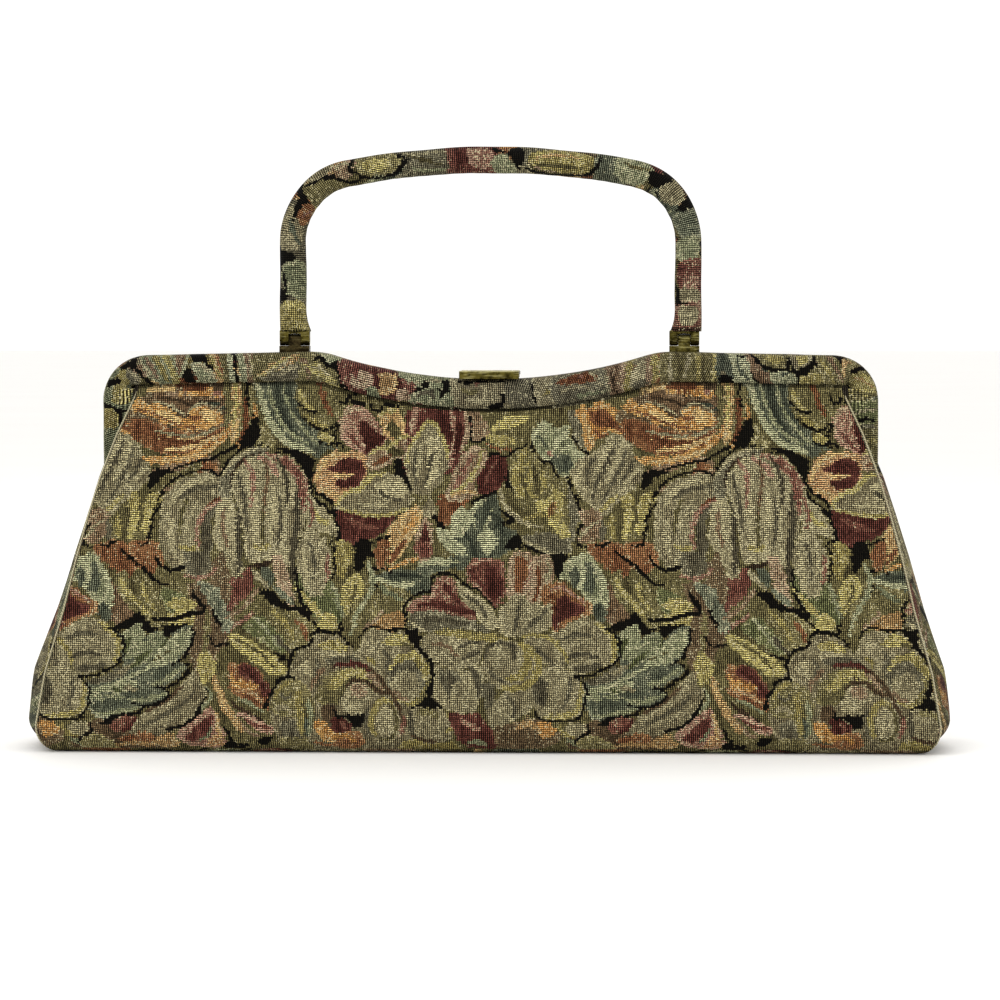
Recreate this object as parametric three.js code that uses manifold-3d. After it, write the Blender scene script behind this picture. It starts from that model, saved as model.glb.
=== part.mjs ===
// Frame handbag in tapestry cloth: a flared body of cloth walls hung in a cloth-covered hinged frame,
// with a stiff covered carrying handle on brass pivots and a brass flip clasp.
// Millimetres, +Z up, +X to the bag's right as its front is seen, front towards -Y.
// The origin is the middle of the base, on the surface that the bag stands on.
import * as THREE from "three";
import { mergeVertices } from "three/addons/utils/BufferGeometryUtils.js";
import Module from "manifold-3d";

const wasm = await Module();
wasm.setup();

// Driving dimensions
const GAP = 0.3; // between neighbouring pieces
const CLOTH = 2.0; // thickness of a body wall: tapestry cloth and its backing

const BODY = {
  halfDepth: 35, // base, front to back, halved
  cornerRadius: 9, // soft fold between a panel and the base
  topY: 8, // where a panel meets the underside of the frame
  belly: 2.5, // how far a filled panel swells at its middle
  topGap: 0.7, // panel's top edge to the frame band
  columns: 26,
};

// The seam with the gusset, by share of the panel's height
const SEAM = [
  { share: 0.0, halfWidth: 171.0 },
  { share: 0.153, halfWidth: 168.0 },
  { share: 0.334, halfWidth: 161.6 },
  { share: 0.493, halfWidth: 157.0 },
  { share: 0.62, halfWidth: 152.8 },
  { share: 0.732, halfWidth: 148.6 },
  { share: 0.864, halfWidth: 142.4 },
  { share: 0.975, halfWidth: 135.8 },
  { share: 1.0, halfWidth: 134.6 },
];
const BASE_HALF_WIDTH = 165; // seam at the base, where the lower corner rounds under

// How far the gusset swells outside its seam, by height
const GUSSET_SWELL = [
  { z: 2.3, swell: 0.6 },
  { z: 2.8, swell: 2.6 },
  { z: 4, swell: 5.2 },
  { z: 6, swell: 6.8 },
  { z: 14, swell: 7.6 },
  { z: 28, swell: 9.0 },
  { z: 42, swell: 7.2 },
  { z: 64, swell: 4.8 },
  { z: 90, swell: 3.2 },
  { z: 108, swell: 2.2 },
  { z: 140, swell: 1.6 },
];
const GUSSET = { topShare: 0.92, columns: 12, inset: 0.2 };

const FRAME = {
  bandHeight: 11.8,
  bandThickness: 9.0, // one half, front to back, with its cloth cover
  legThickness: 5.4, // thinner where the panels pass over the legs
  outerHalfWidth: 149.5,
  cornerRadius: 12.8,
  shoulderZ: 152.2, // highest line of the frame, beside the dip
  shoulderX: 70,
  cornerDrop: 1.4, // the frame falls a little from shoulder to corner
  dipDepth: 10.6,
  shoulderRadius: 34,
  legBottomZ: 109,
};

// Half section of the covered frame: across is along the band's height, out is from the closing plane
const FRAME_SECTION = [
  { across: -0.86, out: 0 },
  { across: 0.86, out: 0 },
  { across: 1, out: 0.14 },
  { across: 1, out: 0.58 },
  { across: 0.88, out: 0.85 },
  { across: 0.52, out: 1 },
  { across: -0.52, out: 1 },
  { across: -0.88, out: 0.85 },
  { across: -1, out: 0.58 },
  { across: -1, out: 0.14 },
];

const HANDLE = {
  legX: 76.4,
  radius: 5.25,
  flareX: 1.0, // extra half width where the cover runs over the brass fitting
  flareLength: 9,
  topZ: 226.2, // centreline at the middle of the grip
  cornerRadius: 28.8,
  cornerX: 47.6,
  cornerZ: 192.8,
  sides: 12,
};

const PIVOT = {
  z: 156.7,
  y: 4.8, // over the middle of the back frame half
  width: 11.6,
  lugHalfDepth: 2.2,
  slotHalfWidth: 2.4,
  tongueHalfWidth: 2.1,
  tongueHalfDepth: 2.0,
  holeRadius: 1.05,
  pinRadius: 0.75,
  plateHalfDepth: 3.4,
  plateThickness: 1.5,
  ferruleTopZ: 159.7,
};

const CLASP = {
  width: 23.6,
  frontY: -9.9,
  lipThickness: 1.4,
  lipBottomZ: 141.0,
  topZ: 144.8,
  leafThickness: 1.4,
  pivotY: 7.6,
  pivotZ: 144.0,
  knuckleRadius: 1.3,
  holeRadius: 0.95,
  pinRadius: 0.65,
  leverKnuckleHalfWidth: 8.6,
  plateKnuckleHalfWidth: 9.0,
  plateBottomZ: 142.3,
  plateThickness: 0.7,
};

const PIPING = { radius: 0.6, sides: 6, topShare: 0.97 };
const FRAME_HINGE = { thickness: 1.5, halfDepth: 5, height: 9 };

// Finishes
const TAPESTRY = { color: 0x6e6a4a, roughness: 0.9, metalness: 0 };
const GOLD_CORD = { color: 0xa39a66, roughness: 0.5, metalness: 0.3 };
const BRASS = { color: 0x8f7f33, roughness: 0.35, metalness: 1 };

const LERP = THREE.MathUtils.lerp;

// A value read from a table by straight runs between its rows
function lookUp(table, key, value, at) {
  const last = table[table.length - 1];
  if (at <= table[0][key]) return table[0][value];
  if (at >= last[key]) return last[value];
  const i = table.findIndex((row) => row[key] > at);
  const [low, high] = [table[i - 1], table[i]];
  const share = (at - low[key]) / (high[key] - low[key]);
  return LERP(low[value], high[value], share);
}

// Solids from triangles

function fromTriangles(points, triangles) {
  const geometry = new THREE.BufferGeometry().setFromPoints(points);
  geometry.setIndex(signedVolume(points, triangles) < 0 ? turned(triangles) : triangles);
  return geometry;
}

function signedVolume(points, triangles) {
  let sum = 0;
  for (let i = 0; i < triangles.length; i += 3) {
    const [a, b, c] = [0, 1, 2].map((k) => points[triangles[i + k]]);
    sum += a.dot(new THREE.Vector3().crossVectors(b, c));
  }
  return sum / 6;
}

function turned(triangles) {
  const out = [...triangles];
  for (let i = 0; i < out.length; i += 3) [out[i + 1], out[i + 2]] = [out[i + 2], out[i + 1]];
  return out;
}

// A closed bar through rings of equal point counts, with flat ends
function loft(rings) {
  const points = rings.flat();
  const n = rings[0].length;
  const triangles = [];
  for (let r = 0; r + 1 < rings.length; r++) {
    for (let i = 0; i < n; i++) {
      const [a, b] = [r * n + i, r * n + ((i + 1) % n)];
      triangles.push(a, b, a + n, b, b + n, a + n);
    }
  }
  const end = (rings.length - 1) * n;
  for (let i = 1; i + 1 < n; i++) {
    triangles.push(0, i + 1, i);
    triangles.push(end, end + i, end + i + 1);
  }
  return fromTriangles(points, triangles);
}

// A cloth wall: the grid of points is its outer face, and the inner face lies one thickness within
function clothWall(grid, thickness, inwards) {
  const [rows, columns] = [grid.length, grid[0].length];
  const clampRow = (i) => Math.min(Math.max(i, 0), rows - 1);
  const clampColumn = (j) => Math.min(Math.max(j, 0), columns - 1);
  const inner = grid.map((row, i) =>
    row.map((point, j) => {
      const along = grid[clampRow(i + 1)][j].clone().sub(grid[clampRow(i - 1)][j]);
      const across = row[clampColumn(j + 1)].clone().sub(row[clampColumn(j - 1)]);
      const normal = along.cross(across).normalize().multiplyScalar(inwards * thickness);
      return point.clone().add(normal);
    }),
  );
  const points = [...grid.flat(), ...inner.flat()];
  const face = rows * columns;
  const at = (i, j) => i * columns + j;
  const triangles = [];
  const quad = (a, b, c, d) => triangles.push(a, b, c, a, c, d);
  for (let i = 0; i + 1 < rows; i++) {
    for (let j = 0; j + 1 < columns; j++) {
      const [a, b, c, d] = [at(i, j), at(i, j + 1), at(i + 1, j + 1), at(i + 1, j)];
      quad(a, b, c, d);
      quad(d + face, c + face, b + face, a + face);
    }
  }
  for (let i = 0; i + 1 < rows; i++) {
    for (const [j, left] of [[0, true], [columns - 1, false]]) {
      const [a, b] = left ? [at(i, j), at(i + 1, j)] : [at(i + 1, j), at(i, j)];
      quad(a, b, b + face, a + face);
    }
  }
  for (let j = 0; j + 1 < columns; j++) {
    for (const [i, first] of [[0, true], [rows - 1, false]]) {
      const [a, b] = first ? [at(i, j + 1), at(i, j)] : [at(i, j), at(i, j + 1)];
      quad(a, b, b + face, a + face);
    }
  }
  return fromTriangles(points, triangles);
}

function toSolid(geometry) {
  const bare = geometry.clone();
  bare.deleteAttribute("normal");
  bare.deleteAttribute("uv");
  const merged = mergeVertices(bare, 1e-4);
  return new wasm.Manifold(
    new wasm.Mesh({
      numProp: 3,
      vertProperties: new Float32Array(merged.attributes.position.array),
      triVerts: new Uint32Array(merged.index.array),
    }),
  );
}

function toGeometry(solid) {
  const mesh = solid.getMesh();
  const geometry = new THREE.BufferGeometry();
  geometry.setAttribute("position", new THREE.BufferAttribute(mesh.vertProperties, mesh.numProp));
  geometry.setIndex(new THREE.BufferAttribute(mesh.triVerts, 1));
  return geometry;
}

function joined(...geometries) {
  return toGeometry(geometries.map(toSolid).reduce((sum, next) => sum.add(next)));
}

function cutBy(geometry, ...cutters) {
  return toGeometry(cutters.map(toSolid).reduce((rest, next) => rest.subtract(next), toSolid(geometry)));
}

function mirroredInX(geometry) {
  const source = geometry.index ? geometry.toNonIndexed() : geometry.clone();
  const position = source.getAttribute("position");
  const points = [];
  for (let i = 0; i < position.count; i++) {
    points.push(new THREE.Vector3(-position.getX(i), position.getY(i), position.getZ(i)));
  }
  return fromTriangles(points, points.map((_, i) => i));
}

function box(lowX, highX, lowY, highY, lowZ, highZ) {
  const geometry = new THREE.BoxGeometry(highX - lowX, highY - lowY, highZ - lowZ);
  return geometry.translate((lowX + highX) / 2, (lowY + highY) / 2, (lowZ + highZ) / 2);
}

// A flat outline drawn in Y and Z, drawn out along X from lowX
const ALONG_X = new THREE.Matrix4().makeBasis(
  new THREE.Vector3(0, 1, 0),
  new THREE.Vector3(0, 0, 1),
  new THREE.Vector3(1, 0, 0),
);
function barAlongX(shape, lowX, width) {
  const geometry = new THREE.ExtrudeGeometry(shape, { depth: width, bevelEnabled: false, curveSegments: 6 });
  return geometry.applyMatrix4(ALONG_X).translate(lowX, 0, 0);
}

function rodAlongX(radius, lowX, highX, y, z, sides = 16) {
  const geometry = new THREE.CylinderGeometry(radius, radius, highX - lowX, sides);
  return geometry.rotateZ(Math.PI / 2).translate((lowX + highX) / 2, y, z);
}

// The frame's top line

const DIP_ANGLE = 2 * Math.atan(FRAME.dipDepth / FRAME.shoulderX);
const DIP_RADIUS = FRAME.shoulderX / Math.sin(DIP_ANGLE) - FRAME.shoulderRadius;
const DIP_END_X = DIP_RADIUS * Math.sin(DIP_ANGLE);
const CORNER_X = FRAME.outerHalfWidth - FRAME.cornerRadius;
const CORNER_Z = FRAME.shoulderZ - FRAME.cornerDrop - FRAME.cornerRadius;

function frameTopZ(x) {
  const reach = Math.min(Math.abs(x), CORNER_X);
  const fall = FRAME.cornerDrop / (CORNER_X - FRAME.shoulderX);
  if (reach >= FRAME.shoulderX) return FRAME.shoulderZ - fall * (reach - FRAME.shoulderX);
  if (reach >= DIP_END_X) {
    const back = FRAME.shoulderX - reach;
    return FRAME.shoulderZ - (FRAME.shoulderRadius - Math.sqrt(FRAME.shoulderRadius ** 2 - back ** 2));
  }
  return FRAME.shoulderZ - FRAME.dipDepth + DIP_RADIUS - Math.sqrt(DIP_RADIUS ** 2 - reach ** 2);
}

function frameSlope(x) {
  const step = 0.01;
  return (frameTopZ(x + step) - frameTopZ(x - step)) / (2 * step);
}

function panelTopZ(x) {
  const slope = frameSlope(THREE.MathUtils.clamp(x, -CORNER_X + 1, CORNER_X - 1));
  return frameTopZ(x) - FRAME.bandHeight * Math.hypot(1, slope) - BODY.topGap;
}

// Stations along the middle of the band: down each leg, round the corners and over the top
function frameStations() {
  const half = FRAME.bandHeight / 2;
  const legX = FRAME.outerHalfWidth - half;
  const middleRadius = FRAME.cornerRadius - half;
  const right = [];
  const topSteps = 23;
  const cornerSteps = 5;
  for (let i = 0; i <= topSteps; i++) {
    const x = (CORNER_X * i) / topSteps;
    const normal = new THREE.Vector2(-frameSlope(Math.min(x, CORNER_X - 1)), 1).normalize();
    right.push({ x: x - normal.x * half, z: frameTopZ(x) - normal.y * half, normal, thin: 0 });
  }
  for (let i = 1; i <= cornerSteps; i++) {
    const angle = (Math.PI / 2) * (1 - i / cornerSteps);
    const normal = new THREE.Vector2(Math.cos(angle), Math.sin(angle));
    right.push({
      x: CORNER_X + middleRadius * normal.x,
      z: CORNER_Z + middleRadius * normal.y,
      normal,
      thin: i / cornerSteps,
    });
  }
  for (const z of [LERP(CORNER_Z, FRAME.legBottomZ, 0.5), FRAME.legBottomZ]) {
    right.push({ x: legX, z, normal: new THREE.Vector2(1, 0), thin: 1 });
  }
  const left = right
    .slice(1)
    .reverse()
    .map((s) => ({ ...s, x: -s.x, normal: new THREE.Vector2(-s.normal.x, s.normal.y) }));
  return [...left, ...right];
}

function frameHalf(side) {
  const half = FRAME.bandHeight / 2;
  const rings = frameStations().map((station) => {
    const thickness = LERP(FRAME.bandThickness, FRAME.legThickness, station.thin);
    return FRAME_SECTION.map(({ across, out }) => {
      const x = station.x + station.normal.x * across * half;
      const z = station.z + station.normal.y * across * half;
      return new THREE.Vector3(x, side * (GAP + out * thickness), z);
    });
  });
  return loft(rings);
}

function frameHinge(side) {
  const inner = FRAME.outerHalfWidth - FRAME.bandHeight - GAP;
  const low = FRAME.legBottomZ + 1;
  const { thickness, halfDepth, height } = FRAME_HINGE;
  const plate = box(inner - thickness, inner, -halfDepth, halfDepth, low, low + height);
  return side > 0 ? plate : mirroredInX(plate);
}

// The body: one cloth down the front, under the base and up the back

// Rows of the front half of its outer face, from the middle of the base to the panel's top edge
function bodyRows() {
  const radius = BODY.cornerRadius;
  const centreY = BODY.halfDepth - radius;
  const sideTopZ = panelTopZ(CORNER_X);
  const lean = Math.atan2(BODY.halfDepth - BODY.topY, sideTopZ - radius);
  const rows = [];
  const baseSteps = 2;
  const cornerSteps = 5;
  const panelSteps = 12;
  for (let i = 0; i < baseSteps; i++) {
    rows.push({ y: (centreY * i) / baseSteps, z: 0, normal: [0, -1], halfWidth: BASE_HALF_WIDTH });
  }
  for (let i = 0; i < cornerSteps; i++) {
    const share = i / cornerSteps;
    const angle = LERP(-Math.PI / 2, lean, share);
    const normal = [Math.cos(angle), Math.sin(angle)];
    const y = centreY + radius * normal[0];
    const z = radius + radius * normal[1];
    const halfWidth = LERP(BASE_HALF_WIDTH, SEAM[0].halfWidth, Math.sin((share * Math.PI) / 2));
    rows.push({ y, z, normal, halfWidth });
  }
  const normal = [Math.cos(lean), Math.sin(lean)];
  const lowY = centreY + radius * normal[0];
  const lowZ = radius + radius * normal[1];
  for (let i = 0; i <= panelSteps; i++) {
    const share = i / panelSteps;
    const halfWidth = lookUp(SEAM, "share", "halfWidth", share);
    rows.push({ y: LERP(lowY, BODY.topY, share), z: LERP(lowZ, sideTopZ, share), normal, halfWidth, share, lowZ });
  }
  return rows;
}

function bodyPoint(row, across, side) {
  const x = across * row.halfWidth;
  if (row.share === undefined) return new THREE.Vector3(x, side * row.y, row.z);
  const swell = BODY.belly * 4 * row.share * (1 - row.share) * (1 - across * across);
  return new THREE.Vector3(x, side * (row.y + swell), LERP(row.lowZ, panelTopZ(x), row.share));
}

function bodyWrap() {
  const rows = bodyRows();
  const line = (row, side) =>
    Array.from({ length: BODY.columns + 1 }, (_, j) => bodyPoint(row, (2 * j) / BODY.columns - 1, side));
  const front = rows.slice(1).reverse().map((row) => line(row, -1));
  const back = rows.map((row) => line(row, 1));
  return clothWall([...front, ...back], CLOTH, -1);
}

// The gusset fills the side between the two panels, and rises in two horns beside the frame's legs
function gusset(side) {
  const rows = bodyRows().filter((row, i) => i >= 2 && !(row.share > GUSSET.topShare));
  const inset = CLOTH + GAP;
  const grid = rows.map((row) => {
    const depth = row.y - row.normal[0] * inset;
    const z = row.z - row.normal[1] * inset;
    const swell = lookUp(GUSSET_SWELL, "z", "swell", z);
    return Array.from({ length: GUSSET.columns + 1 }, (_, j) => {
      const across = (2 * j) / GUSSET.columns - 1;
      const x = row.halfWidth - GUSSET.inset + swell * (1 - across * across);
      return new THREE.Vector3(x, across * depth, z);
    });
  });
  const wall = clothWall(grid, CLOTH, 1);
  const legDepth = FRAME.legThickness + 2 * GAP;
  const legRoom = box(100, 200, -legDepth, legDepth, FRAME.legBottomZ - GAP, 200);
  const cut = cutBy(wall, legRoom);
  return side > 0 ? cut : mirroredInX(cut);
}

// The piping lies in the seam: down the front, under the base's end and up the back
function piping(side) {
  const rows = bodyRows().filter((row) => !(row.share > PIPING.topShare));
  const seamX = PIPING.radius + GAP;
  const middle = (row, front) =>
    new THREE.Vector3(
      side * (row.halfWidth + seamX),
      front * (row.y - (row.normal[0] * CLOTH) / 2),
      row.z - (row.normal[1] * CLOTH) / 2,
    );
  const route = [
    ...rows.slice(1).reverse().map((row) => middle(row, -1)),
    ...rows.map((row) => middle(row, 1)),
  ];
  return loft(
    route.map((point, i) => {
      const ahead = route[Math.min(i + 1, route.length - 1)].clone();
      const tangent = ahead.sub(route[Math.max(i - 1, 0)]).normalize();
      const outward = new THREE.Vector3(1, 0, 0).addScaledVector(tangent, -tangent.x).normalize();
      const sideways = tangent.clone().cross(outward);
      return Array.from({ length: PIPING.sides }, (_, k) => {
        const angle = (2 * Math.PI * k) / PIPING.sides;
        return point
          .clone()
          .addScaledVector(outward, PIPING.radius * Math.cos(angle))
          .addScaledVector(sideways, PIPING.radius * Math.sin(angle));
      });
    }),
  );
}

// The handle

// Centreline stations from the left end over the top to the right end
function handleStations() {
  const { legX, topZ, cornerRadius, cornerX, cornerZ } = HANDLE;
  const lowZ = PIVOT.ferruleTopZ + GAP;
  const topRadius = (cornerX ** 2 + (topZ - cornerZ) ** 2 - cornerRadius ** 2) / (2 * (topZ - cornerZ - cornerRadius));
  const topCentreZ = topZ - topRadius;
  const meetAngle = Math.atan2(cornerZ - topCentreZ, cornerX);
  const right = [];
  const add = (x, z, angle) => right.push({ x, z, normal: new THREE.Vector2(Math.cos(angle), Math.sin(angle)) });
  const topSteps = 4;
  const cornerSteps = 8;
  for (let i = 0; i < topSteps; i++) {
    const angle = LERP(Math.PI / 2, meetAngle, i / topSteps);
    add(topRadius * Math.cos(angle), topCentreZ + topRadius * Math.sin(angle), angle);
  }
  for (let i = 0; i <= cornerSteps; i++) {
    const angle = LERP(meetAngle, 0, i / cornerSteps);
    add(cornerX + cornerRadius * Math.cos(angle), cornerZ + cornerRadius * Math.sin(angle), angle);
  }
  for (const z of [LERP(cornerZ, lowZ, 0.5), lowZ + HANDLE.flareLength, lowZ + HANDLE.flareLength * 0.4, lowZ]) {
    add(legX, z, 0);
  }
  const left = right
    .slice(1)
    .reverse()
    .map((s) => ({ x: -s.x, z: s.z, normal: new THREE.Vector2(-s.normal.x, s.normal.y) }));
  return [...left, ...right];
}

function handleGrip() {
  const lowZ = PIVOT.ferruleTopZ + GAP;
  return loft(
    handleStations().map(({ x, z, normal }) => {
      const rise = THREE.MathUtils.clamp((z - lowZ) / HANDLE.flareLength, 0, 1);
      const wide = HANDLE.radius + HANDLE.flareX * (1 - rise) ** 2;
      return Array.from({ length: HANDLE.sides }, (_, k) => {
        const angle = (2 * Math.PI * (k + 0.5)) / HANDLE.sides;
        const out = wide * Math.cos(angle);
        const deep = HANDLE.radius * Math.sin(angle);
        return new THREE.Vector3(x + normal.x * out, PIVOT.y + deep, z + normal.y * out);
      });
    }),
  );
}

// An upright plate with a round end about the pivot and a hole for its pin
function pivotPlate(halfDepth, farZ, lowX, width, turnedUp) {
  const shape = new THREE.Shape();
  const { y, z } = PIVOT;
  shape.moveTo(y + halfDepth, farZ);
  shape.lineTo(y + halfDepth, z);
  shape.absarc(y, z, halfDepth, 0, turnedUp ? Math.PI : -Math.PI, !turnedUp);
  shape.lineTo(y - halfDepth, farZ);
  shape.closePath();
  const hole = new THREE.Path().absarc(y, z, PIVOT.holeRadius, 0, 2 * Math.PI, false);
  shape.holes.push(hole);
  return barAlongX(shape, lowX, width);
}

// Brass end of the handle: two lugs under a bridge that closes their slot at the top
function handleFerrule(side) {
  const { width, slotHalfWidth, lugHalfDepth, ferruleTopZ, z, y } = PIVOT;
  const middle = side * HANDLE.legX;
  const lugWidth = width / 2 - slotHalfWidth;
  const slotTopZ = z + PIVOT.tongueHalfDepth + GAP;
  return joined(
    pivotPlate(lugHalfDepth, ferruleTopZ, middle - width / 2, lugWidth, false),
    pivotPlate(lugHalfDepth, ferruleTopZ, middle + slotHalfWidth, lugWidth, false),
    box(middle - width / 2, middle + width / 2, y - lugHalfDepth, y + lugHalfDepth, slotTopZ, ferruleTopZ),
  );
}

// Brass foot of the pivot on the back frame half: a plate with an upright tongue
function handlePost(side) {
  const { width, tongueHalfWidth, tongueHalfDepth, plateHalfDepth, plateThickness, y } = PIVOT;
  const middle = side * HANDLE.legX;
  const lowZ = frameTopZ(HANDLE.legX - width / 2) + GAP;
  const topZ = lowZ + plateThickness;
  return joined(
    box(middle - width / 2, middle + width / 2, y - plateHalfDepth, y + plateHalfDepth, lowZ, topZ),
    pivotPlate(tongueHalfDepth, lowZ + plateThickness / 2, middle - tongueHalfWidth, 2 * tongueHalfWidth, true),
  );
}

function handlePin(side) {
  const middle = side * HANDLE.legX;
  const reach = PIVOT.width / 2 - GAP;
  return rodAlongX(PIVOT.pinRadius, middle - reach, middle + reach, PIVOT.y, PIVOT.z);
}

// The clasp

// A leaf over both frame halves, turned down in front of the front half, on a knuckle at the back
function claspLever() {
  const { width, frontY, lipThickness, lipBottomZ, topZ, leafThickness, pivotY, pivotZ, knuckleRadius } = CLASP;
  const round = 0.6;
  const rearY = pivotY - knuckleRadius - GAP;
  const shape = new THREE.Shape();
  shape.moveTo(frontY, lipBottomZ);
  shape.lineTo(frontY, topZ - round);
  shape.absarc(frontY + round, topZ - round, round, Math.PI, Math.PI / 2, true);
  shape.lineTo(rearY, topZ);
  shape.lineTo(rearY, topZ - leafThickness);
  shape.lineTo(frontY + lipThickness, topZ - leafThickness);
  shape.lineTo(frontY + lipThickness, lipBottomZ);
  shape.closePath();
  const knuckle = CLASP.leverKnuckleHalfWidth;
  return cutBy(
    joined(
      barAlongX(shape, -width / 2, width),
      box(-knuckle, knuckle, rearY - 1, pivotY, topZ - leafThickness, topZ),
      rodAlongX(knuckleRadius, -knuckle, knuckle, pivotY, pivotZ),
    ),
    rodAlongX(CLASP.holeRadius, -width, width, pivotY, pivotZ),
  );
}

// The leaf on the back frame half, with a knuckle at each end of the pin
function claspPlate() {
  const { width, pivotY, pivotZ, knuckleRadius, plateBottomZ, plateThickness } = CLASP;
  const inner = CLASP.plateKnuckleHalfWidth;
  const rearY = pivotY - knuckleRadius - GAP;
  const topZ = plateBottomZ + plateThickness;
  const ends = [[-width / 2, -inner], [inner, width / 2]];
  return cutBy(
    joined(
      box(-width / 2, width / 2, 1, rearY, plateBottomZ, topZ),
      ...ends.map(([low, high]) => box(low, high, rearY - 1, pivotY + knuckleRadius, plateBottomZ, topZ)),
      ...ends.map(([low, high]) => rodAlongX(knuckleRadius, low, high, pivotY, pivotZ)),
    ),
    rodAlongX(CLASP.holeRadius, -width, width, pivotY, pivotZ),
  );
}

function claspPin() {
  const reach = CLASP.width / 2 - GAP;
  return rodAlongX(CLASP.pinRadius, -reach, reach, CLASP.pivotY, CLASP.pivotZ);
}

// Plain keeper on the front frame half, under the lever
function claspCatch() {
  const { plateBottomZ, plateThickness } = CLASP;
  return box(-9, 9, -7, -1.2, plateBottomZ, plateBottomZ + plateThickness);
}

// Assembly

function piece(name, geometry, finish) {
  const mesh = new THREE.Mesh(geometry, new THREE.MeshStandardMaterial(finish));
  mesh.name = name;
  return mesh;
}

const SIDES = [["left", -1], ["right", 1]];

const bag = new THREE.Group();
bag.add(piece("body_wrap", bodyWrap(), TAPESTRY));
bag.add(piece("frame_front", frameHalf(-1), TAPESTRY));
bag.add(piece("frame_back", frameHalf(1), TAPESTRY));
for (const [name, side] of SIDES) {
  bag.add(piece(`gusset_${name}`, gusset(side), TAPESTRY));
  bag.add(piece(`piping_${name}`, piping(side), GOLD_CORD));
  bag.add(piece(`frame_hinge_${name}`, frameHinge(side), BRASS));
  bag.add(piece(`handle_post_${name}`, handlePost(side), BRASS));
}
bag.add(piece("clasp_plate", claspPlate(), BRASS));
bag.add(piece("clasp_catch", claspCatch(), BRASS));

const clasp = new THREE.Group();
clasp.add(piece("clasp_lever", claspLever(), BRASS));
clasp.add(piece("clasp_pin", claspPin(), BRASS));

const handle = new THREE.Group();
handle.add(piece("handle_grip", handleGrip(), TAPESTRY));
for (const [name, side] of SIDES) {
  handle.add(piece(`handle_ferrule_${name}`, handleFerrule(side), BRASS));
  handle.add(piece(`handle_pin_${name}`, handlePin(side), BRASS));
}

const handbag = new THREE.Group();
handbag.add(bag, clasp, handle);

export default handbag;
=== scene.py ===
import bpy
import math
import numpy as np
from mathutils import Matrix, Vector


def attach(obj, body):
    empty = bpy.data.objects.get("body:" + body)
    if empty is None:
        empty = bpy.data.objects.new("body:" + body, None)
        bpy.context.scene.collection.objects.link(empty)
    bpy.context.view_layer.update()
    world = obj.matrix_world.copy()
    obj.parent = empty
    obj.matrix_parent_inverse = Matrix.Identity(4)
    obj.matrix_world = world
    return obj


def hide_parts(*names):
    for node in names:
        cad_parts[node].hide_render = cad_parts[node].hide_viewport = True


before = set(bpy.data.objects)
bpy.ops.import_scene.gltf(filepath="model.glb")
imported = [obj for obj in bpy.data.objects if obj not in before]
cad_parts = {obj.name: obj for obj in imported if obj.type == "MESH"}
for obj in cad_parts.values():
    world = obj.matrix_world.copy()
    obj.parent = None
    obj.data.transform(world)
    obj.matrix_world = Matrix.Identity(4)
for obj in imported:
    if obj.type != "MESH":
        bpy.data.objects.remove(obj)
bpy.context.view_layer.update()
print("frame loaded:", len(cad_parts), "nodes")

mm = 0.001

# The cloth: one repeat of the jacquard, drawn in stitches.
# x counts from the middle of the front panel, y up from its lower edge.
clothRepeat = {
    "stitchesAcross": 248,
    "stitchesUp": 192,
    "stitchWidth": 0.763,    # mm
    "stitchHeight": 0.773,   # mm
    "background": ("olive", 1.1),
    "curveSteps": 5,         # points that round off each stretch of a drawn curve
    "areaMargin": 3,         # stitches looked at around an area, and around a line
    "lineMargin": 2,
    "ragged": 1.1,           # how far an edge wanders, in stitches
    "raggedSize": 3.5,
    "rim": 0.6,              # petals are paler at the rim, in tones
    "rimDepth": 1.3,         # stitches
    "streak": 1.0,           # streaks that run down a petal, in tones
    "streakWidth": 1.4,
    "streakLength": 9,
    "streakShift": 9,
    "cloud": 0.7,            # broad patches of a lighter or darker blend, in tones
    "cloudSize": 9,
    "grain": 0.16,           # stray stitches, in tones
    "warpTone": 0.35,        # how far one warp thread differs from the next, in tones
    "lineWeight": 1.15,
    "groundWeight": 0.85,    # black lines are thinner
    "lineEnd": 0.35,         # share of a line's width that is left at its ends
    "lineRagged": 0.7,       # share of an area's ragged edge that a line has
    "codes": [(1.5, 0.33), (2.2, 0.66), (2.55, 1.0)],     # above this tone, a stitch has this code
    "frameCut": ((-215, 130), (215, 225)),                # corners of the frame's and the handle's cuts
    "handleCut": ((-4, -34), (340, 14)),
    "dye": 0.68,             # share of the yarns' screen colours that the cloth has in full light
    "panelTint": (1.0, 0.955, 1.0),
    "frameTint": (0.86, 0.83, 0.94),      # the frame's and the handle's cloth is darker and duller than the panels'
    "handleTint": (0.87, 0.84, 0.92),
    "seed": 11,
}

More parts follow.
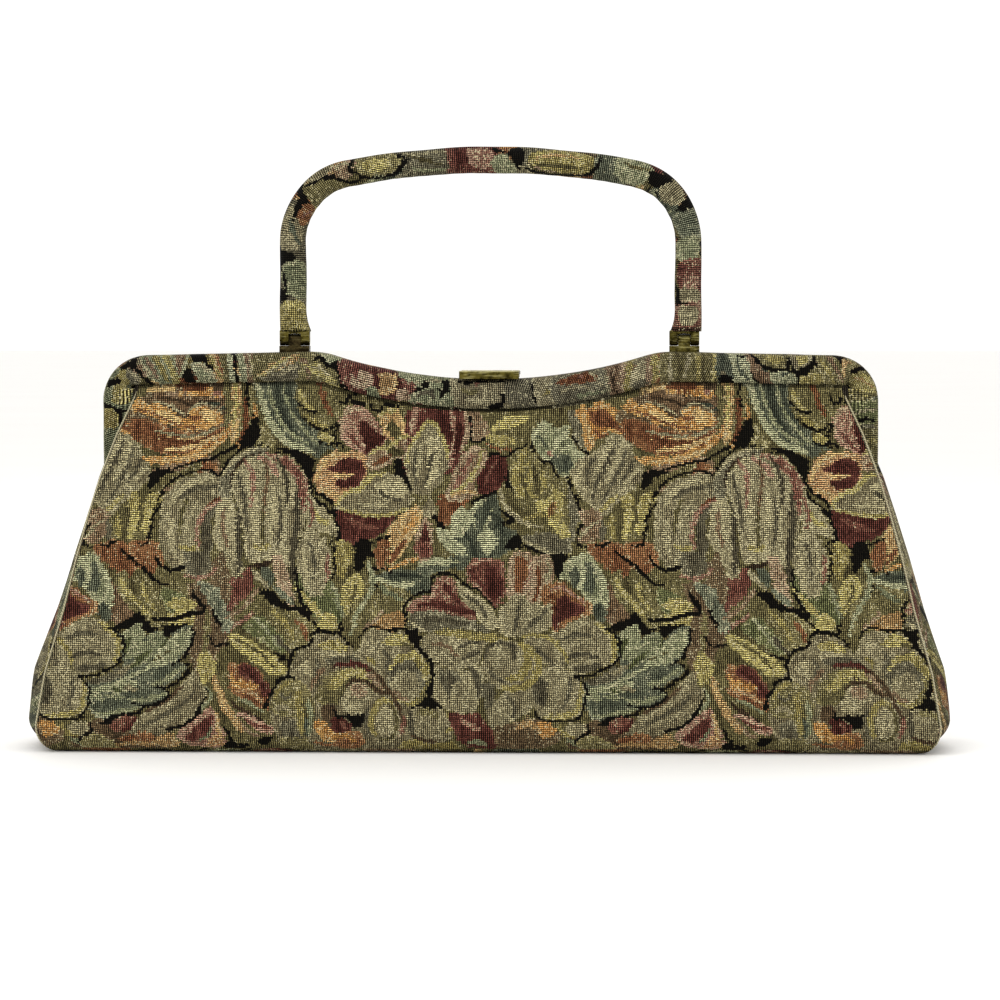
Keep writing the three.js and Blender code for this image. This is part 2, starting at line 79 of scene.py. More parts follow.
# Yarn blends as they look when woven, from shadow to light, as screen colours
yarnTones = {
    "cream": [(67, 59, 40), (100, 93, 67), (131, 125, 92), (167, 161, 120)],
    "yellow": [(74, 65, 32), (107, 98, 55), (139, 130, 76), (175, 167, 101)],
    "olive": [(57, 51, 30), (89, 84, 52), (119, 113, 73), (158, 151, 98)],
    "green": [(49, 53, 32), (81, 86, 53), (109, 113, 72), (147, 150, 99)],
    "teal": [(45, 50, 39), (80, 85, 66), (115, 119, 93), (153, 157, 125)],
    "sage": [(57, 61, 43), (95, 100, 72), (130, 134, 98), (167, 170, 130)],
    "wine": [(55, 27, 20), (88, 52, 42), (120, 84, 66), (168, 133, 107)],
    "rose": [(62, 33, 25), (98, 61, 48), (127, 93, 73), (162, 133, 108)],
    "rust": [(70, 40, 22), (107, 71, 45), (140, 104, 67), (176, 144, 98)],
    "orange": [(92, 57, 27), (132, 92, 48), (164, 122, 67), (190, 152, 88)],
    "gold": [(76, 55, 29), (118, 93, 55), (154, 126, 81), (193, 168, 110)],
    "tan": [(60, 44, 28), (99, 80, 55), (130, 111, 83), (170, 150, 118)],
    "grey": [(47, 42, 29), (82, 78, 58), (110, 107, 82), (147, 143, 112)],
    "brown": [(47, 37, 24), (80, 66, 45), (106, 91, 64), (137, 122, 87)],
    "ground": [(13, 11, 6), (17, 14, 9), (22, 18, 11), (28, 24, 15)],
}

# The flowers are drawn in stitches, x to the right and y up, in the order in which they are laid.
# An area is (yarn, tone, outline) and a line is (yarn, tone, width, points).
# Tones run from 0, dark, to 3, light.
groundPatches = [
    ("tan", 1.4, [(-168, 140), (-150, 148), (-136, 146), (-136, 139), (-150, 138), (-162, 130)]),
    ("rust", 1.2, [(-152, 146), (-142, 145), (-136, 143), (-140, 140), (-150, 140)]),
    ("olive", 1.3, [(-8, 172), (2, 170), (22, 170), (22, 154), (8, 150), (-4, 156)]),
    ("tan", 1.6, [(-10, 170), (-4, 170), (0, 160), (-6, 156), (-10, 160)]),
    ("olive", 1.2, [(78, 138), (90, 140), (104, 146), (100, 138), (88, 132), (80, 124), (76, 108),
                    (68, 106), (72, 130)]),
    ("rust", 0.9, [(-24, 128), (-10, 128), (-12, 119), (-18, 114), (-24, 114)]),
    ("rust", 1.3, [(50, 104), (66, 104), (76, 92), (70, 80), (60, 92), (52, 98)]),
    ("rust", 1.5, [(68, 104), (82, 104), (86, 92), (84, 86), (74, 92)]),
    ("tan", 1.3, [(58, 84), (66, 78), (72, 66), (64, 62), (58, 70)]),
    ("olive", 1.5, [(72, 92), (84, 84), (98, 80), (104, 66), (88, 62), (78, 64), (68, 78)]),
    ("brown", 1.7, [(98, 60), (104, 76), (112, 74), (116, 56), (110, 44), (102, 40)]),
    ("brown", 1.2, [(44, 10), (60, 20), (74, 18), (86, 10), (88, -1), (44, -1)]),
    ("olive", 1.4, [(-60, 86), (-40, 80), (-41, 62), (-62, 60), (-68, 66)]),
    ("green", 1.3, [(-95, 90), (-78, 86), (-72, 66), (-80, 62), (-90, 72), (-96, 82)]),
    ("olive", 1.2, [(-166, 92), (-150, 88), (-142, 84), (-148, 68), (-166, 68)]),
    ("brown", 1.5, [(-150, 84), (-132, 82), (-126, 62), (-138, 48), (-148, 56), (-146, 70)]),
]

upperLeaves = [
    ("teal", 1.0, [(-120, 192), (-114, 171), (-108, 161), (-101, 153), (-93, 150), (-85, 147), (-80, 151),
                   (-75, 151), (-81, 155), (-86, 157), (-87, 161), (-92, 164), (-96, 171), (-98, 180),
                   (-98, 192)]),
    ("teal", 0.3, 2.4, [(-108, 186), (-105, 172), (-100, 162), (-94, 156)]),
    ("teal", 0.5, 2.0, [(-101, 184), (-98, 172), (-93, 163)]),
    ("sage", 2.6, 3.4, [(-118, 188), (-114, 174), (-109, 164), (-103, 156), (-96, 152.5), (-88, 149.5)]),
    ("sage", 2.0, 1.8, [(-112, 186), (-109, 174), (-103, 163), (-97, 157), (-90, 154)]),
    ("sage", 1.9, 1.6, [(-104, 188), (-102, 176), (-97, 166), (-91, 159), (-85, 153)]),
    ("olive", 1.3, [(-97, 192), (-95, 178), (-89, 170), (-80, 161), (-75, 166), (-72, 173), (-75, 182),
                    (-80, 192)]),
    ("rust", 1.0, 2.2, [(-86, 186), (-83, 176), (-79, 168)]),
    ("yellow", 2.3, 2.2, [(-96, 182), (-93, 175), (-88, 171.5)]),
    ("yellow", 1.8, 2.6, [(-92, 168), (-87, 165), (-81, 161.5)]),
    ("ground", 0, 1.5, [(-97, 176), (-92, 171), (-86, 170)]),
    ("ground", 0, 1.5, [(-95, 168), (-89, 163.5), (-82, 161), (-77, 165)]),
    ("yellow", 2.1, [(-86, 157), (-83, 160), (-78, 158), (-79, 154), (-84, 155)]),
    ("ground", 0, 1.5, [(-86, 156), (-82, 153.5), (-75, 154.5), (-72, 152)]),
    ("olive", 1.9, [(-118, 156), (-115, 164), (-110, 160), (-107, 154), (-112, 152)]),
    ("yellow", 2.2, [(1, 162), (5, 166), (10, 169), (17, 169.5), (21, 168), (17, 164.5), (9, 162.5)]),
    ("yellow", 2.0, [(-2, 158), (3, 160), (10, 158), (13, 155), (7, 153), (1, 155.5)]),
    ("rust", 1.4, 1.5, [(-2, 155), (5, 151.5), (12, 152)]),
    # the small sage flower
    ("sage", 2.0, [(21, 158), (24, 164), (28, 168), (31, 165), (34, 163), (40, 164), (41, 158), (45, 152),
                   (49, 147), (47, 142), (41, 139), (36, 138), (33, 143), (28, 147), (23, 152)]),
    ("sage", 2.9, 2.6, [(22, 157), (25, 163), (28.5, 166)]),
    ("sage", 2.8, 3.0, [(32, 151), (36, 157), (40, 161)]),
    ("sage", 2.7, 2.4, [(36, 151), (41, 153), (46, 147)]),
    ("teal", 0.7, [(32, 147), (37, 149.5), (42, 146), (41, 141), (36, 139), (34, 143)]),
    ("teal", 1.0, 1.8, [(25, 159), (27, 156), (30, 153)]),
    ("rose", 2.2, 2.2, [(29, 151), (32, 148)]),
    ("ground", 0, 1.5, [(21, 156), (22, 151), (26, 146), (31, 145), (33, 140), (36, 137), (41, 138)]),
    ("ground", 0, 1.7, [(42, 163), (43, 157), (46, 153), (50, 149)]),
    # the olive leaf with yellow folds
    ("olive", 1.4, [(20, 153), (24, 148), (27, 144), (31, 143), (34, 137), (39, 138), (42, 131), (45, 124),
                    (46, 114), (43, 106), (42, 99), (34, 98), (26, 101), (18, 105), (13, 112), (8, 120),
                    (4, 129), (5, 138), (9, 134), (11, 145), (15, 151)]),
    ("grey", 1.4, [(40, 136), (42, 130), (45, 123), (45, 113), (42, 104), (40, 99), (32, 99), (22, 103),
                   (17, 107), (28, 110), (38, 107), (41, 116), (40, 126)]),
    ("yellow", 1.8, [(19, 152), (15, 149), (12, 142), (12, 134), (16, 127), (19, 132), (18, 142)]),
    ("olive", 0.7, 2.0, [(16, 140), (18, 133), (20, 127)]),
    ("olive", 0.7, 2.2, [(23, 142), (24, 135), (24, 129)]),
    ("yellow", 2.0, 1.8, [(20, 146), (21, 138), (21, 130), (25, 127)]),
    ("yellow", 2.1, 1.8, [(27, 141), (28, 134), (26, 129)]),
    ("cream", 2.4, 2.2, [(5, 137), (6, 130), (9, 122), (14, 117), (21, 113.5), (28, 112.5)]),
    ("olive", 0.8, 2.0, [(9, 129), (14, 122), (22, 117)]),
    ("yellow", 2.3, [(24, 124), (30, 128), (33, 133), (37, 130), (38, 123), (36, 117), (32, 115),
                     (28, 119)]),
    ("gold", 0.8, [(30, 122), (33, 125), (34, 120), (31, 118)]),
    ("yellow", 2.5, [(30, 115), (35, 115), (40, 112), (40, 107), (35, 109)]),
    ("yellow", 1.6, 1.8, [(18, 116), (25, 119), (30, 117)]),
    ("cream", 2.3, 1.6, [(15, 105.5), (20, 105), (26, 101.5), (33, 99.5)]),
    ("ground", 0, 1.4, [(9, 141), (9.5, 135), (12, 130)]),
    ("ground", 0, 1.6, [(40, 138), (42, 131), (45, 126), (46, 120), (48, 116), (45, 109), (45, 104),
                        (49, 102.5)]),
    ("ground", 0, 1.6, [(17, 103), (22, 102), (26, 99), (32, 98), (37, 97), (42, 98.5)]),
    ("ground", 0, 1.4, [(20, 154.5), (14, 152), (8, 148), (0, 149), (-3, 147)]),
    # the pale folded leaf
    ("cream", 1.8, [(66, 161), (61, 159), (57, 154), (51, 149), (46, 147), (42, 142), (42, 136), (46, 129),
                    (51, 123), (57, 118), (63, 122), (68, 128), (74, 133), (78, 139), (77, 145), (73, 150),
                    (70, 156)]),
    ("grey", 1.1, 1.5, [(64, 156), (60, 146), (55, 136), (52, 126)]),
    ("cream", 2.8, 2.2, [(62, 156), (57, 147), (53, 139)]),
    ("grey", 1.2, 1.5, [(69, 152), (66, 142), (61, 132), (56, 124)]),
    ("cream", 2.7, 2.2, [(67, 155), (64, 145), (59, 135)]),
    ("cream", 2.8, 2.0, [(47, 145), (45, 139), (48, 131)]),
    ("grey", 1.2, 1.4, [(54, 149), (50, 141), (49, 132)]),
    ("cream", 2.6, 2.0, [(76, 142), (71, 137), (66, 130)]),
    ("grey", 1.1, 1.4, [(74, 147), (70, 140), (66, 134)]),
    ("yellow", 2.2, 1.8, [(55, 119), (60, 124), (65, 129)]),
    ("tan", 1.7, [(46, 120), (53, 122), (58, 117), (56, 108), (50, 104), (45, 106), (48, 112)]),
    ("cream", 2.3, 1.6, [(46, 107), (50, 112), (55, 116)]),
    ("yellow", 2.2, [(67, 126), (71, 130), (74, 124), (78, 129), (85, 129), (81, 122), (79, 113), (76, 108),
                     (73, 113), (70, 106), (67, 106), (68, 115)]),
    ("olive", 0.8, 1.8, [(73, 124), (74, 117), (72, 110)]),
    ("yellow", 2.1, 2.6, [(62, 118), (62, 112), (63, 106)]),
    ("grey", 1.3, 2.6, [(57, 115), (58, 109), (57, 105)]),
    ("ground", 0, 1.5, [(52, 104), (56, 103), (62, 104.5)]),
    ("ground", 0, 1.5, [(72, 103), (77, 104), (79, 111), (80, 118), (84, 124)]),
    ("ground", 0, [(77, 139), (80, 141), (87, 140), (90, 140), (82, 136), (78, 129), (77, 133)]),
]

orangeRose = [
    ("grey", 1.5, [(40, 171), (45, 170), (48, 160), (50, 151), (45, 155), (42, 163)]),
    ("orange", 2.0, [(43, 172), (48, 174), (57, 175), (64, 173), (70, 165), (74, 160), (70, 156), (62, 161),
                     (55, 157), (50, 150), (48, 158), (46, 166)]),
    ("rust", 0.6, [(50, 172), (58, 172.5), (64, 166), (69, 161), (62, 162), (56, 163), (52, 166)]),
    ("orange", 2.4, 2.4, [(58, 174), (64, 169), (71, 162)]),
    ("gold", 2.5, 2.2, [(48, 169), (50, 160), (53, 153)]),
    ("rust", 1.2, 1.6, [(53, 162), (56, 158), (60, 160)]),
    ("brown", 1.4, [(64, 170), (76, 180), (90, 188), (112, 188), (118, 176), (117, 160), (106, 150),
                    (88, 150), (74, 154), (66, 162)]),
    ("rust", 1.2, [(68, 168), (80, 165), (90, 161.5), (100, 160), (110, 162), (116, 167), (118, 160),
                   (110, 152), (98, 149), (84, 149), (74, 153), (66, 160)]),
    ("cream", 1.9, 1.6, [(78, 161), (88, 159), (98, 157.5), (107, 159.5), (115, 164)]),
    ("gold", 2.3, 1.8, [(77, 158.5), (88, 156.3), (97, 156.3), (106, 157)]),
    ("rust", 0.6, 1.8, [(72, 160), (86, 156.5), (98, 154.5), (108, 157), (116, 161)]),
    ("gold", 2.2, [(84, 149), (94, 150.5), (104, 153), (112, 157), (117, 160.5), (119, 165), (113, 160),
                   (104, 155.5), (94, 153), (86, 152)]),
    ("orange", 2.1, [(74, 147), (82, 143), (92, 144), (104, 147), (112, 152), (117, 158), (119, 165),
                     (113, 158), (104, 152), (92, 148), (80, 148)]),
    ("gold", 2.6, 2.0, [(80, 145), (92, 146), (104, 149), (112, 154)]),
    ("orange", 2.1, [(67, 172), (71, 178), (76, 174), (82, 174.5), (88, 170.5), (94, 167), (98, 167.5),
                     (101, 165), (108, 163), (100, 160.5), (92, 161.5), (84, 165), (76, 168.5)]),
    ("gold", 2.6, [(80, 171), (86, 170.5), (92, 167), (94, 164), (90, 163.5), (84, 166), (80, 169)]),
    ("rust", 1.4, 1.4, [(70, 172), (78, 169.5), (86, 166), (94, 163), (102, 162.3)]),
    ("tan", 1.0, [(80, 181), (88, 181), (97, 179), (105, 177), (112, 177), (115, 172), (108, 173),
                  (103, 174.5), (99, 173), (95, 168.5), (91, 171), (86, 174), (78, 176.5)]),
    ("brown", 0.4, 1.6, [(82, 178), (92, 176), (98, 173.5), (104, 175.5), (111, 174.5)]),
    ("tan", 2.1, 1.0, [(84, 180), (92, 178.5), (100, 176.5)]),
    ("cream", 2.3, 1.4, [(79, 175.5), (86, 174), (91, 171), (95, 168.3)]),
    ("orange", 2.2, [(96, 167), (98, 171), (102, 173.5), (107, 172), (112, 170), (114, 167), (112, 164),
                     (106, 162), (100, 163), (97, 165)]),
    ("gold", 2.6, [(102, 171), (107, 170.5), (111, 168), (109, 165.5), (103, 166)]),
    ("rust", 1.2, 1.6, [(97, 168), (100, 166.5), (103, 168)]),
    ("cream", 2.3, 1.3, [(96, 169.5), (99, 173), (104, 174.7), (110, 172.5), (114, 169)]),
    ("teal", 0.5, 1.5, [(107, 174.8), (112, 173.5), (115, 171)]),
    ("orange", 2.1, [(84, 181.5), (90, 180.5), (98, 181.5), (108, 183), (114, 179), (111, 177.5),
                     (104, 178.3), (96, 178.5)]),
    ("rose", 2.1, 1.6, [(108, 181), (111, 179.5), (113, 178.2)]),
    ("gold", 2.4, [(75, 181), (82, 185), (89, 186), (89, 182), (83, 180.8)]),
    ("rust", 0.7, [(89, 184), (97, 187), (106, 185), (103, 181.5), (96, 180.5)]),
    ("olive", 1.4, 2.8, [(114, 190), (116, 178), (117, 168), (115, 160)]),
    ("gold", 2.2, [(118, 190), (122, 190), (123, 178), (122, 166), (121, 158), (118, 154), (118, 162),
                   (119, 172)]),
    ("yellow", 2.6, 1.4, [(120, 188), (120.5, 174), (119.5, 164)]),
    ("rust", 0.8, 2.8, [(125, 178), (126, 168), (125, 161), (122, 155)]),
    ("ground", 0, 1.5, [(127, 190), (126, 180), (127, 173)]),
    ("orange", 2.2, 2.8, [(130, 174), (130, 166), (127, 159), (121, 152.5)]),
    ("ground", 0, 1.6, [(78, 141), (88, 141), (98, 144), (108, 146), (115, 150), (122, 154), (127, 162),
                        (130, 170)]),
    ("ground", 0, [(122, 154), (127, 162), (131, 168), (133, 160), (130, 153), (126, 152)]),
]

lily = [
    ("wine", 0.9, [(-43, 140), (-43, 158), (-41, 172), (-30, 173), (-18, 173), (-11, 170), (-10, 160),
                   (-13, 150), (-18, 140)]),
    ("rose", 2.4, 2.4, [(-40, 158), (-38, 166), (-37, 173)]),
    ("rose", 2.3, 2.2, [(-19, 173), (-18, 162), (-18, 150), (-20, 142)]),
    ("tan", 2.4, 2.0, [(-12, 171), (-11, 161), (-14, 150)]),
    ("wine", 0.1, 2.6, [(-15, 167), (-15, 158), (-17, 149)]),
    ("wine", 0.2, 3.0, [(-25, 171), (-21, 164), (-19, 156)]),
    ("rose", 2.2, [(-60, 147), (-66, 150), (-72, 154), (-75, 160), (-75, 167), (-70, 174), (-64, 173),
                   (-59, 169), (-54, 162), (-51, 157), (-55, 150)]),
    ("tan", 2.6, 1.8, [(-74, 158), (-74, 166), (-70, 172), (-64, 171.5)]),
    ("wine", 0.3, [(-66, 164), (-62, 166), (-57, 161), (-52, 157), (-56, 151), (-61, 149), (-63, 155)]),
    ("wine", 1.4, 1.6, [(-71, 160), (-67, 155), (-62, 150)]),
    ("gold", 2.0, [(-56, 169), (-51, 173), (-46, 172), (-43, 167), (-42, 160), (-44, 156), (-50, 156),
                   (-53, 161)]),
    ("olive", 0.5, [(-50, 166), (-47, 165), (-44, 159), (-47, 157), (-51, 161)]),
    ("yellow", 2.2, 1.6, [(-55, 168), (-52, 171.5), (-47, 171)]),
    ("rust", 2.6, [(-62, 149), (-69, 150.5), (-77, 150), (-83, 147), (-87, 141), (-88, 135), (-85, 130),
                   (-80, 126), (-74, 124), (-69, 129), (-63, 132), (-61, 141)]),
    ("gold", 2.7, 2.2, [(-70, 149.5), (-78, 148.5), (-84, 143), (-86.5, 136)]),
    ("wine", 0.2, [(-80, 141), (-75, 145), (-68, 147), (-63, 144), (-63, 138), (-70, 139)]),
    ("wine", 0.3, [(-77, 134), (-71, 137), (-64, 138), (-64, 132), (-70, 131)]),
    ("gold", 2.8, 1.4, [(-79, 138), (-73, 138.5), (-67, 138)]),
    ("gold", 2.4, 3.0, [(-85, 131), (-79, 129), (-74, 127)]),
    ("tan", 1.8, [(-61, 141), (-61, 148), (-57, 152), (-51, 152), (-46, 156), (-41, 159), (-41, 150),
                  (-46, 147), (-53, 142)]),
    ("yellow", 2.3, 2.2, [(-60, 149), (-55, 152), (-50, 152.5), (-45, 157), (-40, 159)]),
    ("olive", 0.6, [(-50, 152), (-45, 153), (-43, 149), (-49, 147)]),
    ("rust", 0.9, 2.2, [(-58, 144), (-53, 146), (-50, 148)]),
    ("ground", 0, [(-47, 146), (-44, 147), (-42, 141), (-38, 130), (-42, 134), (-48, 141)]),
    ("wine", 0.7, [(-77, 121), (-66, 120), (-55, 119), (-46, 118), (-52, 109), (-60, 106), (-68, 104),
                   (-74, 107), (-76, 114)]),
    ("rose", 1.3, 2.4, [(-72, 117), (-64, 113), (-56, 112)]),
    ("tan", 2.0, [(-22, 127), (-18, 139), (-13, 149), (-8, 153), (-3, 152), (0, 148), (-3, 141), (-7, 134),
                  (-5, 129), (-12, 126)]),
    ("rose", 2.0, 2.4, [(-17, 131), (-12, 141), (-8, 150)]),
    ("yellow", 2.4, 2.0, [(-3, 151), (-5, 144), (-9, 137), (-14, 131.5), (-19, 129)]),
    ("gold", 2.4, 2.0, [(-19, 128), (-12, 130), (-6, 130)]),
    ("wine", 0.4, [(8, 148), (0, 148), (-3, 141), (-6, 134), (-4, 129), (2, 129), (7, 135), (9, 142)]),
    ("wine", 1.5, 1.6, [(4, 147), (1, 140), (-3, 133)]),
    ("cream", 1.7, [(-37, 129), (-40, 137), (-42, 146), (-41, 153), (-37, 159), (-33, 165), (-30, 167.5),
                    (-26, 163), (-22, 157), (-20, 150), (-20, 142), (-23, 135), (-28, 130), (-32, 124),
                    (-34, 118), (-28, 117), (-26, 122), (-30, 128)]),
    ("yellow", 2.4, 2.2, [(-41, 144), (-40, 152), (-36, 159), (-30, 166), (-25, 161), (-21.5, 153),
                          (-20.5, 146)]),
    ("cream", 2.9, [(-30, 157), (-26, 156), (-24, 147), (-26, 138), (-31, 131), (-31, 144)]),
    ("grey", 0.8, 1.6, [(-28, 150), (-30, 141), (-33, 131)]),
    ("grey", 1.1, 1.8, [(-37, 152), (-37, 142), (-36, 133)]),
    ("cream", 2.6, 1.8, [(-34, 156), (-35, 146), (-36, 136)]),
    ("cream", 1.6, [(-77, 122), (-73, 128), (-68, 131), (-64, 133), (-60, 138), (-53, 140), (-46, 138),
                    (-41, 133), (-38, 127), (-41, 121), (-48, 118), (-58, 118), (-68, 120)]),
    ("yellow", 2.5, 2.2, [(-76, 123), (-71, 129), (-64, 132), (-59, 137.5), (-52, 139.5)]),
    ("yellow", 2.3, 2.0, [(-75, 121.5), (-64, 119), (-54, 118), (-46, 119), (-40, 122)]),
    ("cream", 2.9, [(-57, 133), (-51, 136.5), (-44, 134.5), (-40, 130), (-45, 127), (-53, 127)]),
    ("grey", 1.0, 1.8, [(-55, 131), (-50, 127), (-43, 125.5)]),
    ("cream", 2.7, 1.8, [(-66, 124), (-58, 123), (-50, 123)]),
    ("gold", 2.2, [(-50, 108), (-46, 116), (-40, 121), (-35, 124), (-33, 120), (-35, 112), (-39, 104),
                   (-44, 98), (-50, 90), (-48, 100)]),
    ("orange", 2.4, 2.8, [(-36, 121), (-38, 114), (-43, 108)]),
    ("rust", 1.1, 1.8, [(-41, 106), (-45, 100), (-49, 94)]),
    ("orange", 2.4, 1.8, [(-49, 91.5), (-42, 94), (-34, 97)]),
    ("rust", 1.3, [(-57, 97), (-54, 105), (-50, 106), (-49, 98), (-53, 91)]),
    ("tan", 2.0, [(-36, 103), (-36, 110), (-33, 115), (-30, 116.5), (-28, 112), (-27, 104), (-29, 97),
                  (-34, 95)]),
    ("wine", 0.5, [(-34, 104), (-32, 113), (-30, 111), (-29, 103), (-32, 98)]),
    ("rose", 1.3, [(-36, 104), (-29, 104), (-28, 98), (-35, 97)]),
    ("ground", 0, 1.5, [(-77, 180), (-75, 175), (-70, 176), (-62, 174), (-56, 171), (-51, 175),
                        (-44, 173)]),
    ("ground", 0, 1.5, [(-78, 165), (-76, 164), (-78, 158), (-76, 152)]),
    ("ground", 0, 1.5, [(-89, 140), (-89, 134), (-85, 129), (-79, 125), (-77, 119), (-76, 111), (-74, 106),
                        (-79, 106)]),
    ("ground", 0, 1.4, [(-10, 171), (-9, 163), (-9, 156), (-4, 156), (1, 160)]),
    ("ground", 0, 1.3, [(9, 149), (2, 149.5), (-1, 148)]),
    ("ground", 0, 1.8, [(-9, 124.5), (-2, 127.5), (4, 130)]),
    ("ground", 0, 1.3, [(-49, 108), (-56, 105), (-62, 104)]),
    ("ground", 0, [(-66, 104), (-60, 105), (-57, 98), (-60, 96), (-66, 90)]),
    ("ground", 0, [(-26, 118), (-21, 112), (-25, 112), (-28, 117)]),
]

tealSprays = [
    ("teal", 0.8, [(-14, 122), (-19, 114), (-17, 106), (-10, 97), (2, 96), (12, 102), (15, 109), (8, 114),
                   (5, 124), (3, 131), (-4, 127), (-9, 121)]),
    ("sage", 2.5, [(-14, 123), (-19, 115), (-18, 108), (-14, 107), (-9, 113), (-10, 119)]),
    ("sage", 2.6, 2.6, [(2, 130), (-4, 125), (-8, 119), (-6, 112)]),
    ("sage", 2.3, 2.0, [(3, 122), (0, 115), (-3, 110)]),
    ("sage", 2.9, [(0, 112), (4, 108), (4, 102), (0, 98), (-4, 102), (-5, 108)]),
    ("teal", 0.2, 2.0, [(-12, 110), (-8, 104), (-6, 98)]),
    ("teal", 0.3, 2.2, [(2, 120), (5, 114), (8, 108)]),
    ("sage", 2.4, [(-26, 112), (-21, 112), (-16, 106), (-11, 100), (-10, 96), (-16, 98), (-22, 103)]),
    ("teal", 0.9, [(-57, 87), (-48, 91), (-38, 91), (-29, 94), (-18, 97), (-10, 98), (-10, 92), (-20, 91),
                   (-28, 88), (-30, 79), (-37, 79), (-44, 83), (-51, 84)]),
    ("sage", 2.6, 2.4, [(-57, 87), (-49, 84.5), (-41, 83), (-36, 84)]),
    ("sage", 2.6, 3.2, [(-35, 93), (-26, 95), (-15, 94.5)]),
    ("teal", 0.2, 2.2, [(-50, 88), (-42, 88), (-33, 88)]),
    ("ground", 0, 1.7, [(6, 114), (12, 116), (5, 122)]),
    ("ground", 0, [(8, 103), (15, 108), (17, 103), (12, 101)]),
    ("ground", 0, 1.6, [(-58, 91), (-50, 91), (-48, 89)]),
    ("ground", 0, 1.6, [(-57, 86), (-57, 81), (-55, 84)]),
    ("yellow", 1.8, [(-74, 105), (-77, 98), (-76, 90), (-72, 86), (-69, 92), (-67, 99), (-69, 105)]),
    ("yellow", 2.5, 2.2, [(-73, 102), (-71, 96), (-73, 90)]),
    ("yellow", 2.2, [(-72, 84), (-68, 88.5), (-64, 88), (-61, 82), (-63, 77), (-68, 73), (-70, 67),
                     (-73, 74)]),
    ("olive", 0.9, 1.4, [(-66, 86), (-66, 80), (-69, 74)]),
    ("sage", 2.2, 2.4, [(-62, 96), (-58, 90), (-58, 81), (-62, 74), (-66, 66), (-68, 58)]),
    ("sage", 1.9, 2.2, [(-78, 85), (-75, 76), (-72, 67)]),
    ("yellow", 2.5, 2.8, [(-96, 81), (-90, 76), (-84, 69), (-77, 64)]),
    ("yellow", 2.2, [(-86, 62), (-81, 69), (-75, 67), (-75, 61), (-81, 60)]),
    ("gold", 1.5, [(-57, 63), (-51, 69), (-43, 71), (-41, 63), (-49, 61)]),
    ("tan", 2.2, 1.6, [(-62, 61), (-56, 66), (-52, 71)]),
    ("sage", 1.4, 2.2, [(-54, 83), (-47, 78), (-42, 75)]),
    ("ground", 0, 1.8, [(-92, 70), (-87, 64), (-81, 60), (-74, 60), (-73, 65)]),
]

